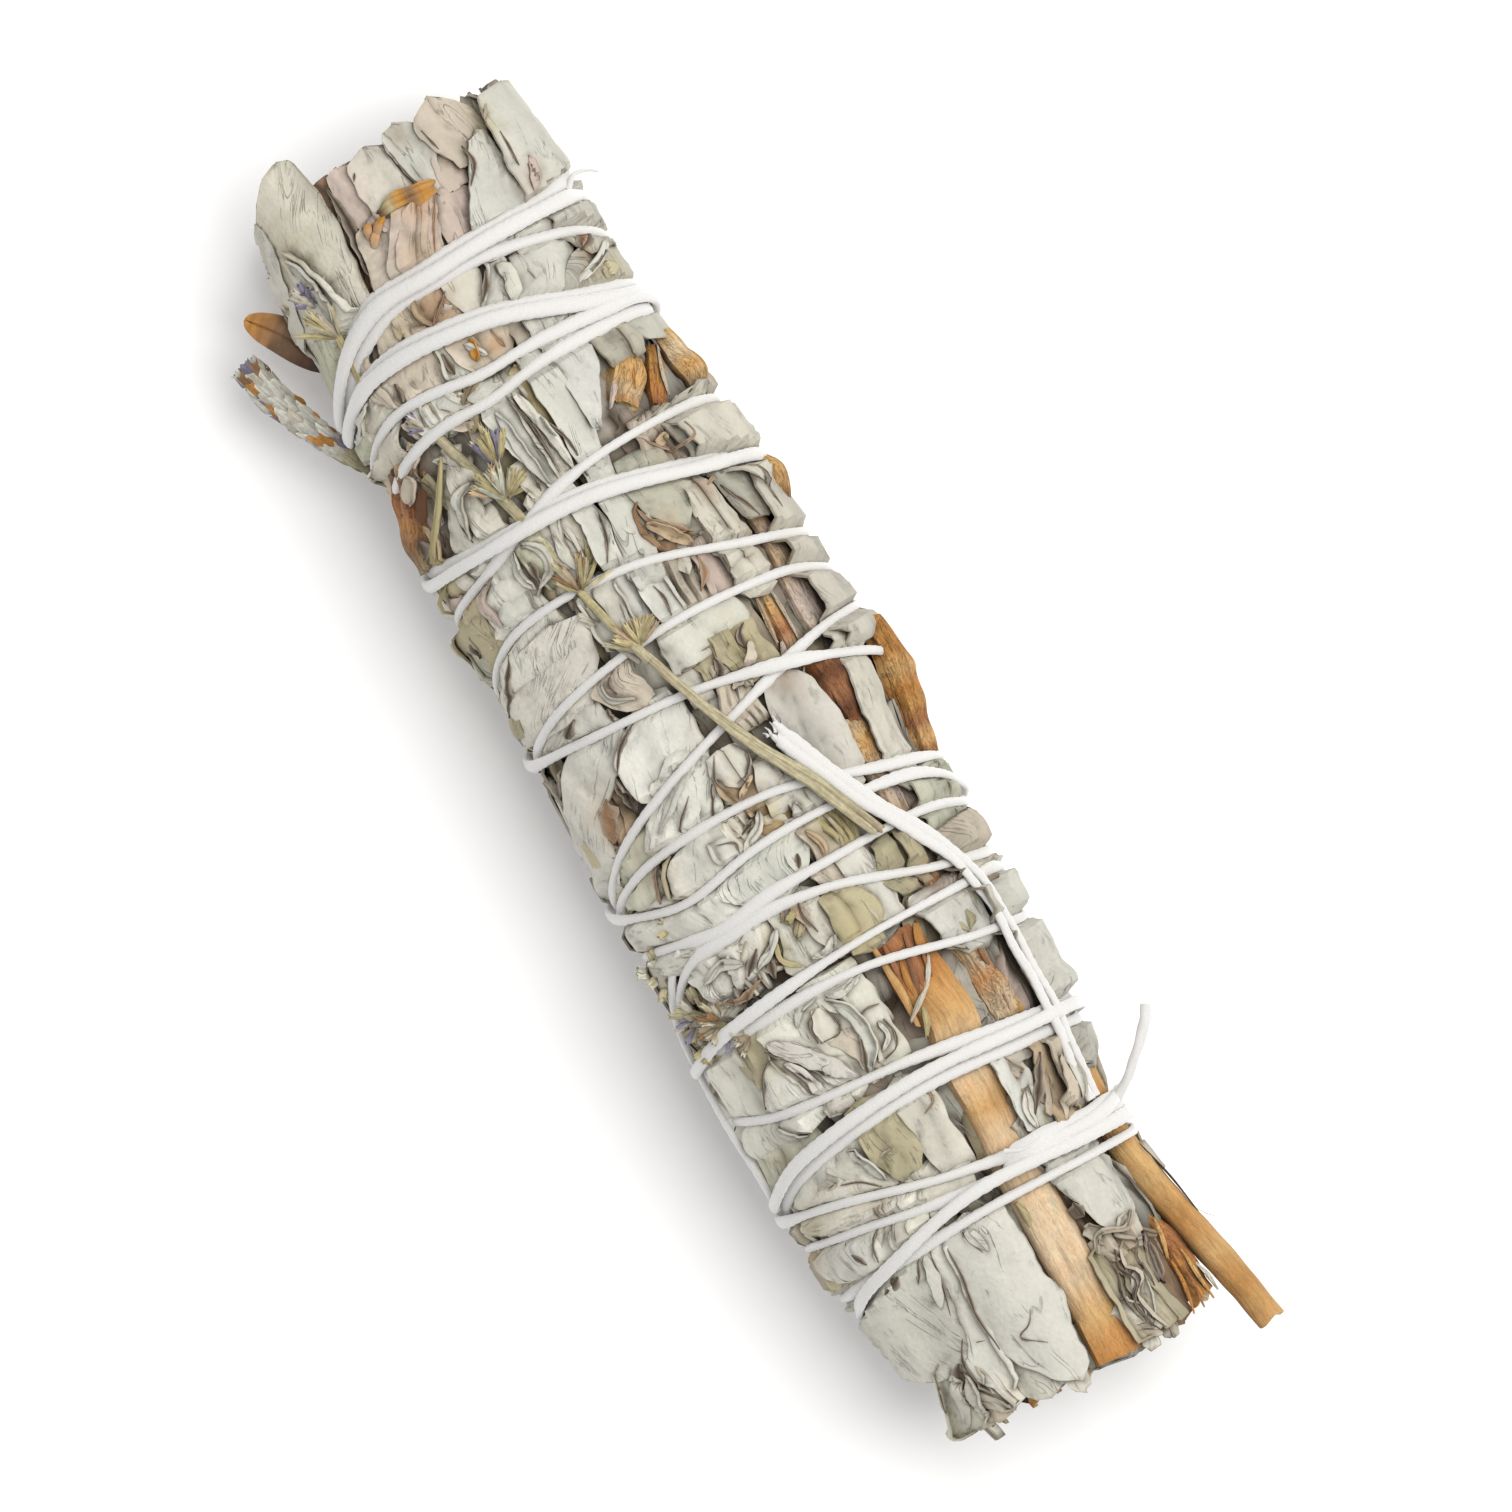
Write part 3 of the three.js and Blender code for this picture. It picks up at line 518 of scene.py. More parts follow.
def folds(x, s, random, count, strength):
    """Height of a few sharp folds and of flat facets, in mm, over places x, s."""
    total = np.zeros_like(x)
    low_x, high_x, low_s, high_s = x.min(), x.max(), s.min(), s.max()
    for _ in range(count):
        turn = random.normal(0, 0.2)
        from_x, from_s = random.uniform(low_x, high_x), random.uniform(low_s, high_s)
        along = (x - from_x) * math.cos(turn) + (s - from_s) * math.sin(turn)
        across = (s - from_s) * math.cos(turn) - (x - from_x) * math.sin(turn)
        across = across + 0.22 * np.sin(along / random.uniform(0.9, 2.2) + random.uniform(0, 6))
        size = strength * random.uniform(0.3, 1.0) * random.choice((-1, -1, 1))
        width, length = random.uniform(0.22, 0.45), random.uniform(3.0, 11.0)
        total += size * np.exp(-np.abs(across) / width) * np.exp(-(along / length) ** 2)
    for low, high, share in ((6.0, 11.0, 0.45), (3.5, 7.0, 0.28), (1.6, 3.0, 0.14)):
        turn = random.normal(math.pi / 2, 0.5)
        wave = random.uniform(low, high)
        line = x * math.cos(turn) + s * math.sin(turn)
        bend = 0.5 * np.sin(x / random.uniform(2.0, 4.0) + random.uniform(0, 6))
        total += share * strength * zigzag((line + bend) / wave + random.uniform(0, 2))
    return total


def pressed(x, degrees, depth, height):
    """The depth of a leaf's points, once the string is pulled tight over them."""
    gap = string_gap(x, degrees)
    near = np.exp(-(gap / PRESS_WIDTH) ** 2)
    result = depth - height * (1 - PRESS_FLATTENS * near) + PRESS_DEPTH * near
    return np.maximum(result, highest_beside(gap))


def highest_beside(gap):
    """The depth above which nothing rises, at a distance from the nearest strand."""
    return STRING_FLOOR - FREE_RISE * np.clip((gap - RISE_FROM) / RISE_OVER, 0, 1) ** 1.5


def upper_share(points):
    """How much each point belongs to the upper face, from 0 to 1."""
    return np.clip((points[:, 2] - UPPER_FROM) / UPPER_OVER, 0, 1)


# Stains that leaves get while they dry: x, y, radius, tone, strength.
STAINS = (
    (-60.0, 12.4, 1.6, "pink", 0.6), (-67.6, 11.6, 1.2, "straw", 0.6), (-70.6, 3.4, 0.9, "brown", 0.5),
    (-68.5, -3.4, 2.6, "pink", 0.6), (-66.6, -12.3, 2.6, "olive", 0.6), (-70, 8.4, 2.2, "beige", 0.6),
    (-58.6, -0.4, 2.2, "tan", 0.6), (-63.8, 1.6, 1.2, "orange", 0.5), (-53.5, -2.2, 1.9, "red", 0.5),
    (-54.0, -5.0, 1.8, "tan", 0.5), (-55.2, -11.4, 1.6, "straw", 0.5), (-50.6, 13.6, 1.0, "brown", 0.6),
    (-48.6, 14.6, 1.8, "olive", 0.7), (-48.6, 0.2, 1.6, "tan", 0.5), (-47.8, 1.2, 0.8, "orange", 0.5),
    (-40, -13.6, 2.4, "brown", 0.4), (-30.5, 10.2, 1.8, "brown", 0.4), (-25.0, 11.4, 1.0, "brown", 0.6),
    (-23.2, 6.2, 1.6, "tan", 0.6), (-18.4, 13.6, 1.8, "tan", 0.5), (-11.6, 14.0, 1.6, "pink", 0.7),
    (-9.6, 6.4, 1.8, "straw", 0.5), (-4.4, 8.4, 1.2, "brown", 0.5), (-3.6, -0.4, 1.4, "straw", 0.5),
    (-1.5, -13.6, 2.2, "tan", 0.6), (0.6, 2.6, 1.2, "beige", 0.5), (3.6, -1.0, 1.8, "tan", 0.5),
    (6.6, 0.4, 1.4, "straw", 0.6), (10.4, 3.8, 1.6, "straw", 0.5), (6.0, -12.4, 1.6, "brown", 0.4),
    (19.0, 2.6, 2.0, "olive", 0.6), (20.5, 0.8, 1.6, "straw", 0.6), (20.0, 10.8, 1.6, "brown", 0.6),
    (16.0, -2.6, 0.9, "orange", 0.6), (18.0, -6.2, 1.4, "straw", 0.6), (26.6, -13.4, 2.0, "olive", 0.5),
    (40.0, -6.8, 2.2, "olive", 0.5), (45.0, -11.0, 1.5, "tan", 0.3), (43.0, -17.6, 1.6, "straw", 0.5),
    (37.0, -16.4, 1.1, "olive", 0.8), (39.6, 8.6, 1.5, "pink", 0.5), (60.8, 8.4, 1.2, "brown", 0.5),
    (69.6, -10.2, 1.6, "olive", 0.4), (66.6, 6.4, 3.0, "grey", 0.5), (46.6, -19.0, 1.4, "brown", 0.4),
)
# Hollows between the leaves, where shade falls, are painted darker as painted shade: x, y, radius.
HOLLOWS = (
    (-53.4, 3.2, 1.2), (-62.8, -6.0, 1.4), (-65.2, 8.0, 0.8), (-61.6, 7.6, 0.7), (-43.6, 10.6, 0.7),
    (-34.2, -15.2, 1.4), (-35.4, 7.2, 1.0), (-26.4, 5.4, 1.2), (-20.4, 14.0, 0.6), (-28.0, 1.4, 0.8),
    (-10.2, 7.0, 0.8), (-9.4, 2.6, 1.2), (-19.0, -14.2, 1.4), (-11.6, -11.8, 0.9), (-8.4, -15.6, 1.2),
    (-3.2, -11.2, 1.7), (-6.2, -9.8, 0.7), (-1.6, 10.0, 0.8), (9.6, -8.6, 0.7), (11.8, 0.2, 0.8),
    (19.4, -7.6, 1.5), (20.0, -11.0, 1.1), (28.4, 0.2, 1.6), (31.4, -3.6, 0.8), (29.4, -14.2, 1.2),
    (27.0, -11.0, 0.8), (43.4, 8.4, 1.5), (34.2, 7.6, 0.8), (40.0, -12.6, 0.7), (47.2, 0.2, 0.8),
    (52.6, -13.2, 1.0), (53.2, -6.9, 0.8), (63.2, -12.0, 1.2), (60.8, 9.6, 0.8), (55.4, 5.6, 1.0),
    (66.4, 5.0, 1.0), (45.4, 6.4, 0.7), (-56.2, 12.8, 0.7), (17.2, -8.8, 1.0), (-50.6, -4.6, 0.7),
)
HOLLOW_FROM = 0.9  # no leaf above this depth is darkened


def leaf_colours(tone, x, y, upper, depth, relief, rim, random):
    """Each point's colour: its leaf's tone, stained, browner at its dried rim, and painted shade: darker on
    the side that faces the light, along the rim, in folds, in hollows and far down.
    """
    shade = 1 + SHADE_VARIETY * random.normal()
    warm = np.array((1 + 0.008 * random.normal(), 1.0, 1 + 0.015 * random.normal()))
    # Painted shade on the upper face, darker towards the +Y side that faces the light.
    painted_side_shade = 1 - PAINTED_SHADE_BY * np.clip(y / 14, -0.6, 1) * upper
    colour = TONES[tone][None, :] * shade * warm * painted_side_shade[:, None]
    ripple = 1 + 0.3 * np.sin(x * 1.7 + y * 2.3 + random.uniform(0, 6)) * np.cos(y * 1.9 - x * 0.8)
    for stain_x, stain_y, radius, stain, strength in STAINS:
        far = np.hypot((x - stain_x) / 1.4, y - stain_y) / (radius * ripple)
        amount = (strength * np.exp(-far ** 2) * upper)[:, None]
        colour = colour * (1 - amount) + TONES[stain] * amount
    patchy = 0.5 + 0.5 * np.sin(x / random.uniform(1.2, 2.6) + random.uniform(0, 6))
    # A browner, darker rim: its dried margin, and painted shade along the edge.
    rim = (rim * random.uniform(0.15, 0.8) * (0.35 + 0.65 * patchy))[:, None]
    colour = colour * (1 - rim) + DRY_RIM_AND_SHADE_TONE * rim
    # Painted shade in the folds, and a little painted light on their ridges.
    colour = colour * (1 + 0.6 * np.clip(relief, -0.6, 0.12))[:, None]
    # Painted shade far down in the roll, and in the hollows between the leaves.
    deep_shade = np.clip((depth - DEEP_SHADE_FROM) / (DEEP_SHADE_FULL - DEEP_SHADE_FROM), 0, 1) ** 0.8
    for hollow_x, hollow_y, radius in HOLLOWS:
        far = np.hypot((x - hollow_x) / 1.5, y - hollow_y) / (radius * ripple)
        deep_shade = np.maximum(deep_shade,
                            np.clip((depth - HOLLOW_FROM) * 3, 0, 1) * np.clip(1.5 - far, 0, 1) * upper)
    deep_shade = deep_shade[:, None]
    return np.clip(colour * (1 - deep_shade) + DEEP_SHADE_TONE * deep_shade, 0.01, 0.95)


EDGE_BENT = 0.3  # how far an edge follows a smooth line through its rows, and not straight bits
UNDER_REACH = 0.32  # how far deeper leaves go on under their neighbours, for each mm of depth
UNDER_LEAST = 0.35
UNDER_MOST = 1.0  # mm
TYPICAL_HALF = 2.6  # mm, half the width of a leaf whose folds are as deep as given
FOLD_SHARES = (0.45, 1.1)
TORN_ENDS = 0.34  # mm
GOES_ON = 0.8  # mm that most leaves go on under the next one at both ends
GOES_DOWN = 1.2
FREE_ENDS_FROM = 60.0
SHALLOWEST = 0.12  # depth of the highest leaves, except along the two sides
SIDES_FROM = 11.5


def lay_leaf(shape, rows, depth, tone, seed, crumple=0.36, wave=0.13, by_angle=False, raised=0.0):
    """One leaf on the roll: its points, faces and colours, and how far along and across it each point is.

    All lengths are in mm. The leaf gets the painted shade of a leaf that lay raised mm higher.
    """
    random = np.random.default_rng(seed)
    if not by_angle and abs(rows[0][1] + rows[0][2]) / 2 < SIDES_FROM:
        depth = max(depth, SHALLOWEST)
    rows = np.array([list(row) + [depth] * (4 - len(row)) for row in rows], float)
    if not by_angle and seed % 3 and max(abs(rows[0, 0]), abs(rows[-1, 0])) < FREE_ENDS_FROM:
        before, after = rows[0] + (-GOES_ON, 0, 0, GOES_DOWN), rows[-1] + (GOES_ON, 0, 0, GOES_DOWN)
        rows = np.concatenate(([before], rows, [after]))
    along = shape["along"]
    x = rows[0, 0] + (rows[-1, 0] - rows[0, 0]) * along
    depth_here = smooth_through(rows[:, 0], rows[:, 3], x)
    edges = rows[:, 1:3] if by_angle else np.stack(
        [angle_at(rows[:, 0], rows[:, k], rows[:, 3]) for k in (2, 1)], axis=1)
    low, high = (EDGE_BENT * smooth_through(rows[:, 0], edges[:, k], x)
                 + (1 - EDGE_BENT) * np.interp(x, rows[:, 0], edges[:, k]) for k in (0, 1))
    half_width = section(x)[1]
    half_angle = (high - low) / 2
    if not by_angle:
        under = np.clip(UNDER_REACH * (UNDER_LEAST + depth), 0, UNDER_MOST)
        half_angle = half_angle + np.sign(half_angle) * np.degrees(under / half_width)
    half_mm = np.radians(np.abs(half_angle)) * half_width
    for side in (-1, 1):
        wobble = sum(wave / k * zigzag(x / (random.uniform(1.4, 3.2) / k) + random.uniform(0, 2))
                     for k in (1, 2))
        edge_part = np.clip(shape["across"] * side, 0, None) ** 2
        half_angle = half_angle + np.degrees(wobble * edge_part / half_width)
    flip = random.choice((-1, 1)) if by_angle else (1 if seed % 2 else -1)
    degrees = (low + high) / 2 + flip * shape["across"] * half_angle
    end_part = (np.abs(along - 0.5) * 2) ** 8
    torn = zigzag(shape["across"] * random.uniform(0.7, 1.3) + random.uniform(0, 2))
    torn = torn + 0.4 * zigzag(shape["across"] * random.uniform(1.8, 3.2) + random.uniform(0, 2))
    x = x + TORN_ENDS * torn * end_part
    s = np.radians(degrees) * half_width
    size = np.clip(np.median(half_mm) / TYPICAL_HALF, *FOLD_SHARES)
    relief = folds(x, s, random, int(4 + 6 * size), crumple * size)
    tilt = flip * random.uniform(0.06, 0.42) * shape["across"] + random.normal(0, 0.14) * (along - 0.5)
    height = shape["height"] * size + relief + tilt
    final = pressed(x, degrees, depth_here, height)
    points = on_bundle(x, degrees, final)
    rim = shape["edge"].astype(float)
    seen_y = points[:, 1] + ORIGIN[1]
    upper = upper_share(points)
    colours = leaf_colours(tone, x, seen_y, upper, final - raised, relief, np.clip(rim, 0, 1), random)
    own = np.stack((x + 40 * random.uniform(0, 20), shape["across"] * half_mm), axis=1)
    return points, shape["faces"], colours, own, (x, degrees, final, shape["edge"])


print("tones:", ", ".join(TONES))

# %% [markdown]
# ## The leaves that show
# These are the strips and tips of the upper face, one by one: tone, shape, depth, then the rows.

# %% Leaves at the tip end
SEEN_LEAVES = [
    ("light", "arched", -0.4, [(-70.6, 13.4, 16.6), (-70.2, 12.4, 17.6), (-68.6, 11.8, 18.1),
         (-66, 11.6, 18.2), (-62, 11.3, 18.2), (-56, 11.2, 18)]),
    ("light", "arched", 0.2, [(-67.2, 9.4, 11.2), (-65, 8.5, 11.5), (-62.5, 6.9, 11.4), (-60, 5.5, 11.3),
         (-55, 4.2, 11.5)]),
    ("beige", "arched", 0.7, [(-72.3, 7.0, 8.8), (-71.2, 5.8, 9.9), (-69.3, 5.4, 11.2), (-67.5, 6.2, 11.6),
         (-64.5, 7.4, 10.8)]),
    ("pink", "arched", 0.9, [(-67.8, 6.2, 7.4), (-66.8, 5.4, 8.2), (-65, 4.9, 8.4), (-63, 5.0, 7.5)]),
    ("pink", "arched", 0.9, [(-64.1, 3.6, 5.6), (-62.8, 2.8, 6.7), (-60.5, 2.7, 6.2), (-56, 2.4, 4.6)]),
    ("light", "arched", 0.6, [(-72, 2.8, 4.3), (-71, 2.2, 5.5), (-69, 2.2, 5.8), (-66, 2.8, 5.4),
         (-62.5, 3.3, 4.9)]),
    ("pale", "arched", 0.8, [(-71.2, -1.7, 1.4), (-70.2, -2.2, 2.1), (-67, -2.3, 2.6), (-63, -2.1, 2.7)]),
    ("pink", "arched", 1.0, [(-71.3, -4.1, -2.4), (-70, -4.7, -1.9), (-67, -4.5, -1.8), (-63, -4.0, -1.9)]),
    ("brown", "arched", 1.9, [(-71.3, -6.8, -5.0), (-69, -7.2, -4.2), (-64, -7.4, -3.9), (-58, -8.4, -5.0)]),
    ("pale", "arched", -0.3, [(-74.8, -8.9, -7.9), (-74, -10.1, -7.3), (-72, -11.8, -6.9),
         (-69.5, -13.5, -6.6), (-66, -14.6, -6.5), (-62.5, -15.4, -6.9), (-57, -15.8, -7.6)]),
    ("light", "curled", -0.6, [(-66.8, -12.4, -11.6), (-64, -12.9, -10.6), (-61, -13, -9.8),
         (-56, -13, -8.8)]),
    ("pink", "folded", 0.1, [(-64.4, 0.4, 3.7), (-62.5, -0.9, 3.1), (-60.5, -2.4, 1.9), (-56.5, -4.4, 0.4)]),
    ("pink", "folded", 0.6, [(-65, -3.6, -1.6), (-63, -4.2, -1.1), (-61, -4.6, -1.6), (-56.5, -5.8, -2.8)]),
    ("pale", "arched", -0.3, [(-59.6, 12.8, 18), (-57, 12.4, 18.6), (-53.5, 12.6, 18.2),
         (-50.5, 13.6, 17.6)]),
    ("pale", "arched", 0.5, [(-57, 8.8, 12.7), (-54.8, 8.0, 12.9), (-52.8, 7.6, 12.8), (-51.4, 8, 12)]),
    ("light", "arched", 0.2, [(-54.2, 6.8, 12), (-52.2, 5.9, 12.4), (-50, 5.3, 11.2), (-48, 4.8, 9.8),
         (-44.5, 4.8, 9.2)]),
    ("pale", "arched", -0.1, [(-52, 12.4, 15), (-50.5, 10.8, 17.2), (-48, 9.4, 17.8), (-43.5, 8.8, 17.4)]),
    ("light", "curled", 0.3, [(-55.2, 4.7, 6.2), (-53.6, 3.7, 6.1), (-52, 2.2, 5.6), (-50.4, 1.4, 4.6)]),
    ("pale", "arched", 0.9, [(-57, -0.4, 2.9), (-54.4, -0.3, 3.0), (-53, 0.2, 2.4), (-51.6, 0.6, 1.8)]),
    ("tan", "curled", 0.8, [(-57, -3.2, -0.3), (-54.4, -3.7, 0.3), (-52.8, -2.9, 1.1), (-51.2, -1.4, 1.4)]),
    ("beige", "folded", 0.7, [(-57, -6.3, -3.5), (-54.5, -6.1, -3.2), (-52.8, -5.9, -3.1),
         (-50.8, -5.7, -3.4)]),
    ("beige", "arched", 0.8, [(-57, -9.0, -6.0), (-54.5, -8.8, -5.9), (-52.8, -9.3, -5.7),
         (-50.8, -9.1, -5.7)]),
    ("olive", "arched", 1.6, [(-56.5, -11, -9), (-54, -11.2, -8.7), (-51.5, -10.8, -9.2)]),
    ("beige", "folded", 0.9, [(-50.6, -2.9, 2.8), (-48.8, -2.6, 3.1), (-47.3, -2.2, 2.6),
         (-45.8, -1.4, 1.8)]),
    ("beige", "arched", 1.1, [(-51, 2.8, 8.6), (-48.5, 3.1, 8.2), (-45.8, 3.4, 7.8)]),
    ("light", "curled", 0.6, [(-50.8, -4.0, -2.2), (-49, -4.0, -2.3), (-46, -4.6, -2.4)]),
    ("beige", "arched", 0.7, [(-51, -10.2, -5.0), (-49, -10.5, -4.8), (-47, -10.3, -5.4)]),
    ("light", "pleated", 0.9, [(-47.6, -9.8, -5.6), (-45.5, -9.8, -5.2), (-43.2, -9.4, -5.4)]),
    ("green", "arched", 0.0, [(-58, -15.4, -11.2), (-54, -16.4, -11.1), (-51, -17, -10.9), (-48, -17.6, -11),
         (-44.6, -17.6, -12.6)]),
    ("pale", "curled", -0.2, [(-52.4, -12.0, -10.3), (-49.5, -13.0, -10.2), (-47, -14.2, -11.3),
         (-43, -15.8, -12.6)]),
]

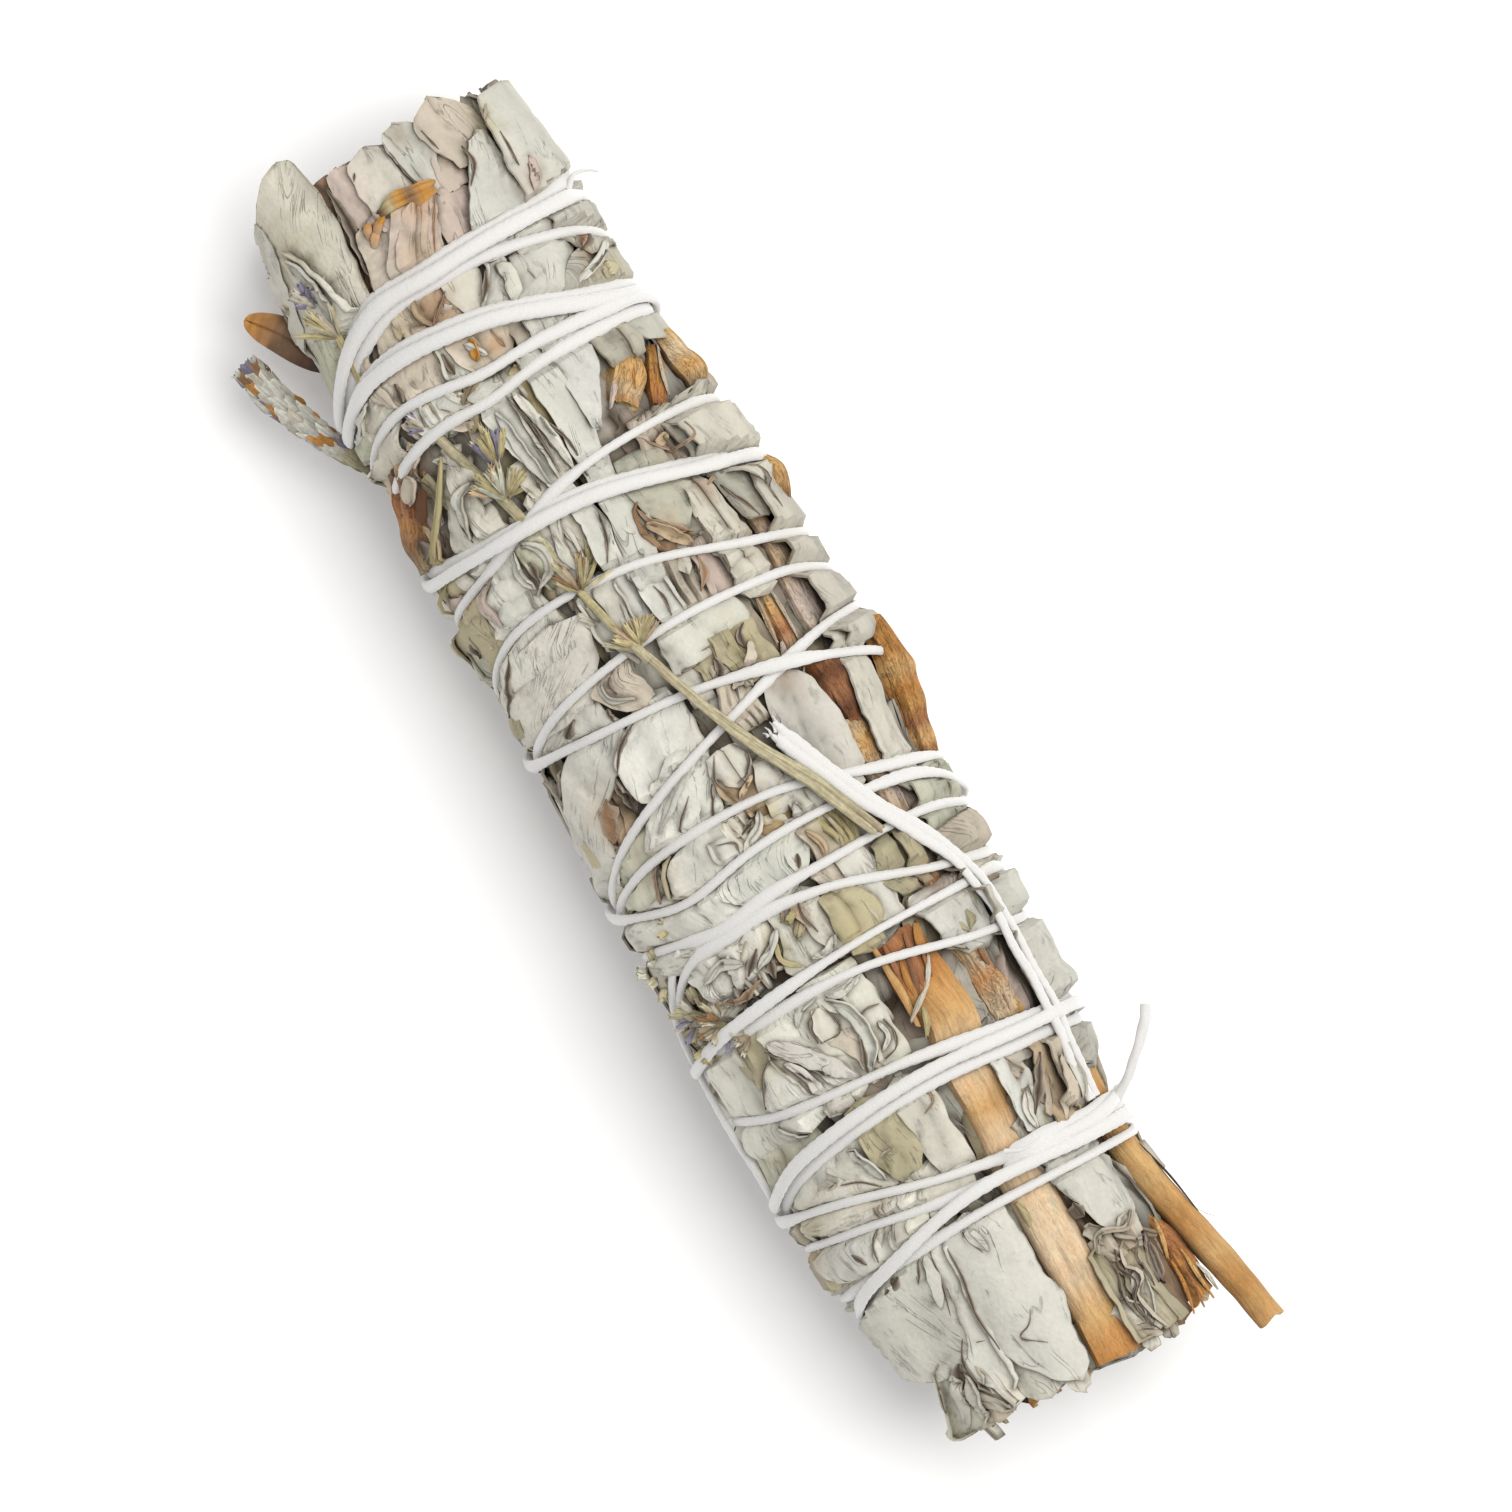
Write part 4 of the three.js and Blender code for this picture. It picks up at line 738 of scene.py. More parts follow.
# %% Leaves from there to the middle
SEEN_LEAVES += [
    ("white", "arched", 0.0, [(-45.5, 5.1, 9.4), (-42, 5.1, 9.1), (-39.5, 5.0, 8.1), (-37.4, 5.1, 6.8),
         (-36, 5.2, 5.9)]),
    ("pale", "arched", -0.2, [(-45.5, 13.0, 17.4), (-42.6, 13.6, 17.6), (-40.2, 14.6, 17.4)]),
    ("grey", "folded", 0.4, [(-45.5, 9.6, 13.2), (-42.6, 9.4, 13.7), (-40.3, 10.0, 13.4)]),
    ("pale", "arched", -1.1, [(-33.8, 13.6, 17.6), (-32.2, 12.4, 19.2), (-30, 12.6, 19.8),
         (-27.5, 13.7, 20.2), (-25.2, 14.9, 19.4), (-23, 16.2, 18.2)]),
    ("pale", "arched", 0.0, [(-34, 11.0, 14.2), (-31, 11.5, 15.4), (-28, 12.3, 16.4), (-25, 12.7, 16.6),
         (-19.5, 13.9, 16.6)]),
    ("beige", "pleated", 0.8, [(-33.8, 8.4, 11.7), (-31, 8.4, 12.1), (-29, 8.8, 12.3), (-26.5, 10, 12.2)]),
    ("green", "arched", -0.1, [(-31, 5.0, 9.4), (-28.6, 4.6, 10.1), (-26.5, 4.9, 10.5), (-24.6, 6.0, 10.1),
         (-22.9, 6.9, 8.3)]),
    ("brown", "curled", 0.9, [(-27, 4.3, 6.0), (-24, 4.0, 7.7), (-22, 4.6, 8.0), (-20, 5.6, 7.1)]),
    ("pale", "folded", 0.4, [(-26, 9.6, 11.5), (-23, 9.3, 12.3), (-20.5, 9.4, 12.5), (-17, 9.5, 12.1)]),
    ("light", "arched", 0.1, [(-45.5, 2.0, 4.9), (-40, 2.1, 5.2), (-36, 2.1, 5.0), (-31, 1.9, 4.7),
         (-27, 1.8, 4.5), (-23.5, 0.8, 4.3), (-19.5, 0.6, 3.6)]),
    ("straw", "curled", 0.7, [(-45, 0.9, 1.9), (-40, 1.0, 2.0), (-37.5, 0.9, 1.9), (-34, 0.6, 1.5)]),
    ("pale", "curled", 0.9, [(-45, -0.3, 0.8), (-39, -0.1, 1.0), (-33, 0.0, 0.9)]),
    ("light", "arched", 0.4, [(-45, -3.7, -0.5), (-40, -3.5, -0.2), (-36, -2.3, -0.2), (-31.5, -1.2, 0.2),
         (-28, -0.9, 1.3), (-22.5, -1.2, 0.5)]),
    ("pale", "arched", 0.7, [(-37, -3.8, -2.2), (-33, -3.5, -1.8), (-30, -2.7, -1.1), (-25, -2.2, -1.0)]),
    ("pale", "curled", 0.7, [(-31.5, -5.1, -3.1), (-29, -5.3, -2.7), (-27, -4.9, -2.5),
         (-24.8, -4.0, -2.6)]),
    ("green", "curled", 0.4, [(-30.6, -7.4, -5.3), (-28, -7.5, -4.9), (-26, -7, -4.8), (-24.6, -6.4, -5.1)]),
    ("light", "curled", 0.4, [(-30, -9.1, -7.6), (-27.5, -9.3, -7.7), (-24.6, -9, -7.5)]),
    ("pale", "arched", 0.8, [(-39.5, -9.4, -7.4), (-35, -9.9, -8.0), (-31, -9.4, -7.4)]),
    ("light", "arched", 0.5, [(-39.2, -10.2, -8.9), (-37, -11.0, -8.7), (-34.5, -12.3, -8.6),
         (-32.3, -13.0, -8.8), (-30.4, -12.2, -8.5)]),
    ("pale", "folded", 0.5, [(-31.4, -14.6, -12.2), (-30, -14.3, -11.2), (-28, -13.9, -10.9)]),
    ("light", "arched", 0.0, [(-31, -12.4, -8.6), (-28.5, -12.9, -8.4), (-26, -12.6, -8.9),
         (-23.4, -12.8, -9.6)]),
    ("light", "arched", -0.2, [(-27.4, -12.4, -8.9), (-24.5, -13.2, -8.2), (-22, -14, -7.8),
         (-20, -14.8, -7.5), (-17.6, -15.6, -8)]),
    ("light", "arched", -0.4, [(-21, -11.6, -5.3), (-18.8, -15.4, -5.6), (-16, -17.4, -6.8),
         (-13.6, -19.2, -8.4), (-11.6, -19.4, -10)]),
    ("olive", "curled", 0.4, [(-26, -17.4, -14.2), (-22, -17.8, -13.4), (-17, -19, -15.4),
         (-12.8, -19.4, -16.8)]),
    ("olive", "pleated", 0.8, [(-32, -17.4, -12.6), (-28.5, -18, -12.4), (-25, -17.6, -12.8)]),
    ("pink", "arched", 0.2, [(-29, -19.2, -15.4), (-25.5, -19, -15.2), (-22, -18, -15)]),
    ("pale", "arched", -0.5, [(-26, 15.4, 19.8), (-22, 15.6, 19.4), (-18, 15.6, 19.6), (-14.5, 15.2, 19.4),
         (-10.5, 15.2, 19.4), (-7, 15.3, 20.8), (-4.2, 15.8, 20.6)]),
    ("pale", "arched", 0.3, [(-20.4, 9.4, 12.7), (-17, 9.3, 12.9), (-13.6, 9.6, 12.7)]),
    ("pink", "curled", 0.9, [(-21.4, 7.0, 9.4), (-17.5, 6.9, 9.3), (-14.2, 6.8, 8.9)]),
    ("beige", "pleated", 1.1, [(-21.6, 3.2, 7.7), (-18, 3.0, 7.2), (-14.6, 3.4, 6.6)]),
    ("light", "curled", 0.3, [(-23.2, 0.3, 2.4), (-20, 0.6, 3.2), (-17, 0.8, 3.5), (-14.4, 0.9, 3.2)]),
    ("light", "curled", 0.5, [(-22.2, -1.3, 0.3), (-18.5, -1.5, 0.4), (-15.2, -1.6, 0.1)]),
    ("pale", "curled", 0.6, [(-22.2, -3.0, -1.3), (-18.5, -3.0, -1.4), (-15.8, -2.8, -1.5)]),
    ("light", "curled", 0.8, [(-22.8, -4.6, -2.9), (-19.5, -4.8, -2.8), (-16.4, -4.8, -2.7)]),
    ("light", "arched", -0.1, [(-15.2, -0.3, 8.0), (-13, -0.5, 8.8), (-11.6, -0.6, 8.5),
         (-10.2, -0.8, 4.4)]),
    ("olive", "folded", 0.7, [(-12, 4.1, 8.4), (-9.5, 4.1, 8.4), (-6.4, 5.0, 8.8)]),
    ("pale", "arched", 0.9, [(-11, -0.6, 1.6), (-9, -0.9, 1.6), (-7.2, -0.5, 1.2)]),
    ("pale", "arched", 0.2, [(-5.8, 6.9, 9.0), (-3.5, 5.8, 10.6), (0, 5.0, 11.1), (3.5, 4.4, 11.1),
         (7, 4.4, 10.6), (9.2, 5.2, 9)]),
    ("pale", "arched", 0.5, [(-6.4, 14.2, 16.9), (-2, 14.0, 16.7), (2, 13.3, 16.1), (6, 12.9, 15.5),
         (11, 13.1, 15.3)]),
    ("beige", "pleated", 0.7, [(-9.4, 2.8, 6.2), (-7.4, 2.4, 5.6), (-5, 1.6, 4.8), (-2.6, 2.6, 4.9)]),
    ("beige", "arched", 0.1, [(-14.9, -7.4, -4.2), (-13, -8.9, -4.2), (-11.5, -7.9, -3.8),
         (-9.5, -6.4, -3.4)]),
    ("white", "arched", -0.3, [(-9.6, -6.4, -2.2), (-8, -8.4, -1.8), (-6, -10.2, -1.4), (-3.5, -10.4, -1.8),
         (-1.2, -9.8, -3.6)]),
    ("light", "arched", 0.1, [(-3.8, -5.8, -1.6), (-1.5, -9.0, -2.4), (1, -11.0, -4.4), (3.8, -12.2, -7)]),
    ("tan", "pleated", 1.0, [(-5.8, -14.6, -12.2), (-3.5, -15.4, -11.9), (-1, -15.6, -12),
         (1.4, -15.4, -13.4)]),
    ("light", "arched", -0.2, [(-12.2, -11.8, -8.9), (-10, -13.8, -8.3), (-8, -15, -8.3), (-5, -16.8, -11.1),
         (-2, -18, -14.6), (1.5, -19.6, -15.4), (5, -19.8, -16.8)]),
    ("pale", "arched", 0.5, [(-14.8, -11.8, -8.6), (-12.5, -14.2, -8.9), (-11.3, -16.2, -11.4),
         (-10, -17, -13.5)]),
    ("light", "folded", -0.1, [(-1.9, -2.4, 0.8), (0, -2.8, 1.2), (1.6, -1.8, 0.6), (2.4, -0.8, 0.2)]),
    ("tan", "curled", 0.6, [(0.8, -2.5, 0.4), (3, -2.3, 1.9), (5.2, -1.2, 2.5)]),
    ("light", "arched", 0.4, [(1.4, 1.2, 2.6), (4, 0.4, 3.2), (6.4, 0.4, 2.6)]),
    ("light", "arched", -0.1, [(-2.8, -7.8, -3.2), (0, -10.2, -2.8), (2, -10.8, -3.2), (4.2, -9.6, -4.2)]),
    ("light", "arched", -0.2, [(3.4, -8.2, -4.8), (5.5, -10.9, -4.8), (7.5, -11.9, -5.4), (9.4, -11.3, -8),
         (10.4, -10.5, -9)]),
    ("light", "curled", 0.1, [(5.9, -6.4, -3.7), (7, -6.6, -3.2), (8.4, -5.9, -3.9)]),
    ("pale", "pleated", 0.7, [(4.2, -4.8, -1.2), (6.5, -4.2, -1.0), (9, -3.6, -0.6)]),
    ("white", "arched", -0.4, [(7.8, -4.2, 2.4), (9.6, -8.4, 2.8), (11.2, -8, 1.4), (12.6, -6.6, 0.6),
         (14.4, -5.5, -3.3)]),
    ("beige", "curled", 0.5, [(8.4, 1.6, 4.6), (11, 2.0, 4.8), (13.8, 1.8, 4.4)]),
    ("straw", "pleated", 0.6, [(8.8, 3.9, 6.2), (11, 4.4, 6.6), (13.4, 4.8, 6.4)]),
    ("brown", "curled", 0.9, [(4.8, 0.2, 2.4), (6.2, -1.4, 2.2), (8, -1.0, 2.5)]),
    ("light", "arched", 0.5, [(3.6, 2.4, 4.0), (6, 2.4, 4.7), (8.8, 2.6, 4.8)]),
    ("brown", "pleated", 1.0, [(2.8, -12.6, -10.2), (5.5, -13.6, -10.8), (8.8, -13.8, -11.6)]),
    ("green", "arched", 0.5, [(1.2, -15.4, -11.5), (4.5, -16, -12.4), (8, -16.4, -13)]),
    ("light", "arched", 0.0, [(8, -17.8, -11.8), (10.5, -18.4, -11.2), (13, -18, -10.4),
         (15.2, -16, -10.4)]),
    ("olive", "arched", 0.4, [(-2, -19.4, -16), (3, -19.8, -15.8), (7.6, -19.8, -16.2)]),
    ("light", "arched", 0.3, [(9.2, -11.8, -8.4), (12, -12.2, -7.6), (14.6, -11.8, -6.8)]),
]

# %% Leaves from the middle to the cut stems
SEEN_LEAVES += [
    ("olive", "rolled", 0.4, [(14.5, 7.2, 10.8), (16.4, 6.5, 11.3), (18.2, 6.5, 11.2), (19.4, 7.3, 10.6)]),
    ("light", "arched", 0.4, [(13.2, 3.3, 6.3), (16, 3.5, 6.9), (18.5, 3.7, 6.8), (21.8, 4.1, 6.5)]),
    ("olive", "folded", 0.2, [(16.3, 0.1, 3.5), (18.4, -0.1, 4.8), (20.2, -0.1, 4.5), (22, 0.1, 3.7)]),
    ("beige", "arched", 0.8, [(13.4, 0.7, 3.1), (15.4, 1.5, 4.3), (17.4, 1.9, 4.1)]),
    ("beige", "arched", -0.8, [(15.8, 13.4, 17.6), (18.2, 13.1, 19.2), (20.5, 13.5, 18.8), (23, 14, 18.2)]),
    ("light", "arched", -0.9, [(21.6, 13.9, 18.2), (25, 14.2, 18.6), (28, 14.6, 19.2), (29.8, 15, 20.2),
         (31.4, 15.2, 20.0), (33.4, 15.2, 18.6), (37, 15.2, 17.8)]),
    ("light", "arched", -0.7, [(35.6, 14.8, 17.8), (38.6, 15, 18.6), (41, 14.6, 17.2), (43.6, 14.0, 15.8)]),
    ("green", "folded", 0.2, [(9.6, 13.8, 18.4), (12.5, 13.6, 18.2), (15.5, 13.2, 17.4), (18.6, 13, 15)]),
    ("light", "arched", 0.5, [(20.8, 7.4, 13.4), (23.5, 7.9, 13.8), (25.6, 8.7, 13.6), (27.6, 10, 13.2)]),
    ("pale", "arched", 0.6, [(14.8, -2.6, -0.3), (18, -2.4, -0.1), (21.4, -1.2, -0.1)]),
    ("light", "arched", 0.5, [(14.4, -5.4, -2.7), (17, -5.0, -2.4), (20.4, -6.4, -1.5), (21.8, -5.6, -1.9)]),
    ("light", "pleated", 0.3, [(13.4, -16.4, -8), (15, -16, -6.7), (17, -15, -7.3), (19, -14.2, -9.4)]),
    ("light", "arched", 0.3, [(22.8, -6.6, -0.5), (25, -5.3, -0.3), (27, -3.7, -0.1), (29.6, -2.8, -0.1)]),
    ("light", "curled", 0.2, [(23.4, -7.8, -3.5), (26, -8.6, -2.9), (29, -8.6, -3.1), (31.5, -6.4, -4.0),
         (34, -5.4, -4.7)]),
    ("pale", "curled", 0.3, [(28.2, -2.6, -0.4), (30.5, -2.4, -0.3), (33.2, -2.9, -0.3)]),
    ("beige", "arched", 0.0, [(28.1, -6.7, -3.1), (30, -5.6, -2.9), (31.6, -5.0, -3.1), (33.6, -4.7, -3.7)]),
    ("pale", "arched", 0.15, [(24.8, -6.3, -5.1), (26.5, -7.1, -4.6), (28.4, -6.9, -4.8)]),
    ("light", "arched", 0.1, [(23, -12.6, -8.7), (25.6, -11.9, -7.4), (28, -10.5, -7.1), (30.5, -8.8, -6.3),
         (33.8, -7.8, -5.7)]),
    ("pale", "curled", 0.3, [(26.4, -11.8, -10.6), (29, -11.4, -8.9), (31.5, -10.7, -8.1),
         (34.4, -10, -7.7)]),
    ("light", "arched", 0.1, [(26.9, -12.4, -11.3), (29.5, -14.8, -10.5), (32, -15.2, -10.3),
         (34.8, -14.4, -10.3)]),
    ("olive", "arched", 0.5, [(23.2, -14.6, -12.2), (25.5, -15.1, -11.8), (27.5, -15, -12.2),
         (29.4, -14.2, -12.9)]),
    ("light", "arched", 0.3, [(23, -17.6, -15.2), (27, -18.4, -15), (31, -18.6, -15.2), (35, -18.6, -15.2)]),
    ("green", "pleated", 0.4, [(33, -18.4, -13.2), (36, -19, -12.6), (39, -19.4, -13.8)]),
    ("pale", "arched", 0.5, [(35.8, -4.6, -0.5), (39, -4.0, -0.3), (42, -4.0, -0.5), (45.4, -3.6, -0.3)]),
    ("olive", "arched", 0.2, [(35.8, -8.8, -4.3), (39, -9.0, -4.1), (42, -8.4, -4.3), (43.8, -7.6, -5.2)]),
    ("pale", "arched", 0.4, [(36, -12.6, -8.6), (39.5, -13.2, -8.5), (41.5, -11.8, -8.3),
         (44.4, -11, -8.1)]),
    ("light", "arched", 0.3, [(37, -15.4, -12), (40, -17.2, -12.7), (43, -18.2, -12.7)]),
    ("pale", "arched", 0.3, [(41, -18.2, -9.5), (43.5, -18.6, -8.5), (46, -15, -7.8)]),
    ("pale", "arched", 0.5, [(43.6, -6.2, -1.2), (46.5, -6.6, -1.0), (49.4, -6.8, -2.0)]),
    ("light", "curled", 0.3, [(44.2, -8.4, -6.8), (47.5, -9.2, -7.1), (51, -9.8, -8)]),
    ("pale", "curled", 0.4, [(44.2, -10, -8.4), (47.5, -10.8, -8.9), (51, -11.4, -9.8)]),
    ("light", "curled", 0.4, [(45, -11.8, -10), (48, -13, -10.6), (51, -13.8, -11.2)]),
    ("light", "arched", -0.2, [(44.8, -17.4, -11.6), (47.2, -19.4, -11.8), (49, -18.6, -13.2),
         (51, -16.4, -14)]),
    ("olive", "pleated", 0.4, [(45.4, -21, -17.2), (48, -21.4, -17.6), (50.6, -21, -15.8)]),
    ("white", "arched", 0.5, [(38.2, 6.1, 8.7), (41, 5.9, 8.9), (43, 5.8, 8.3), (46.4, 5.6, 7.2)]),
    ("tan", "curled", 0.5, [(38.4, 10.4, 12.3), (41.5, 9.7, 11.9), (44.5, 8.8, 11.3), (48.4, 8.5, 10.7)]),
    ("beige", "curled", 0.2, [(38.6, 11.7, 13.6), (42, 11.2, 13.3), (46.5, 10.6, 12.9)]),
    ("pale", "pleated", 0.8, [(44.6, 4.8, 8.4), (47, 5.0, 8.8), (51, 5.2, 9)]),
    ("light", "arched", -0.2, [(49.6, 5.4, 11.4), (53, 5.6, 11.4), (56, 6.5, 11.3), (58.4, 7.1, 10.7),
         (59.4, 8.6, 9.7)]),
    ("brown", "arched", 1.7, [(51.5, 4.7, 6.6), (55, 4.7, 7.1), (58, 4.9, 7.4), (60.6, 5.5, 8.2)]),
    ("pale", "curled", 0.2, [(58.2, 8.6, 10.7), (59.6, 7.5, 10.5), (61.2, 9.2, 10.3)]),
    ("beige", "pleated", 0.6, [(58.8, 5.4, 9.4), (60.4, 5.4, 9.6), (62, 6.6, 9.4)]),
    ("olive", "curled", 0.9, [(59.6, 4.5, 7.0), (63, 4.4, 7.7), (66, 4.3, 6.5), (70.2, 4.2, 7.3)]),
    ("olive", "folded", 0.6, [(60, 6.9, 8.7), (62.5, 7.3, 9), (64.5, 6.1, 8.8), (66.5, 6.8, 9),
         (70.4, 7.5, 9.8)]),
    ("brown", "arched", 1.9, [(60.4, 8.2, 10.6), (64, 8.4, 10.6), (67, 8.7, 10.4), (70.8, 8.2, 10.2)]),
    ("light", "arched", 2.2, [(65, -1.2, 9.8), (68.4, -1.2, 9.8), (70.2, -0.4, 8.6), (70.7, 1, 6)]),
    ("pale", "arched", -0.2, [(50, -6.8, -0.3), (55, -7.4, -0.2), (59, -8.1, -0.4), (61.6, -8.2, 0.2),
         (63.5, -8, -0.2), (66.5, -6.4, -0.9), (68.8, -4.5, -1.1), (70, -3.3, -2.1)]),
    ("pale", "arched", 1.0, [(67.6, -3.9, -1.6), (69.8, -3.5, -2.1), (71.2, -3, -2.5)]),
    ("pale", "arched", 0.5, [(64, -8.4, -6.6), (67, -8.2, -4.6), (69, -8, -3.7), (70, -7, -4.6)]),
    ("light", "curled", 0.3, [(50, -10.2, -7.2), (54, -10.1, -7.5), (58, -10.9, -8.1), (62, -11.5, -8.0),
         (65, -11.3, -7.9), (67.4, -9.6, -7.9)]),
    ("light", "arched", -0.4, [(50, -19.6, -10.5), (53, -19.8, -10.6), (56, -19, -9.9), (59, -18, -10.3),
         (61.5, -17, -10.8), (62.9, -15.2, -12), (63.3, -14.3, -13)]),
    ("pale", "pleated", 0.4, [(62.8, -12.2, -10.2), (65, -12.2, -9.1), (67, -12, -8.8),
         (69.2, -10.8, -8.4)]),
    ("green", "curled", 0.5, [(62, -13.8, -12.7), (64.5, -14.6, -12.2), (67, -15.1, -12.1),
         (69.1, -15.3, -12.2), (69.8, -14.6, -13.2)]),
    ("beige", "arched", 0.7, [(64.4, -13.4, -11.3), (67, -13.7, -11.1), (69.8, -13.4, -10.5)]),
]
print("leaves that show:", len(SEEN_LEAVES))

# %% [markdown]
# ## The leaves of each sprig
# Below those and all round the sides and the underside lie many more. They are copies of the plain shapes
# at random places, two layers in the upper half and three in the lower half, and in rings behind each
# other at both ends. The borders between the eight sprigs are those of the solids, so each leaf goes into
# the piece of its own sprig.

# %% Sprig borders
SPRIGS = 8
FIRST_BORDER = 12
BORDER_TWIST = 0.05
BORDER_WAVES = ((4.5, 21, 1.7), (2, 9, 2.3))


def border(number, x):
    """The angle of a border between two sprigs, at x."""
    waves = sum(size * math.sin(x / length + shift * (number % SPRIGS))
                for size, length, shift in BORDER_WAVES)
    return 360 / SPRIGS * number + FIRST_BORDER + BORDER_TWIST * x + waves


def sprig_of(x, degrees):
    """Which sprig a place belongs to."""
    for index in range(SPRIGS):
        low, high = border(index, x), border(index + 1, x)
        if (degrees - low) % 360 < high - low:
            return index
    return SPRIGS - 1


# %% Random leaves
ROLL_SEED = 1207
ROLL_TONES = ("pale", "light", "pale", "green", "beige", "light", "pink", "grey", "pale", "olive")
COARSE_NAMES = ("arched", "arched", "curled", "folded", "pleated", "rolled")
roll_random = np.random.default_rng(ROLL_SEED)
leaves_of = {index: [] for index in range(SPRIGS)}


def keep_leaf(laid, x, degrees):
    """Keeps a leaf with the sprig that a place belongs to."""
    leaves_of[sprig_of(x, degrees)].append(laid)


def random_leaf(x, degrees, depth, length, half_mm, seed, deep_root=1.2, raised=0.0):
    """A leaf whose middle is at x and an angle. Its root lies deeper than its tip."""
    half = float(section(x)[1]) - depth
    spread = math.degrees(half_mm / half)
    lean = roll_random.normal(0, 5)
    ends = (x - length / 2, x + length / 2)
    rows = [(ends[0], degrees - spread * 0.75 - lean, degrees + spread * 0.75 - lean, depth),
            (x - length * 0.15, degrees - spread, degrees + spread, depth),
            (ends[1], degrees - spread * 0.7 + lean, degrees + spread * 0.7 + lean, depth + deep_root)]
    kind = COARSE_NAMES[roll_random.integers(len(COARSE_NAMES))]
    tone = ROLL_TONES[roll_random.integers(len(ROLL_TONES))]
    keep_leaf(lay_leaf(coarse_leaves[kind], rows, depth, tone, seed, crumple=0.45, wave=0.2, by_angle=True,
                       raised=raised), x, degrees)


LAYERS = (
    {"depths": (2.3, 3.0), "from": 0, "to": 360, "along": 11.0, "apart": 6.2, "half": (3.6, 5.0),
     "length": (19, 27)},
    {"depths": (1.8, 2.5), "from": 8, "to": 172, "along": 9.0, "apart": 4.6, "half": (2.2, 3.4),
     "length": (13, 20)},
    {"depths": (0.9, 1.7), "from": 168, "to": 372, "along": 10.0, "apart": 5.6, "half": (2.8, 4.4),
     "length": (16, 25)},
    {"depths": (-0.1, 0.7), "from": 172, "to": 368, "along": 12.0, "apart": 6.4, "half": (2.2, 4.0),
     "length": (12, 22)},
)
FIRST_X, LAST_X = -66.0, 64.0
LAYER_HALF = 17  # mm, half the width on which their number round the roll is based
TIP_REACH = (-71.0, -66.0)  # where leaf tips end
BASE_REACH = (65.0, 69.5)
LOW_SIDE = (142, 215)  # degrees where the leaves end sooner
LOW_SIDE_ENDS = (-65.5, 61.5)
HIGH_SIDE = (-22, 40)
HIGH_SIDE_END = 52.0
seed = ROLL_SEED
for layer in LAYERS:
    rows = int((LAST_X - FIRST_X) / layer["along"]) + 1
    around = int((layer["to"] - layer["from"]) / math.degrees(layer["apart"] / LAYER_HALF))
    for row in range(rows):
        for place in range(around):
            seed += 1
            x = FIRST_X + (LAST_X - FIRST_X) * row / (rows - 1) + roll_random.uniform(-4, 4)
            degrees = layer["from"] + (layer["to"] - layer["from"]) * (place + 0.5 * (row % 2)) / around
            length = roll_random.uniform(*layer["length"])
            first, last = TIP_REACH[0], BASE_REACH[1]
            if LOW_SIDE[0] < degrees < LOW_SIDE[1]:
                first, last = LOW_SIDE_ENDS
            elif degrees < HIGH_SIDE[1] or degrees > 360 + HIGH_SIDE[0]:
                last = HIGH_SIDE_END
            x = min(max(x, first + length / 2), last - length / 2)
            random_leaf(x, degrees + roll_random.uniform(-4, 4), roll_random.uniform(*layer["depths"]),
                        length, roll_random.uniform(*layer["half"]), seed)
print("random leaves:", sum(map(len, leaves_of.values())))

# %% Leaves inside the two ends
# The leaves inside the ends get the painted shade of leaves at this depth.
END_SHOWN_DEPTH = 1.7  # they are coloured as if they lay this deep


def fill_ends(rings, tip_reach, base_reach):
    """Rings of leaves behind each other, that end at both faces: their depths, and how many in each."""
    global seed
    for ring, (depth, count) in enumerate(rings):
        for place in range(count):
            for reach, way in ((tip_reach, 1), (base_reach, -1)):
                seed += 1
                tip = roll_random.uniform(*reach)
                length = roll_random.uniform(11, 16)
                degrees = 360 * (place + 0.5 * (ring % 2)) / count + roll_random.uniform(-8, 8)
                random_leaf(tip + way * length / 2, degrees, depth + roll_random.uniform(-0.6, 0.6), length,
                            roll_random.uniform(2.6, 4.0), seed, deep_root=0.2,
                            raised=depth - END_SHOWN_DEPTH)


fill_ends(((4.0, 17), (6.5, 14), (9.0, 10), (11.5, 7), (14.0, 4)), TIP_REACH, BASE_REACH)
print("with those at the ends:", sum(map(len, leaves_of.values())))

# %% Scraps
# Crumpled bits of leaf lie between the larger ones: x, y, spread along and across, how many.
SCRAP_PATCHES = (
    (17.5, -7.5, 3.0, 5.0, 26), (-27, -5.5, 4.5, 2.6, 14), (42, 8, 4.0, 2.0, 12),
    (47.5, -10.5, 3.0, 4.0, 14), (-45, -8, 2.0, 5.0, 10), (-9, 4.5, 3.0, 3.0, 12), (5.5, -1, 3.6, 3.6, 16),
    (66, 7, 3.6, 2.4, 10), (60, 8, 1.5, 2.0, 6), (-53, 0, 1.8, 7.0, 12), (27, -9, 4.0, 5.0, 10),
    (-37, -10, 4.0, 3.0, 9), (-22, 6, 5.0, 4.0, 10), (6, -13, 7.0, 2.6, 10), (66, -11, 3.0, 2.6, 9),
    (20, 12, 8.0, 3.5, 8), (38, -11, 4.0, 5.0, 9),
)
SCRAP_TONES = ("pale", "light", "pale", "beige", "olive", "grey", "light", "drab")
SCRAPS_ROUND = 90  # more at random places all round


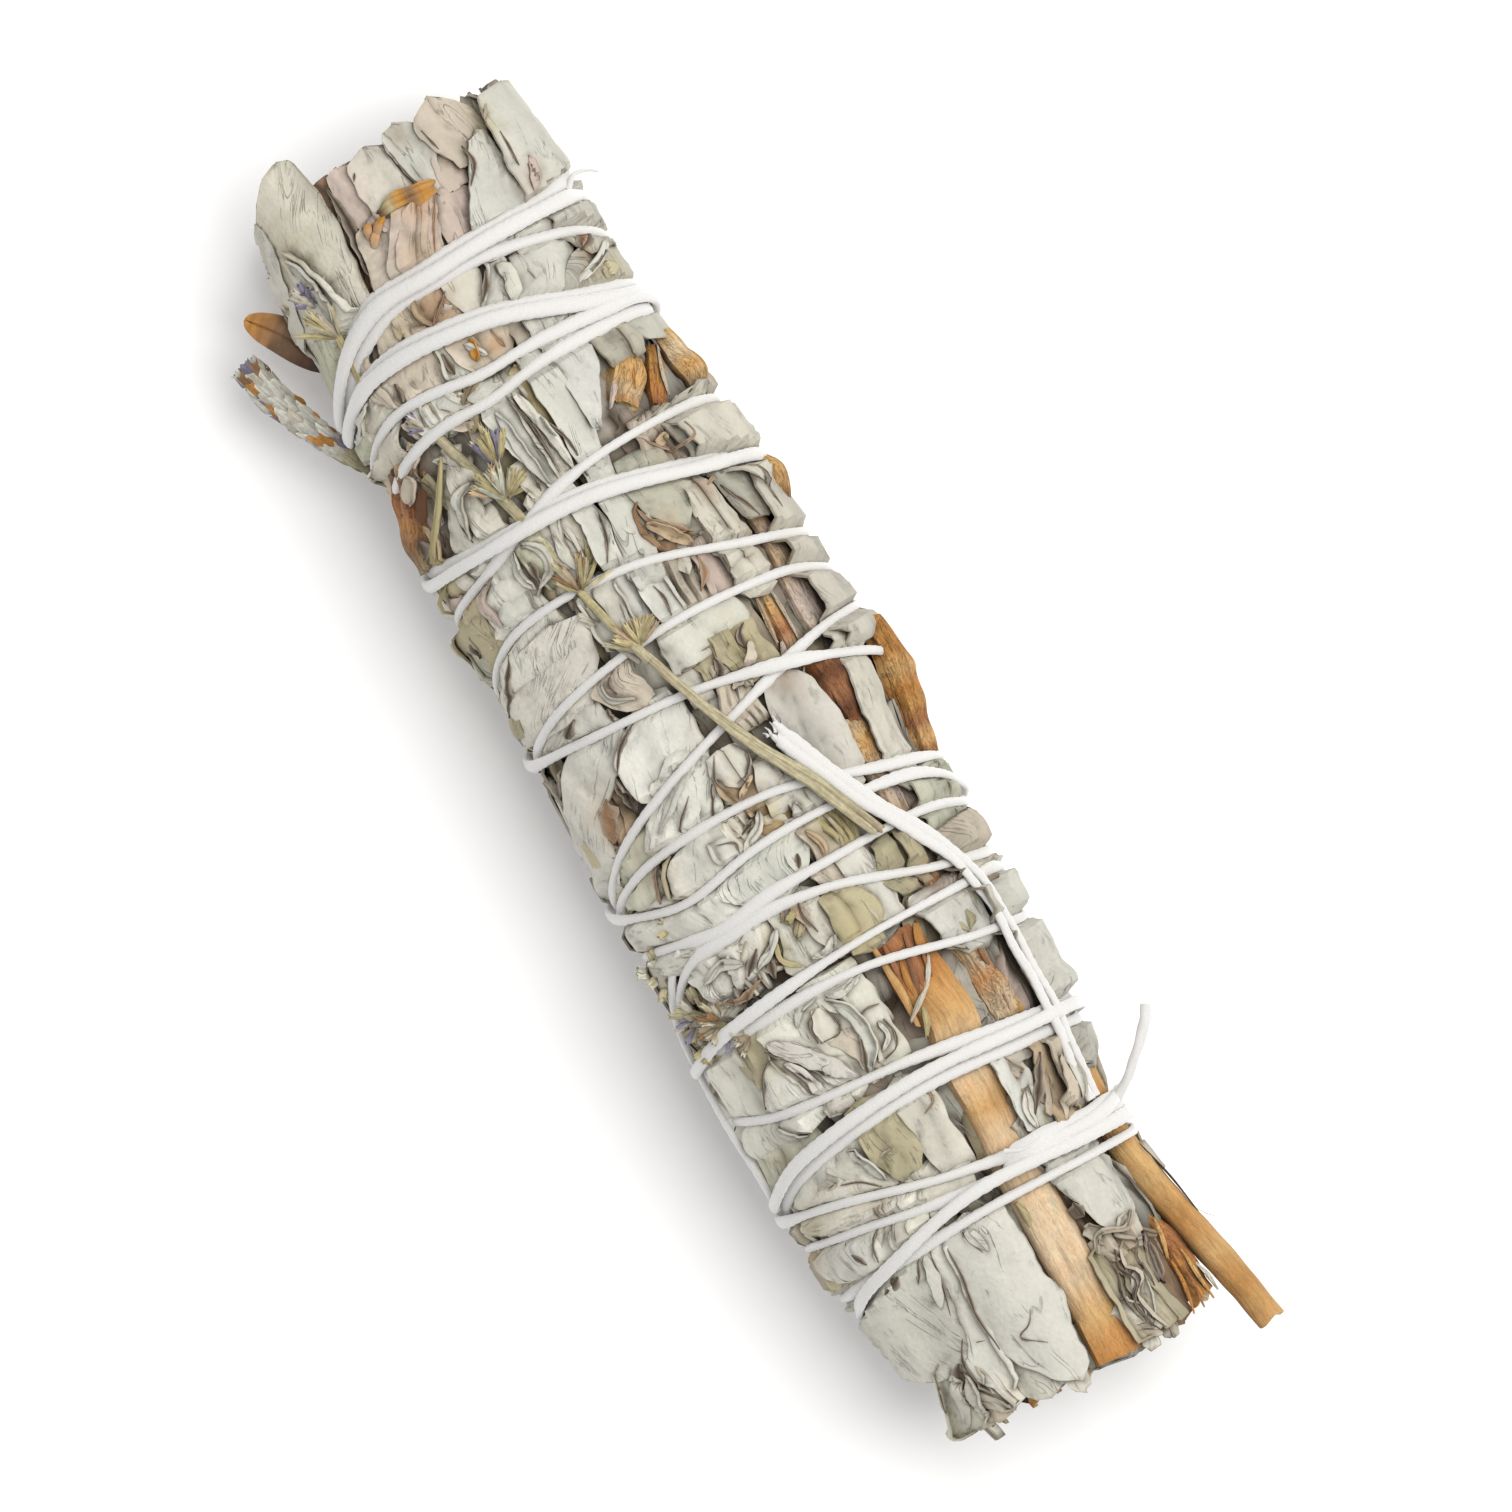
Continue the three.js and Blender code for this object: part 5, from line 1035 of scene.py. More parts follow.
def lay_scrap(x, degrees, depth, heading, length, half_mm, tone, kind, seed):
    """A small leaf bit in any direction."""
    random = np.random.default_rng(seed)
    shape = small_leaves[kind]
    a = (shape["along"] - 0.5) * length + 0.3 * zigzag(shape["across"] * 1.3 + random.uniform(0, 2))
    b = shape["across"] * half_mm * (1 + 0.2 * zigzag(shape["along"] * 3 + random.uniform(0, 2)))
    turn = math.radians(heading)
    along = a * math.cos(turn) - b * math.sin(turn)
    up = a * math.sin(turn) + b * math.cos(turn)
    half_width = float(section(x)[1])
    at_x, at_degrees = x + along, degrees - np.degrees(up / half_width)
    relief = folds(at_x, up, random, 4, 0.32)
    lean = random.normal(0, 0.12) * a + random.normal(0, 0.16) * b
    final = pressed(at_x, at_degrees, np.full_like(a, depth), shape["height"] * 0.55 + relief + lean)
    points = on_bundle(at_x, at_degrees, final)
    upper = upper_share(points)
    colours = leaf_colours(tone, at_x, points[:, 1] + ORIGIN[1], upper, final, relief,
                           shape["edge"].astype(float), random)
    own = np.stack((a + 50 * random.uniform(0, 20), b), axis=1)
    keep_leaf((points, shape["faces"], colours, own, (at_x, at_degrees, final, shape["edge"])), x, degrees)


for x, y, spread_x, spread_y, count in SCRAP_PATCHES:
    for _ in range(count):
        seed += 1
        at_x = x + roll_random.uniform(-1, 1) * spread_x
        at_y = y + roll_random.uniform(-1, 1) * spread_y
        lay_scrap(at_x, float(angle_at(at_x, at_y, 1.0)), roll_random.uniform(0.5, 1.3),
                  roll_random.normal(0, 45), roll_random.uniform(2.4, 5.5), roll_random.uniform(0.5, 1.3),
                  SCRAP_TONES[roll_random.integers(len(SCRAP_TONES))],
                  COARSE_NAMES[roll_random.integers(len(COARSE_NAMES))], seed)
for _ in range(SCRAPS_ROUND):
    seed += 1
    lay_scrap(roll_random.uniform(-64, 64), roll_random.uniform(165, 375), roll_random.uniform(0.2, 1.0),
              roll_random.normal(0, 40), roll_random.uniform(3, 7), roll_random.uniform(0.6, 1.6),
              SCRAP_TONES[roll_random.integers(len(SCRAP_TONES))],
              COARSE_NAMES[roll_random.integers(len(COARSE_NAMES))], seed)
print("with the scraps:", sum(map(len, leaves_of.values())))

# %% More leaves between the rings at the two ends
FULL_TIP_REACH = (-70.6, -67.6)
FULL_BASE_REACH = (66.0, 69.6)
fill_ends(((3.4, 15), (5.3, 14), (7.7, 12), (10.2, 9), (12.8, 6)), FULL_TIP_REACH, FULL_BASE_REACH)
print("with all at the ends:", sum(map(len, leaves_of.values())))

# %% Lay the leaves that show
SEEN_SEED = 500
for number, (tone, kind, depth, rows) in enumerate(SEEN_LEAVES):
    middle = rows[len(rows) // 2]
    laid = lay_leaf(fine_leaf(kind, rows[-1][0] - rows[0][0]), rows, depth, tone, SEEN_SEED + number)
    keep_leaf(laid, middle[0], float(angle_at(middle[0], (middle[1] + middle[2]) / 2, depth)))
print("leaves in each sprig:", [len(leaves_of[index]) for index in range(SPRIGS)])

# %% [markdown]
# Narrow strips of leaf and curled edges lie over those, and dark strips of painted shade. Each follows its
# own way from point to point and is draped over what lies below: a tree of the leaves' points gives the
# height there.

# %% Strips over the leaves
STRIPS = (
    ("light", 0.5, [(-66, -10.9), (-62, -10.3), (-58.4, -10.7)]),
    ("light", 0.9, [(-71, -12.4), (-66, -13.8), (-61, -14.7), (-57, -15)]),
    ("drab", 0.3, [(-69.1, 11.9), (-67.5, 10.9)]),
    ("rust", 0.13, [(-63.6, 3.6), (-61.5, 2.2), (-58.8, 0.7)]),
    ("ochre", 0.26, [(-64.6, -1.6), (-63.9, -3.2), (-62.6, -4.4)]),
    ("dark", 0.3, [(-66.6, 8.2), (-64.6, 8.4), (-62.6, 6.9)]), ("dark", 0.12, [(-70, 5.7), (-67.4, 6.2)]),
    ("dark", 0.14, [(-66, 11.6), (-62, 11.5)]), ("pink", 0.5, [(-62.4, 12.9), (-60.6, 12.4), (-59, 11.6)]),
    ("dark", 0.13, [(-69.8, 2.0), (-66.4, 2.5), (-63.4, 4.0)]), ("dark", 0.2, [(-69.8, -2.0), (-69, -2.5)]),
    ("light", 0.7, [(-54.6, 4.9), (-53.6, 5.7), (-51.8, 5.4), (-50.4, 4.7)]),
    ("dark", 0.4, [(-54.8, 3.9), (-53.2, 3.1), (-52, 2.0)]), ("dark", 0.45, [(-49.8, -3.7), (-47.4, -3.8)]),
    ("light", 0.5, [(-51.4, 15), (-50, 13.4), (-49, 11)]), ("dark", 0.9, [(-53.6, 14.2), (-51.6, 12.4)]),
    ("rust", 0.24, [(-53.3, 13.7), (-51.9, 12.6)]), ("olive", 0.7, [(-49.2, 14.6), (-48, 13.4)]),
    ("red", 0.16, [(-55, -0.4), (-53.2, -2.6), (-52.4, -3.4)]),
    ("beige", 0.6, [(-54.4, -10.6), (-51, -11.3), (-47.4, -10.4)]),
    ("light", 0.9, [(-52.6, -12.4), (-49.4, -13.6), (-46.8, -15.4)]),
    ("ochre", 0.4, [(-49.6, -0.8), (-47.4, -1.3)]), ("white", 0.3, [(-49.4, -1.5), (-47.4, -0.2)]),
    ("brown", 0.3, [(-49.4, 1.4), (-47.2, 1.8)]),
    ("dark", 0.2, [(-43.2, 0.7), (-39.6, 1.0), (-36.4, 2.1), (-31.2, 2.1)]),
    ("dark", 0.16, [(-43, -0.7), (-39, 0.0), (-33.6, 0.1)]),
    ("light", 0.5, [(-43, 0.0), (-38, 1.0), (-33, 1.3)]),
    ("light", 0.5, [(-42, -2.3), (-37, -2.1), (-33, -1.5)]), ("dark", 0.12, [(-38.4, -1.8), (-33, -2.6)]),
    ("light", 0.55, [(-32.4, -1.4), (-29, -3.3), (-26.4, -3.8), (-23.8, -3.1)]),
    ("dark", 0.2, [(-28.6, 1.2), (-25.6, 0.5), (-23.4, -0.6)]),
    ("light", 0.45, [(-29.6, -6.9), (-28.2, -5.6), (-25.8, -5.8), (-24.9, -7.2)]),
    ("dark", 0.45, [(-27.6, -6.9), (-25.4, -7.0)]),
    ("light", 0.4, [(-29.2, -7.7), (-27.2, -8.4), (-25, -7.9)]),
    ("straw", 0.28, [(-41.2, -9.0, 0.0), (-37.0, -11.6, -0.3), (-33.1, -14.3, -0.6), (-29.6, -16.0, -0.5),
         (-27.1, -16.8, -0.2)]),
    ("dark", 0.2, [(-41, -9.9), (-37, -12.2), (-33.4, -14.1)]),
    ("light", 0.5, [(-37.4, -7.8), (-37, -9.4), (-35.2, -10.4), (-32.6, -10.4)]),
    ("dark", 0.14, [(-37.2, -9.9), (-34.6, -11.0), (-32.2, -10.9)]),
    ("pink", 0.4, [(-29.2, -11.1), (-26.5, -12.3), (-23.6, -12.1)]),
    ("dark", 0.25, [(-24.6, -15.6), (-22.2, -16.2)]),
    ("dark", 0.35, [(-20.9, -13.2), (-18.4, -14.3), (-15.6, -16.6)]),
    ("brown", 0.3, [(-25.6, 12.4), (-25, 11.2)]),
    ("dark", 0.16, [(-25.2, 14.7), (-22.4, 15.6), (-19.4, 15.8)]),
    ("dark", 0.2, [(-24.4, 12.6), (-22.2, 13.6), (-19.8, 14.4)]),
    ("brown", 0.55, [(-26.6, 4.4), (-24.6, 5), (-23, 6.6), (-21.8, 8.2)]),
    ("tan", 0.5, [(-24.8, 4.4), (-22.6, 6.0), (-20.8, 7.6)]),
    ("dark", 0.16, [(-22.8, 9.1), (-19, 9.1), (-16, 8.9)]),
    ("dark", 0.22, [(-19.2, 2.0), (-17.4, 2.3), (-15.8, 2.0)]),
    ("brown", 0.5, [(-19.6, 7.4), (-17.8, 7.2), (-16.3, 5.8)]),
    ("brown", 0.2, [(-31.6, 11.9), (-30, 12), (-29.8, 10.6), (-31.4, 9.0), (-32.6, 8.3)]),
    ("tan", 0.5, [(-31.6, 10.6), (-30.8, 9.4)]), ("dark", 0.5, [(-11.5, 7.6), (-10.8, 6.6), (-9.2, 6.4)]),
    ("dark", 0.5, [(-10.2, 3.4), (-8.4, 3.1), (-7.8, 2.2)]),
    ("beige", 0.5, [(-9.6, 7.3), (-7.4, 5.6), (-6.4, 3.4)]),
    ("light", 0.25, [(-14.6, -5.6), (-13.6, -7.4), (-11.8, -7.3), (-10.6, -5.1)]),
    ("dark", 0.12, [(-14.2, -5.4), (-13.2, -6.7), (-11.9, -6.5)]),
    ("dark", 0.35, [(-11.2, -7.9), (-9.8, -8.3)]),
    ("dark", 0.3, [(-8.7, -6.6), (-7.0, -8.9), (-5.2, -10.2)]),
    ("light", 0.45, [(-3.6, -2.4), (-1, -6), (2, -9.6)]),
    ("dark", 0.12, [(0.4, -5.6), (2.2, -7.4), (4.4, -9.6)]),
    ("dark", 0.12, [(-1.9, 0.5), (-0.4, 1.3), (1.4, 0.4), (1.9, -1.0)]),
    ("dark", 0.16, [(-1.7, -1.5), (0.6, -2.6), (2.4, -2.0)]),
    ("tan", 0.25, [(1.9, 0.6), (2.6, -0.6), (3.2, -1.6)]),
    ("dark", 0.2, [(0.6, -3.0), (2.6, -4.2), (3.8, -5.2)]),
    ("light", 0.4, [(5.2, -0.6), (6.6, -1.5), (7.4, -3.2), (8.4, -4.2)]),
    ("dark", 0.12, [(6.0, -5.6), (6.8, -4.2), (8.2, -4.6)]), ("dark", 0.4, [(5.6, -1.4), (6.4, -3.2)]),
    ("tan", 0.3, [(9.4, 2.2), (11.4, 2.9), (13, 2.4)]), ("dark", 0.5, [(10.8, 0.4), (12.2, -0.2)]),
    ("pale", 0.5, [(6.4, 2.8), (8, 2.2), (7.8, 0.4)]),
    ("olive", 0.3, [(4.6, -10.6), (6.4, -11.8), (8.6, -12.4)]),
    ("brown", 0.2, [(4.4, -12.2), (6.6, -13.0), (8.6, -13.2)]), ("dark", 0.5, [(-12, -11), (-10.6, -12.6)]),
    ("dark", 0.6, [(-9, -15.2), (-6, -16.2)]), ("dark", 0.9, [(-4.9, -10.9), (-3, -11.3), (-0.8, -11.3)]),
    ("brown", 0.9, [(-3.6, -12.9), (-1.6, -13.8), (0.6, -14.4)]),
    ("dark", 0.15, [(14.4, -1.9), (16.5, -2.2), (18.5, -1.8)]),
    ("straw", 0.4, [(15.6, -2.7), (16.3, -4.0)]), ("light", 0.35, [(19.6, -0.6), (20.6, -2), (20.4, -3.6)]),
    ("light", 0.35, [(16.2, -5.2), (17.6, -6.8), (18.6, -8.6)]),
    ("straw", 0.25, [(20.6, -5), (19, -6.4), (17, -5.8)]),
    ("light", 0.5, [(14.6, -5.8), (14.4, -8), (15.2, -10.5)]),
    ("light", 0.45, [(17.4, -9.6), (16.4, -11.5), (17.2, -13.6)]),
    ("brown", 0.5, [(19.6, -9), (20.4, -11.6), (19.8, -14)]), ("dark", 0.6, [(18.4, -7.4), (20.4, -8.0)]),
    ("dark", 0.5, [(16.8, -7.8), (18.8, -9.8)]), ("light", 0.4, [(24.3, -0.6), (24.8, -3.2), (24.2, -4.4)]),
    ("dark", 0.12, [(27.7, -0.3), (27.5, -1.8), (27.9, -3.0)]),
    ("dark", 0.14, [(29.2, -0.8), (30.8, -0.5), (32.3, -1.2), (32.7, -2.6)]),
    ("light", 0.22, [(29.2, -1.4), (31, -1.3), (31.9, -2.4)]),
    ("light", 0.6, [(24.6, -4.6), (26.5, -3.3), (29, -2.9), (31.4, -3.3), (33, -4.6)]),
    ("dark", 0.35, [(29.6, -3.5), (31.4, -4.1), (33, -4.9)]),
    ("light", 0.3, [(24, -5.4), (24.3, -7.3), (25.6, -8.4)]),
    ("dark", 0.12, [(24.9, -5.2), (27.0, -4.7), (28.0, -4.9), (28.1, -7.2)]),
    ("dark", 0.12, [(24.9, -5.8), (25.8, -7.1), (28, -7.3)]),
    ("light", 0.9, [(25.4, -11.4), (28, -9.3), (30.5, -7.4), (33, -5.7)]),
    ("dark", 0.2, [(26, -11.8), (28.8, -9.6), (31, -8.3)]),
    ("light", 0.4, [(28, -10.8), (30, -9.9), (32, -9.7), (34.2, -10.3)]),
    ("dark", 0.14, [(26.8, -11.2), (27.4, -12.6), (29.4, -14.2), (31, -14.9)]),
    ("light", 0.4, [(33, -15.2), (34.4, -14.4), (35.4, -13.2)]),
    ("brown", 0.16, [(36, -1.2), (38.8, -0.8), (39.4, -2.2)]),
    ("dark", 0.14, [(41.2, -12.6), (42, -10.8), (43.4, -9.4)]),
    ("light", 0.5, [(38.6, -10.4), (40.8, -9.3), (43, -8.6)]),
    ("dark", 0.5, [(40.2, 10.2), (43, 8.7), (45.4, 6.9)]),
    ("beige", 0.5, [(41.6, 11.6), (45, 10.2), (47.2, 8.8)]), ("light", 0.4, [(41, 12.6), (46.4, 11.2)]),
    ("light", 0.45, [(42.8, 7.4), (44.4, 6.4), (46.4, 6.5)]), ("dark", 0.5, [(54.6, 5.5), (56.4, 5.7)]),
    ("beige", 0.22, [(58.4, 9.9), (59.5, 8.2), (58.6, 6.2), (60.4, 5.2)]),
    ("dark", 0.6, [(60.8, 9.9), (63.4, 9.7), (66, 9.0)]),
    ("beige", 0.16, [(60.4, 7.5), (62.6, 6.9), (64.4, 7.5), (66.4, 6.3), (68.4, 6.7), (70.2, 7.4)]),
    ("dark", 0.16, [(60.8, 6.8), (62.6, 6.3), (64.6, 6.9), (66.4, 5.7), (68.6, 6.0), (70.2, 6.7)]),
    ("dark", 0.1, [(60.8, 5.7), (63, 6), (65, 5.2), (68.4, 5.4)]),
    ("dark", 0.14, [(61, 8.7), (63.6, 8.2), (66, 8.2)]),
    ("dark", 0.2, [(51.5, -7), (55, -7.2), (59, -7.9), (63.4, -7.7)]),
    ("light", 0.5, [(51.2, -4.7), (54.2, -3.8)]), ("dark", 0.14, [(51.4, -5.1), (54.2, -4.3)]),
    ("dark", 0.14, [(51.4, -8.8), (55, -9.4), (58, -10.2)]), ("dark", 0.18, [(51.6, -10.2), (53.6, -11.2)]),
    ("light", 0.6, [(51.4, -9.4), (54.2, -9.8), (57, -10.6)]),
    ("dark", 0.2, [(60.6, -10.4), (62.6, -11.5), (66, -11.2), (68.6, -9.8)]),
    ("dark", 0.8, [(62.6, -11.9), (63.8, -12.6)]),
    ("light", 0.5, [(63.2, -12.9), (66.2, -13.6), (69, -14.6)]),
    ("pale", 0.5, [(64, -11.9), (67, -12.3), (69.2, -13.0)]),
    ("dark", 0.12, [(63.8, -14.2), (66.4, -14.9)]),
    ("dark", 0.08, [(61.4, -3.2), (62.6, -4.0), (63.2, -5.4), (65.2, -3.4)]),
    ("dark", 0.8, [(52.0, -12.4), (52.9, -14.2)]), ("dark", 0.3, [(47.8, -15.2), (49.4, -14.4)]),
    ("dark", 0.14, [(46.8, -12.0), (48.2, -13), (49.8, -13.4)]),
    ("brown", 0.4, [(38.5, 16.6, -1.2), (38.8, 18.9, -2.4)]),
    ("dark", 0.7, [(-70.4, -5.5), (-67, -5.3), (-62.6, -5.6), (-58.6, -6.5)]),
    ("dark", 1.25, [(-35.4, -15.0, -0.05), (-32.9, -16.0, 0.1)]),
    ("tan", 0.4, [(-36.2, -13.9, 0.0), (-34.2, -13.6, -0.2), (-32.8, -14.3, -0.1), (-32.2, -16.0, 0.2)]),
    ("tan", 0.35, [(-36.2, -15.4, 0.0), (-35.2, -16.6, 0.2), (-33.2, -17.2, 0.3)]),
    ("bark", 0.5, [(-39.6, -12.2, -0.05), (-36.4, -13.9, -0.15)]),
    ("beige", 0.9, [(-41.4, -12.9, 0.1), (-38.8, -13.9, -0.05)]),
    ("orange", 0.35, [(-38.4, -15.4, 0.2), (-36.0, -16.4, 0.3)]),
    ("dark", 0.6, [(61.6, 10.4), (64, 10.2), (66.4, 9.6)]), ("dark", 0.5, [(-49.8, -9.4), (-47.6, -9.8)]),
    ("drab", 0.5, [(-44.2, -11.2, 0.3), (-41.6, -11.9, 0.0)]),
    ("dark", 0.3, [(-42.8, -13.9, 0.1), (-39.4, -15.6, 0.2)]),
)
STRIP_SEED = 3000
DRAPE_REACH = 0.75  # mm
UPPER_HALF = 200  # degrees up to which leaves carry strips
DEEPEST_CARRIER = 1.6
STRIP_LIFT = 0.05
STRIP_HIGHER = 0.1  # mm that a strip may rise further beside a strand
SHORT_STRIP = 5.0
# The dark strips are painted shade in gaps and hollows.
SQUARE_STRIPS = ("dark", "brown", "red", "rust", "drab")  # these lie flat
upper_tree_points = []
for group in leaves_of.values():
    for laid in group:
        x, degrees, depth, _ = laid[4]
        on_top = (degrees % 360 < UPPER_HALF) & (depth < DEEPEST_CARRIER)
        s = np.radians(degrees) * section(x)[1]
        upper_tree_points += np.stack((x, s, depth), axis=1)[on_top].tolist()
drape_tree = KDTree(len(upper_tree_points))
for index, (x, s, _) in enumerate(upper_tree_points):
    drape_tree.insert((x, s, 0), index)
drape_tree.balance()


def draped(x, degrees, otherwise):
    """The depth of the highest leaf at each place."""
    s = np.radians(degrees) * section(x)[1]
    found = []
    for one_x, one_s, spare in zip(x, s, otherwise):
        near = [upper_tree_points[hit[1]][2] for hit in drape_tree.find_range((one_x, one_s, 0), DRAPE_REACH)]
        found.append(min(near) if near else spare)
    return np.array(found)


def lay_strip(tone, half, way, seed):
    """A narrow strip along a way, draped over the leaves."""
    random = np.random.default_rng(seed)
    flat = tone in SQUARE_STRIPS
    set_depth = len(way[0]) > 2
    way = np.array(way, float)
    run = np.concatenate(((0,), np.cumsum(np.hypot(np.diff(way[:, 0]), np.diff(way[:, 1])))))
    shapes = small_leaves if run[-1] < SHORT_STRIP else coarse_leaves
    shape = shapes["arched" if flat else ("curled", "folded", "arched")[seed % 3]]
    at = shape["along"] * run[-1]
    x, y = (smooth_through(run, way[:, k], at) for k in (0, 1))
    ahead = [smooth_through(run, way[:, k], np.minimum(at + 0.1, run[-1]))
             - smooth_through(run, way[:, k], np.maximum(at - 0.1, 0)) for k in (0, 1)]
    size = np.maximum(np.hypot(*ahead), 1e-6)
    taper = 1 - np.abs(2 * shape["along"] - 1) ** (1.6 if flat else random.uniform(2.5, 5))
    jagged = 0.3 if flat else 0.15
    across = shape["across"] * half * ((0.05 if flat else 0.25) + 0.75 * taper)
    across = across * (1 + jagged * zigzag(at / 1.1 + random.uniform(0, 2)))
    x, y = x - ahead[1] / size * across, y + ahead[0] / size * across
    degrees = angle_at(x, y, 0.5)
    base = smooth_through(run, way[:, 2], at) if set_depth else draped(x, degrees, np.full_like(x, 1.0))
    final = base - STRIP_LIFT - (0 if flat else 1) * (shape["height"] * 0.5 + 0.1 * taper)
    gap = string_gap(x, degrees)
    final = np.maximum(final, highest_beside(gap) - STRIP_HIGHER)
    points = on_bundle(x, degrees, final)
    rim = shape["edge"].astype(float) * (0 if flat else 1)
    colours = leaf_colours(tone, x, points[:, 1] + ORIGIN[1], np.zeros_like(x),
                           np.minimum(final, DEEP_SHADE_FROM), 0 * x, rim, random)
    # A flat strip fades to beige at its sides, which gives the dark ones soft edges of painted shade.
    if flat:
        soft = (np.clip(np.abs(shape["across"]), 0, 1) ** 1.5)[:, None]
        colours = colours * (1 - soft) + (0.45 * colours + 0.55 * TONES["beige"]) * soft
    own = np.stack((at + 50 * random.uniform(0, 20), across), axis=1)
    keep_leaf((points, shape["faces"], colours, own, (x, degrees, final, shape["edge"] & (not flat))),
              way[0][0], float(degrees[0]))


for number, (tone, half, way) in enumerate(STRIPS):
    lay_strip(tone, half, way, STRIP_SEED + number)
print("strips:", len(STRIPS))

# %% [markdown]
# Shade falls where one leaf passes under the rim of another, so thin dark lines of painted shade are drawn
# along the rims. All rims are entered in a map of the unrolled surface, and each leaf looks up which rims lie
# over it.

# %% Dark lines under the rims
RIM_STEP = 0.25  # mm along
RIM_STEP_DEGREES = 0.8
RIM_COLUMNS = 640
RIM_ROWS = 450
RIM_REACH = 0.55  # mm
RIM_GAP = 0.06  # mm that a rim has to lie higher
RIM_STRENGTH = 0.5
RIM_SHADE_TONE = np.array(rgba("#3d3122")[:3])
FAR_DOWN = 99.0
rim_map = np.full((RIM_COLUMNS, RIM_ROWS), FAR_DOWN)
for laid in (one for group in leaves_of.values() for one in group):
    x, degrees, depth, at_rim = laid[4]
    column = np.clip(((x[at_rim] - MAP_START) / RIM_STEP).round().astype(int), 0, RIM_COLUMNS - 1)
    row = (degrees[at_rim] / RIM_STEP_DEGREES).round().astype(int) % RIM_ROWS
    np.minimum.at(rim_map, (column, row), depth[at_rim])
rim_cells = int(RIM_REACH / RIM_STEP) + 1
for group in leaves_of.values():
    for laid in group:
        x, degrees, depth, at_rim = laid[4]
        column, row = (x - MAP_START) / RIM_STEP, degrees / RIM_STEP_DEGREES
        darkness = np.zeros(len(x))
        for i in range(-rim_cells, rim_cells + 1):
            for j in range(-rim_cells, rim_cells + 1):
                near_column = np.clip(column.round().astype(int) + i, 0, RIM_COLUMNS - 1)
                near_row = row.round().astype(int) + j
                over = depth - rim_map[near_column, near_row % RIM_ROWS] - RIM_GAP
                away = np.hypot((near_column - column) * RIM_STEP, (near_row - row) * RIM_STEP)
                amount = np.clip(over / 0.25, 0, 1) * np.clip(1.15 - away / RIM_REACH, 0, 1)
                darkness = np.maximum(darkness, amount)
        # Painted shade under the rims that lie above this leaf.
        darkness = (RIM_STRENGTH * darkness)[:, None]
        laid[2][:] = laid[2] * (1 - darkness) + RIM_SHADE_TONE * darkness
print("rim cells in use:", int((rim_map < FAR_DOWN).sum()))


# %% [markdown]
# ## Making the meshes
# All leaves of a sprig become one mesh. A Solidify modifier then gives them the thickness of a dried sage
# leaf, about a quarter of a millimetre, and closes each one round its rim.

# %% Build a piece from parts
def piece_from(name, parts):
    """One object from parts: points in mm, faces, colours and own measures in mm. It stays at the origin."""
    points = np.concatenate([part[0] for part in parts]) * MM
    colours = np.concatenate([part[2] for part in parts])
    own = np.concatenate([part[3] for part in parts]) * MM
    faces, start = [], 0
    for part in parts:
        faces += [[index + start for index in face] for face in np.asarray(part[1], object).tolist()]
        start += len(part[0])
    mesh = bpy.data.meshes.new(name)
    mesh.from_pydata(points.tolist(), [], faces)
    layer = mesh.color_attributes.new("tone", "FLOAT_COLOR", "POINT")
    layer.data.foreach_set("color", np.concatenate((colours, np.ones((len(colours), 1))), axis=1).ravel())
    corners = np.empty(len(mesh.loops), np.int32)
    mesh.loops.foreach_get("vertex_index", corners)
    mesh.uv_layers.new(name="own_mm").data.foreach_set("uv", own[corners].ravel())
    made = bpy.data.objects.new(name, mesh)
    scene.collection.objects.link(made)
    mesh.update()
    return made


def only(piece):
    """Selects one piece and nothing else."""
    bpy.ops.object.select_all(action="DESELECT")
    piece.select_set(True)
    bpy.context.view_layer.objects.active = piece


def apply_all(piece):
    """Applies every modifier of a piece."""
    only(piece)
    for modifier in list(piece.modifiers):
        bpy.ops.object.modifier_apply(modifier=modifier.name)


def thicken(piece, thickness):
    """Gives a sheet a thickness in mm, half of it to each side."""
    solid = piece.modifiers.new("thickness", "SOLIDIFY")
    solid.thickness = thickness * MM
    solid.offset = 0
    apply_all(piece)


def finish_piece(piece, material, replaced=(), smooth_angle=50):
    """Shades a piece, keeps it above the table, gives it its material, hangs it under the root body and hides
    the solids it replaces.
    """
    only(piece)
    places = np.empty(len(piece.data.vertices) * 3)
    piece.data.vertices.foreach_get("co", places)
    places[2::3] = np.maximum(places[2::3], 0)  # nothing lies below the table
    piece.data.vertices.foreach_set("co", places)
    piece.data.update()
    bpy.ops.object.shade_smooth_by_angle(angle=math.radians(smooth_angle))
    piece.data.materials.clear()
    piece.data.materials.append(material)
    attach(piece, "root")
    if replaced:
        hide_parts(*replaced)
    triangles = sum(len(face.vertices) - 2 for face in piece.data.polygons)
    print(piece.name, triangles, "triangles")


# %% [markdown]
# ## Materials
# The colours of leaves, stems and flowers come from each point's own tone, which carries painted shade too,
# and the nodes add what is finer.

# %% White sage leaf
# White sage leaf, dried: thick and felted with tiny hairs. It looks like dusty velvet: matte, with faint
# mottling, fine creases that run along each leaf 5 mm apart, wrinkles 2.2 mm apart, and a pebbled net of
# veins about 0.5 mm apart.
CREASE_APART = 5.0
CREASE_RUN = 34.0
WRINKLE_RUN = 11.0
WRINKLES_APART = 2.2
GAP_REACH = 0.9  # mm
# The dark brown of the painted shade in the gaps.
GAP_SHADE = (0.2, 0.15, 0.1)


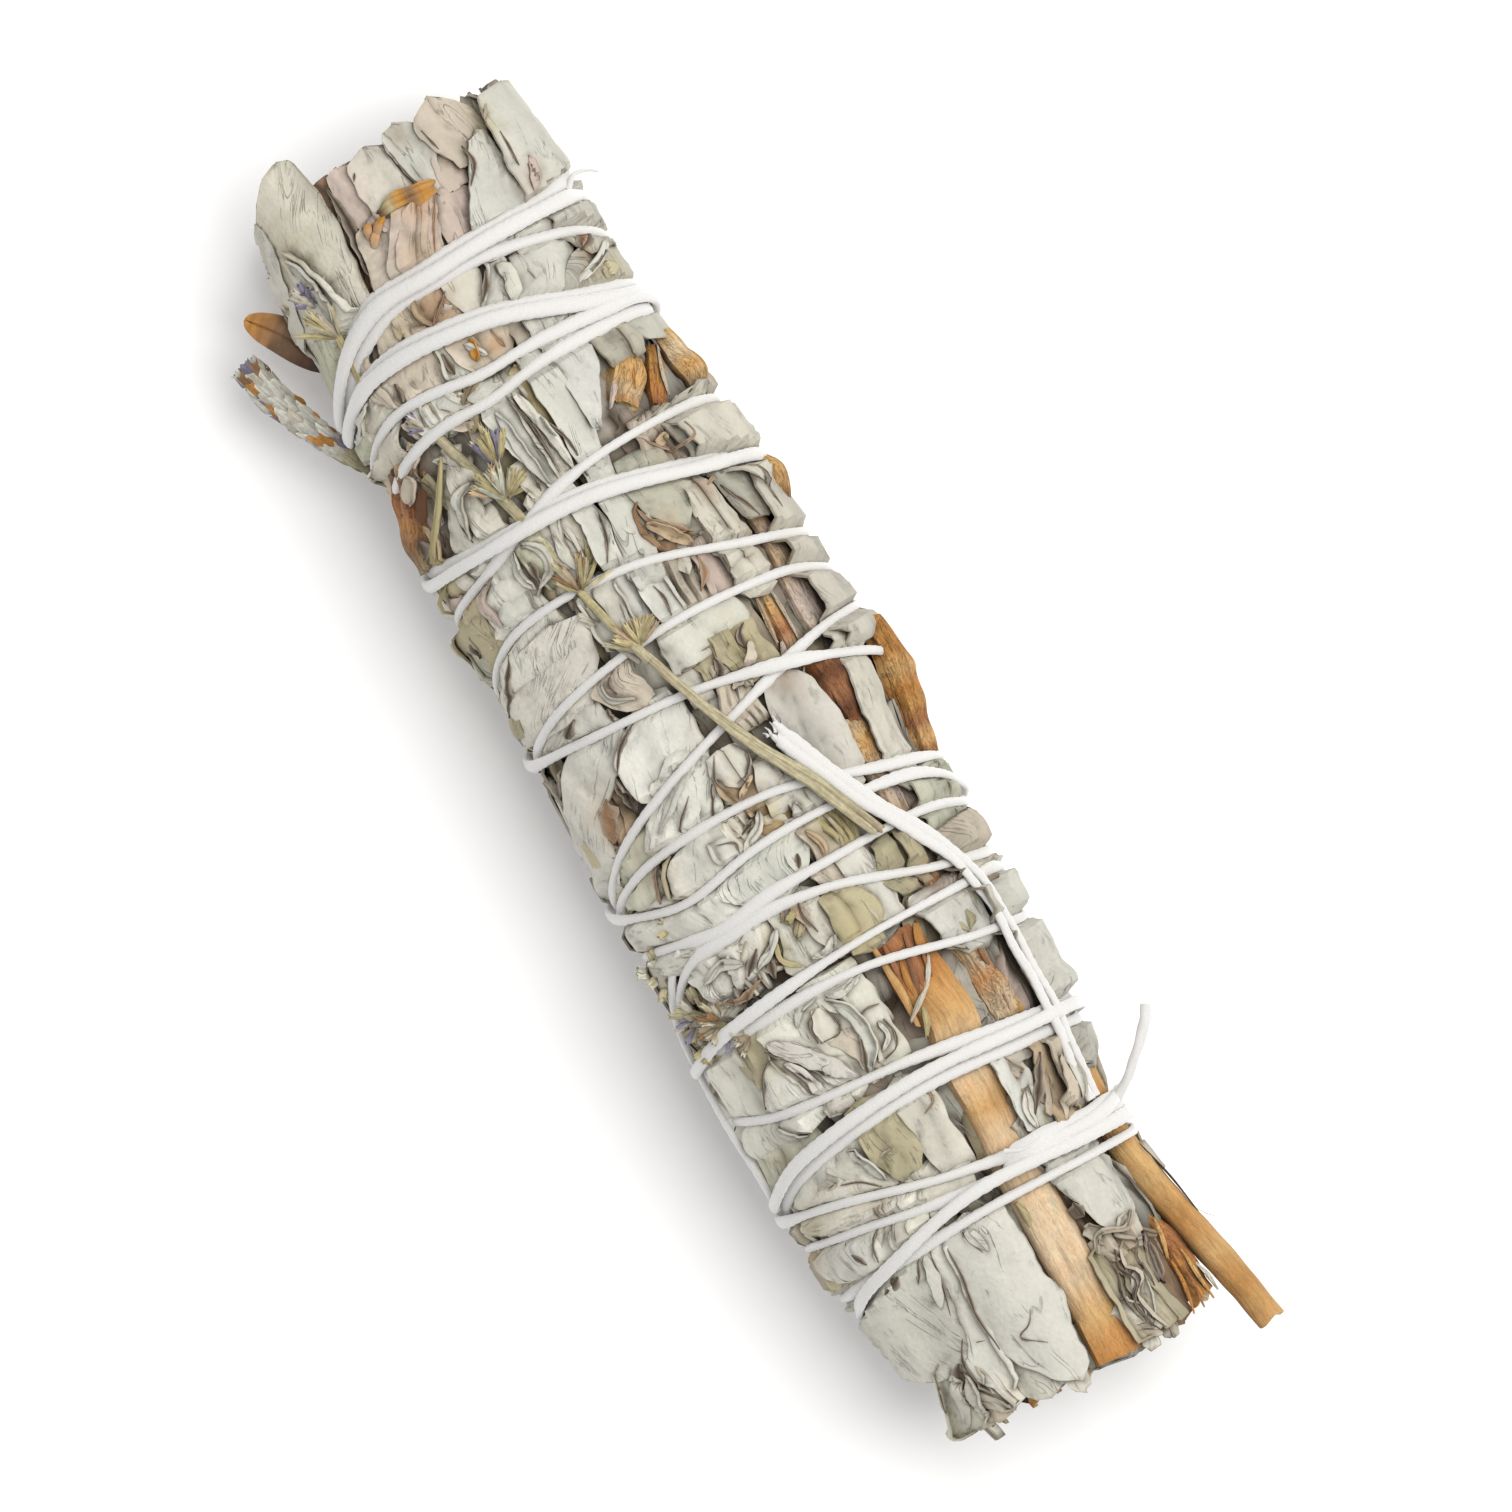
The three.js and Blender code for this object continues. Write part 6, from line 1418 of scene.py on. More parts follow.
def shade_in_gaps(tree, colour, only_own=False):
    """Painted shade in the gaps: a colour turns dark brown where another surface, or its own, is close by."""
    close = add_node(tree, "ShaderNodeAmbientOcclusion", {"Distance": GAP_REACH * MM}, samples=2,
                     only_local=only_own)
    clear = add_node(tree, "ShaderNodeMapRange",
                     {"Value": close.outputs["AO"], "From Min": 0.2, "From Max": 0.72})
    lift = add_node(tree, "ShaderNodeVectorMath",
                    {0: [1 - part for part in GAP_SHADE], "Scale": clear.outputs["Result"]},
                    operation="SCALE")
    share = add_node(tree, "ShaderNodeVectorMath", {0: lift.outputs["Vector"], 1: GAP_SHADE}, operation="ADD")
    return add_node(tree, "ShaderNodeVectorMath", {0: colour, 1: share.outputs["Vector"]},
                    operation="MULTIPLY")


sage_leaf, tree, shader = new_material("dried_white_sage_leaf")
place = add_node(tree, "ShaderNodeTexCoord")
tone = add_node(tree, "ShaderNodeVertexColor", layer_name="tone")
own = add_node(tree, "ShaderNodeUVMap", uv_map="own_mm")
stretched = add_node(tree, "ShaderNodeMapping",
                     {"Vector": own.outputs["UV"],
                      "Scale": (1 / (CREASE_RUN * MM), 1 / (CREASE_APART * MM), 1)})
wander = add_node(tree, "ShaderNodeTexNoise",
                  {"Vector": stretched.outputs["Vector"], "Scale": 1.0, "Detail": 3.0, "Roughness": 0.55,
                   "Distortion": 0.6}, noise_dimensions="2D")
off_line = add_node(tree, "ShaderNodeMath", {0: wander.outputs["Fac"], 1: 0.5}, operation="SUBTRACT")
from_line = add_node(tree, "ShaderNodeMath", {0: off_line.outputs["Value"]}, operation="ABSOLUTE")
crease = add_node(tree, "ShaderNodeMapRange",
                  {"Value": from_line.outputs["Value"], "From Min": 0.0, "From Max": 0.022, "To Min": 0.0,
                   "To Max": 1.0}, interpolation_type="SMOOTHSTEP")
blotches = add_node(tree, "ShaderNodeTexNoise",
                    {"Vector": place.outputs["Object"], "Scale": 1 / (2.4 * MM), "Detail": 4.0,
                     "Roughness": 0.6})
specks = add_node(tree, "ShaderNodeTexNoise",
                  {"Vector": place.outputs["Object"], "Scale": 1 / (0.45 * MM), "Detail": 2.0})
where = add_node(tree, "ShaderNodeMapRange",
                 {"Value": blotches.outputs["Fac"], "From Min": 0.48, "From Max": 0.64, "To Min": 0.0,
                  "To Max": 0.8})
crease_here = add_node(tree, "ShaderNodeMix",
                       {"Factor": where.outputs["Result"], "A": 1.0, "B": crease.outputs["Result"]})
# Painted shade: the leaf is darker along its creases.
crease_shade = add_node(tree, "ShaderNodeMapRange",
                        {"Value": crease_here.outputs["Result"], "To Min": 0.72, "To Max": 1.0})
blotch_shade = add_node(tree, "ShaderNodeMapRange",
                        {"Value": blotches.outputs["Fac"], "From Min": 0.3, "From Max": 0.7, "To Min": 1.04,
                         "To Max": 0.93})
speck_shade = add_node(tree, "ShaderNodeMapRange",
                       {"Value": specks.outputs["Fac"], "From Min": 0.3, "From Max": 0.7, "To Min": 0.96,
                        "To Max": 1.03})
shade = add_node(tree, "ShaderNodeMath",
                 {0: blotch_shade.outputs["Result"], 1: speck_shade.outputs["Result"]},
                 operation="MULTIPLY")
shade = add_node(tree, "ShaderNodeMath", {0: shade.outputs["Value"], 1: crease_shade.outputs["Result"]},
                 operation="MULTIPLY")
wrinkle_way = add_node(tree, "ShaderNodeMapping",
                       {"Vector": own.outputs["UV"],
                        "Scale": (1 / (WRINKLE_RUN * MM), 1 / (WRINKLES_APART * MM), 1)})
wrinkles = add_node(tree, "ShaderNodeTexNoise",
                    {"Vector": wrinkle_way.outputs["Vector"], "Scale": 1.0, "Detail": 3.0,
                     "Roughness": 0.55, "Distortion": 0.9}, noise_dimensions="2D")
wrinkle_off = add_node(tree, "ShaderNodeMath", {0: wrinkles.outputs["Fac"], 1: 0.5}, operation="SUBTRACT")
wrinkle_from = add_node(tree, "ShaderNodeMath", {0: wrinkle_off.outputs["Value"]}, operation="ABSOLUTE")
wrinkle = add_node(tree, "ShaderNodeMapRange",
                   {"Value": wrinkle_from.outputs["Value"], "From Min": 0.0, "From Max": 0.02},
                   interpolation_type="SMOOTHSTEP")
crumpled = add_node(tree, "ShaderNodeTexNoise",
                    {"Vector": place.outputs["Object"], "Scale": 1 / (5.0 * MM), "Detail": 2.0})
crumpled_here = add_node(tree, "ShaderNodeMapRange",
                         {"Value": crumpled.outputs["Fac"], "From Min": 0.53, "From Max": 0.66})
wrinkle_here = add_node(tree, "ShaderNodeMix",
                        {"Factor": crumpled_here.outputs["Result"], "A": 1.0,
                         "B": wrinkle.outputs["Result"]})
# Painted shade: darker along the wrinkles, where the leaf is crumpled.
wrinkle_shade = add_node(tree, "ShaderNodeMapRange",
                         {"Value": wrinkle_here.outputs["Result"], "To Min": 0.76, "To Max": 1.0})
shade = add_node(tree, "ShaderNodeMath", {0: shade.outputs["Value"], 1: wrinkle_shade.outputs["Result"]},
                 operation="MULTIPLY")
coloured = add_node(tree, "ShaderNodeVectorMath",
                    {0: tone.outputs["Color"], "Scale": shade.outputs["Value"]}, operation="SCALE")
# Painted shade where leaves lie close together.
gap_shaded = shade_in_gaps(tree, coloured.outputs["Vector"], only_own=True)
tree.links.new(gap_shaded.outputs["Vector"], shader.inputs["Base Color"])
veins = add_node(tree, "ShaderNodeTexVoronoi", {"Vector": place.outputs["Object"], "Scale": 1 / (0.55 * MM)},
                 feature="SMOOTH_F1")
skin_height = add_node(tree, "ShaderNodeMath", {0: veins.outputs["Distance"], 1: specks.outputs["Fac"]},
                       operation="ADD")
skin_fine = add_node(tree, "ShaderNodeBump",
                     {"Height": skin_height.outputs["Value"], "Distance": 0.00012, "Strength": 0.6})
skin = add_node(tree, "ShaderNodeBump",
                {"Height": wrinkle_here.outputs["Result"], "Distance": 0.0002, "Strength": 0.8,
                 "Normal": skin_fine.outputs["Normal"]})
creased = add_node(tree, "ShaderNodeBump",
                   {"Height": crease_here.outputs["Result"], "Distance": 0.0003, "Strength": 0.7,
                    "Normal": skin.outputs["Normal"]})
tree.links.new(creased.outputs["Normal"], shader.inputs["Normal"])
shader.inputs["Roughness"].default_value = 0.92
shader.inputs["Specular IOR Level"].default_value = 0.2
shader.inputs["Sheen Weight"].default_value = 0.08
shader.inputs["Sheen Roughness"].default_value = 0.5
shader.inputs["Sheen Tint"].default_value = rgba("#efede2")
print("material", sage_leaf.name)

# %% Sprigs
LEAF_THICKNESS = 0.26
for index in range(SPRIGS):
    sprig = piece_from(f"sage_leaves_{index + 1}", leaves_of[index])
    thicken(sprig, LEAF_THICKNESS)
    finish_piece(sprig, sage_leaf, [f"sage_sprig_{index + 1}"], smooth_angle=38)

# %% [markdown]
# ## The crushed middle
# Between the leaves one looks down on crushed leaf, painted dark brown as the shade deep in the gaps. It is a
# cylinder that is cut into rings in edit mode, and then follows the roll 3.7 mm under the string's outer
# side.

# %% Crushed leaf bed
BED_SIDES = 96
BED_CUTS = 110
BED_DEPTH = 3.7
BED_ENDS = (-67.0, 66.0)
BED_SEED = 77
BED_HALF = 14  # mm, half its mean width
BED_WAVES = 9
BED_WAVE = 0.28  # mm
BED_ROUND_OVER = 0.04  # share of its length over which each end is rounded
BED_ROUND_BY = 4.5  # mm
BED_MIDDLE = (0, 0.3, 14.5)  # mm, where its end faces meet in a point


def cut_into_rings(piece, cuts):
    """Subdivides the edges that run along a cylinder."""
    bpy.ops.mesh.select_mode(type="EDGE")
    mesh = bmesh.from_edit_mesh(piece.data)
    for edge in mesh.edges:
        edge.select_set(abs(edge.verts[0].co.z - edge.verts[1].co.z) > MM)
    bmesh.update_edit_mesh(piece.data)
    bpy.ops.mesh.subdivide(number_cuts=cuts)


bpy.ops.object.select_all(action="DESELECT")
bpy.ops.mesh.primitive_cylinder_add(vertices=BED_SIDES, radius=1 * MM, depth=2 * MM, end_fill_type="TRIFAN")
bed = bpy.context.object
bed.name = "crushed_leaf_bed"
edit(bed)
cut_into_rings(bed, BED_CUTS)
leave_edit()
points, faces = read_mesh(bed)
take_away(bed)
bed_random = np.random.default_rng(BED_SEED)
along = points[:, 2] / 2 + 0.5
radial = np.hypot(points[:, 0], points[:, 1])
degrees = np.degrees(np.arctan2(points[:, 1], points[:, 0]))
x = BED_ENDS[0] + (BED_ENDS[1] - BED_ENDS[0]) * along
s = np.radians(degrees) * BED_HALF
rough = sum(BED_WAVE
            * np.sin(x * bed_random.uniform(0.5, 2.4) + np.radians(degrees) * bed_random.integers(3, 22)
                     + bed_random.uniform(0, 6)) for _ in range(BED_WAVES))
depth = BED_DEPTH + 0.8 * rough
ends = np.clip(np.minimum(along, 1 - along) / BED_ROUND_OVER, 0, 1)
depth = depth + BED_ROUND_BY * (1 - np.sqrt(1 - (1 - ends) ** 2))
depth = np.where(radial < 0.5, section(x)[1] - 0.4, depth)
bed_points = on_bundle(x, degrees, depth)
tops = radial < 0.5
bed_points[tops] = bed_points[tops] * np.array((1, 0, 0)) + np.array(BED_MIDDLE)
# Painted shade: dark brown all over, and lighter where it rises higher.
bed_colours = TONES["dark"][None, :] * (0.8 + 0.45 * np.clip(-rough, -0.6, 0.6))[:, None]
bed_own = np.stack((x, s), axis=1)
bed = piece_from("crushed_leaf_bed", [(bed_points, faces, bed_colours, bed_own)])
only(bed)
edit(bed)
bpy.ops.mesh.select_all(action="SELECT")
bpy.ops.mesh.normals_make_consistent(inside=False)
leave_edit()
finish_piece(bed, sage_leaf)

# %% [markdown]
# ## The string itself
# White cotton string about 1 mm thick, laid from three soft yarns. It is a tube along the way found
# above, whose section has three low lobes that turn as it goes, and loose fibres stand off it.


# %% A tube along a way
def sweep(way, ups, sides, radius_at, flatness=1.0):
    """A closed tube along points in mm: points, faces, own measures. radius_at(angles, steps) gives radii."""
    ahead = np.gradient(way, axis=0)
    ahead /= np.linalg.norm(ahead, axis=1, keepdims=True)
    side = np.cross(ups, ahead)
    side /= np.linalg.norm(side, axis=1, keepdims=True)
    up = np.cross(ahead, side)
    angles = 2 * math.pi * np.arange(sides) / sides
    steps = np.arange(len(way))
    radii = radius_at(angles[None, :], steps[:, None]) * np.ones((len(way), sides))
    outward = radii * np.broadcast_to(flatness, (len(way), 1)) * np.cos(angles)
    rings = (way[:, None, :] + side[:, None, :] * (radii * np.sin(angles))[..., None]
             + up[:, None, :] * outward[..., None])
    count = len(way)
    first = np.arange((count - 1) * sides).reshape(count - 1, sides)
    turned = np.roll(first, -1, axis=1)
    faces = np.stack((first, first + sides, turned + sides, turned), axis=-1).reshape(-1, 4).tolist()
    faces.append(list(range(sides)))
    faces.append(list(range(count * sides - 1, (count - 1) * sides - 1, -1)))
    run = np.concatenate(((0,), np.cumsum(np.linalg.norm(np.diff(way, axis=0), axis=1))))
    own = np.stack(np.broadcast_arrays(run[:, None], angles[None, :] * radii.mean()), axis=-1)
    return rings.reshape(-1, 3), faces, own.reshape(-1, 2)


# %% Wind the string
STRING_SIDES = 9
LAY_LENGTH = 3.6  # mm for one turn of its yarns
LOBE = 0.09
STRING_FLATNESS = 0.8
STRING_SEED = 5
FLUFFY_BEFORE = -36  # mm along, towards the leaf tips
FLUFFY_OVER = 6
FLUFFY_BY = 0.2
string_random = np.random.default_rng(STRING_SEED)


def uneven(count, spacing, amount, random):
    """A slow random change along a length, as shares round 1."""
    coarse = random.normal(0, amount, max(4, int(count / spacing) + 3))
    return 1 + np.interp(np.arange(count) / spacing, np.arange(len(coarse)), coarse)


def cotton_radius(count, radius, step_mm, random, x=None):
    """Gives the radii round a strand, whose low lobes turn along it. It is fluffier by its x, where given."""
    thick = 1 if x is None else strand_width(x)
    thick = thick * uneven(count, 16, 0.05, random) * uneven(count, 5, 0.03, random)

    def radius_at(angles, steps):
        turn = 2 * math.pi * steps * step_mm / LAY_LENGTH
        return radius * thick[steps] * (1 - LOBE + LOBE * 1.4 * np.abs(np.cos(1.5 * (angles - turn))))

    return radius_at


def strand_width(x):
    """The string is fluffier towards the leaf tips."""
    return 1 + FLUFFY_BY * np.clip((FLUFFY_BEFORE - x) / FLUFFY_OVER, 0, 1)


def bundle_up(points, x):
    """The way outwards from the roll's middle line."""
    middle, half = section(x)
    axis = np.stack((x, middle, HEIGHT_SHARE * half - REST_SINK), axis=-1) - ORIGIN
    away = points - axis
    return away / np.linalg.norm(away, axis=1, keepdims=True)


# Soft strands that lie beside each other spread until they touch.
SPREAD_WITHIN = 2.1  # mm between two strands' middles
SPREAD_MOST = 1.45
SPREAD_FADE = 0.5  # mm
SPREAD_OVERLAP = 0.14  # mm that they press into each other
SPREAD_EASE = 6  # samples to each side over which it changes
ALONG_APART = 25  # samples
strand_tree = KDTree(len(string_way))
for index, place in enumerate(string_way):
    strand_tree.insert(place, index)
strand_tree.balance()
spread = np.ones(len(string_way))
for index, place in enumerate(string_way):
    near = [hit[2] for hit in strand_tree.find_range(place, SPREAD_WITHIN)
            if abs(hit[1] - index) > ALONG_APART]
    if near:
        fade = min(1.0, (SPREAD_WITHIN - min(near)) / SPREAD_FADE)
        wanted = (min(near) / 2 + SPREAD_OVERLAP) / STRING_RADIUS
        spread[index] = 1 + fade * (min(max(wanted, 1.0), SPREAD_MOST) - 1)
easing = np.hanning(2 * SPREAD_EASE + 3)
spread = np.convolve(np.pad(spread, SPREAD_EASE, mode="edge"), easing[1:-1] / easing.sum(), mode="valid")
plain_radius = cotton_radius(len(string_way), STRING_RADIUS, STRING_STEP_MM, string_random, string_x)
string_parts = []


def keep_cotton(swept):
    """Keeps a tube as a part of the string. Its material alone gives the colour."""
    rings, faces, own = swept
    string_parts.append((rings, faces, np.ones((len(rings), 3)), own))


keep_cotton(sweep(string_way, bundle_up(string_way, string_x), STRING_SIDES,
                  lambda angles, steps: plain_radius(angles, steps) * spread[steps],
                  STRING_FLATNESS / spread[:, None]))

# The doubled start of the string lies over the winding, frayed at its end.
TAG_STEP_MM = 0.34
TAG_WIDE_AT = (TAG[0][0], TAG[0][0] + 1.4, 4, 16, 24)  # x
TAG_WIDE = (0.45, 1.45, 1.6, 1.35, 1.2)
TAG_UNEVEN = 0.5  # mm that one strand ends sooner
for side in (-1, 1):
    apart = side * TAG_SPREAD * (1 + 0.15 * np.sin(tag_x * 0.9))
    y = tag_y + apart
    way = on_bundle(tag_x - TAG_UNEVEN * side * (tag_x < TAG[0][0] + 1), angle_at(tag_x, y, TAG_DEPTH),
                    TAG_DEPTH + 0.06 * side)
    wide = np.interp(tag_x, TAG_WIDE_AT, TAG_WIDE)
    tag_radius = cotton_radius(len(way), STRING_RADIUS, TAG_STEP_MM, string_random)
    keep_cotton(sweep(way, bundle_up(way, tag_x), STRING_SIDES,
                      lambda angles, steps: tag_radius(angles, steps) * wide[steps],
                      STRING_FLATNESS / wide[:, None]))


FIBRE_SIDES = 5
FIBRE_TIP = 0.25  # its radius there, as a share of that at its root


def lay_fibre(points, radius):
    """A few loose fibres of the string, as a thin tapered tube through points in mm."""
    way = curve(points, np.linspace(0, len(points) - 1, 3 * len(points))) - ORIGIN
    thin = radius * np.linspace(1, FIBRE_TIP, len(way))
    ups = np.tile((0.1, 0.0, 1.0), (len(way), 1))
    keep_cotton(sweep(way, ups, FIBRE_SIDES, lambda angles, steps: thin[steps]))


TAG_END = on_bundle(TAG[0][0], angle_at(TAG[0][0], TAG[0][1], TAG_DEPTH), TAG_DEPTH) + ORIGIN
# To the side, length and radius
TAG_FIBRES = ((-0.75, 0.1, 0.22), (-0.4, 0.5, 0.2), (0.1, 0.7, 0.2), (0.5, 1.1, 0.24))
for turn_out, length, thick in TAG_FIBRES:
    start = TAG_END + np.array((0.5, turn_out, -0.1))
    end = TAG_END + np.array((-length, turn_out * 1.35, -0.35))
    lay_fibre([start, (start + end) / 2 + np.array((0, 0.12, 0.12)), end], thick)
LOOSE_X, LOOSE_Y, LOOSE_DEPTH = -57.6, 15.2, 0.4  # of a fibre near the leaf tips, at its root
LOOSE_WAY = ((0, 0, 0), (-1.1, 1.4, -0.8), (-0.8, 2.8, -1.6), (-0.1, 3.7, -2.1))
LOOSE_RADIUS = 0.36
KNOT_FIBRE = ((46.6, 2.6, 32.6), (47.4, 4.4, 32.6), (47.2, 6.4, 32.2))
KNOT_FIBRE_RADIUS = 0.3
loose_root = on_bundle(LOOSE_X, angle_at(LOOSE_X, LOOSE_Y, LOOSE_DEPTH), LOOSE_DEPTH) + ORIGIN
lay_fibre([loose_root + np.array(step) for step in LOOSE_WAY], LOOSE_RADIUS)
lay_fibre(KNOT_FIBRE, KNOT_FIBRE_RADIUS)

# The string's knot is a soft flat pad where three strands pull together: x, y, depth and half its width.
KNOT_PAD = ((48.5, 1.6, 0.4, 0.4), (48.2, 3.2, -0.1, 1.4), (48.0, 5.4, -0.3, 1.6), (48.4, 9.0, -0.25, 1.4),
            (48.5, 12.2, -0.2, 1.3), (48.6, 15.0, 0.1, 1.1), (48.8, 16.6, 0.5, 0.7))
PAD_SIDES = 14
PAD_THICK = 0.42  # mm, half its thickness
pad_at = np.linspace(0, len(KNOT_PAD) - 1, 40)
pad_x, pad_y, pad_depth, pad_half = curve(KNOT_PAD, pad_at).T
way = on_bundle(pad_x, angle_at(pad_x, pad_y, pad_depth), pad_depth)


def pad_radius(angles, steps):
    return pad_half[steps] * (1 + 0.1 * np.sin(3 * angles + steps * 0.5))


keep_cotton(sweep(way, bundle_up(way, pad_x), PAD_SIDES, pad_radius, PAD_THICK / pad_half[:, None]))

# One turn runs along the lower side before it goes under the stick.
EDGE_RUN = ((13.2, -14.6, 0.4), (15.2, -16.8, 0.2), (19, -18.6, 0.0), (24, -19.4, -0.3), (30, -19.8, -0.5),
            (36, -19.6, -0.5), (40.4, -19.8, -0.2))
EDGE_STEP_MM = 0.36
edge_at = np.linspace(0, len(EDGE_RUN) - 1, 80)
edge_x, edge_y, edge_depth = curve(EDGE_RUN, edge_at).T
way = on_bundle(edge_x, angle_at(edge_x, edge_y, edge_depth), edge_depth)
edge_radius = cotton_radius(len(way), STRING_RADIUS, EDGE_STEP_MM, string_random)
keep_cotton(sweep(way, bundle_up(way, edge_x), STRING_SIDES, edge_radius, STRING_FLATNESS))

# Its short free end sticks out beside the knot.
TAIL = ((48.9, 13.6, 19.2), (48.6, 14.4, 19.6), (47.4, 16.6, 20.4), (45.6, 18.8, 20.8), (43.6, 21.0, 20.6),
        (41.9, 22.3, 20.0))
TAIL_RADII = (0.6, 0.55, 0.5, 0.5, 0.62, 0.55)
tail_at = np.linspace(0, len(TAIL) - 1, 44)
tail = curve(TAIL, tail_at) - ORIGIN
tail_radii = np.interp(tail_at, np.arange(len(TAIL)), TAIL_RADII)


def tail_radius(angles, steps):
    return tail_radii[steps] * (1 + 0.08 * np.cos(3 * angles - steps * 0.7))


keep_cotton(sweep(tail, np.tile((0.0, 0.0, 1.0), (len(tail), 1)), STRING_SIDES, tail_radius))
print("string parts:", len(string_parts))

# %% Cotton
# Cotton string, bleached and twisted: soft, white and quite matte, with a fuzzy edge.
cotton, tree, shader = new_material("bleached_cotton_string")
place = add_node(tree, "ShaderNodeTexCoord")
fibres = add_node(tree, "ShaderNodeTexNoise",
                  {"Vector": place.outputs["Object"], "Scale": 1 / (0.22 * MM), "Detail": 3.0})
whiteness = add_node(tree, "ShaderNodeMapRange",
                     {"Value": fibres.outputs["Fac"], "From Min": 0.3, "From Max": 0.7, "To Min": 0.93,
                      "To Max": 1.02})
cotton_white = add_node(tree, "ShaderNodeVectorMath",
                        {0: rgba("#d1cfcc")[:3], "Scale": whiteness.outputs["Result"]}, operation="SCALE")
tree.links.new(cotton_white.outputs["Vector"], shader.inputs["Base Color"])
fuzz_bump = add_node(tree, "ShaderNodeBump",
                     {"Height": fibres.outputs["Fac"], "Distance": 0.0001, "Strength": 0.5})
tree.links.new(fuzz_bump.outputs["Normal"], shader.inputs["Normal"])
shader.inputs["Roughness"].default_value = 0.95
shader.inputs["Specular IOR Level"].default_value = 0.2
shader.inputs["Sheen Weight"].default_value = 0.9
shader.inputs["Sheen Roughness"].default_value = 0.5
string_piece = piece_from("cotton_winding", string_parts)
finish_piece(string_piece, cotton, ["cotton_string"], smooth_angle=80)

# %% [markdown]
# ## Stems and twigs
# Sage stems are woody, squarish and ridged along their length. One stem is modelled: a cylinder that is cut
# into rings and whose two ends are inset for the bark and sunk for the soft pith. Each copy follows its own
# way, is flattened where the real one is split, and breaks off at an uneven end.


# %% Model one stem
STEM_SIDES = 18
STEM_CUTS = 44
SPLINTER_SIDES = 7
SPLINTER_CUTS = 12
BARK_INSET = 0.34
BARK_SLOPE = 0.08
PITH_SINK = 0.3


def select_faces(piece, wanted):
    """Selects the faces of which the middle and the normal pass a test."""
    bpy.ops.mesh.select_mode(type="FACE")
    bpy.ops.mesh.select_all(action="DESELECT")
    mesh = bmesh.from_edit_mesh(piece.data)
    mesh.normal_update()
    for face in mesh.faces:
        face.select_set(bool(wanted(face.calc_center_median(), face.normal)))
    bmesh.update_edit_mesh(piece.data)


def model_stem(sides, cuts):
    """A stem of radius 1 mm. Its rings are given as shares of its length, its pith as mm from its end."""
    bpy.ops.object.select_all(action="DESELECT")
    bpy.ops.mesh.primitive_cylinder_add(vertices=sides, radius=MM, depth=2 * MM)
    stem = bpy.context.object
    edit(stem)
    cut_into_rings(stem, cuts)
    for end in (-1, 1):
        select_faces(stem, lambda middle, normal: normal.z * end > 0.9)
        bpy.ops.mesh.inset(thickness=BARK_INSET * MM)
        bpy.ops.mesh.inset(thickness=BARK_SLOPE * MM)
        bpy.ops.transform.translate(value=(0, 0, -end * PITH_SINK * MM))
        bpy.ops.mesh.poke()
    leave_edit()
    points, faces = read_mesh(stem)
    take_away(stem)
    radial = np.hypot(points[:, 0], points[:, 1])
    at_end = radial < 0.9
    return {
        "along": np.where(at_end, points[:, 2] > 0, points[:, 2] / 2 + 0.5).astype(float),
        "sunk": np.where(at_end, 1 - np.abs(points[:, 2]), 0.0),
        "radial": radial,
        "turn": np.arctan2(points[:, 1], points[:, 0]),
        "faces": faces,
    }


stem_shape = model_stem(STEM_SIDES, STEM_CUTS)
splinter_shape = model_stem(SPLINTER_SIDES, SPLINTER_CUTS)
print("stem:", len(stem_shape["faces"]), "faces, splinter:", len(splinter_shape["faces"]))

# %% Lay a stem along its way
PITH_TONE = np.array(rgba("#dcc79b")[:3])


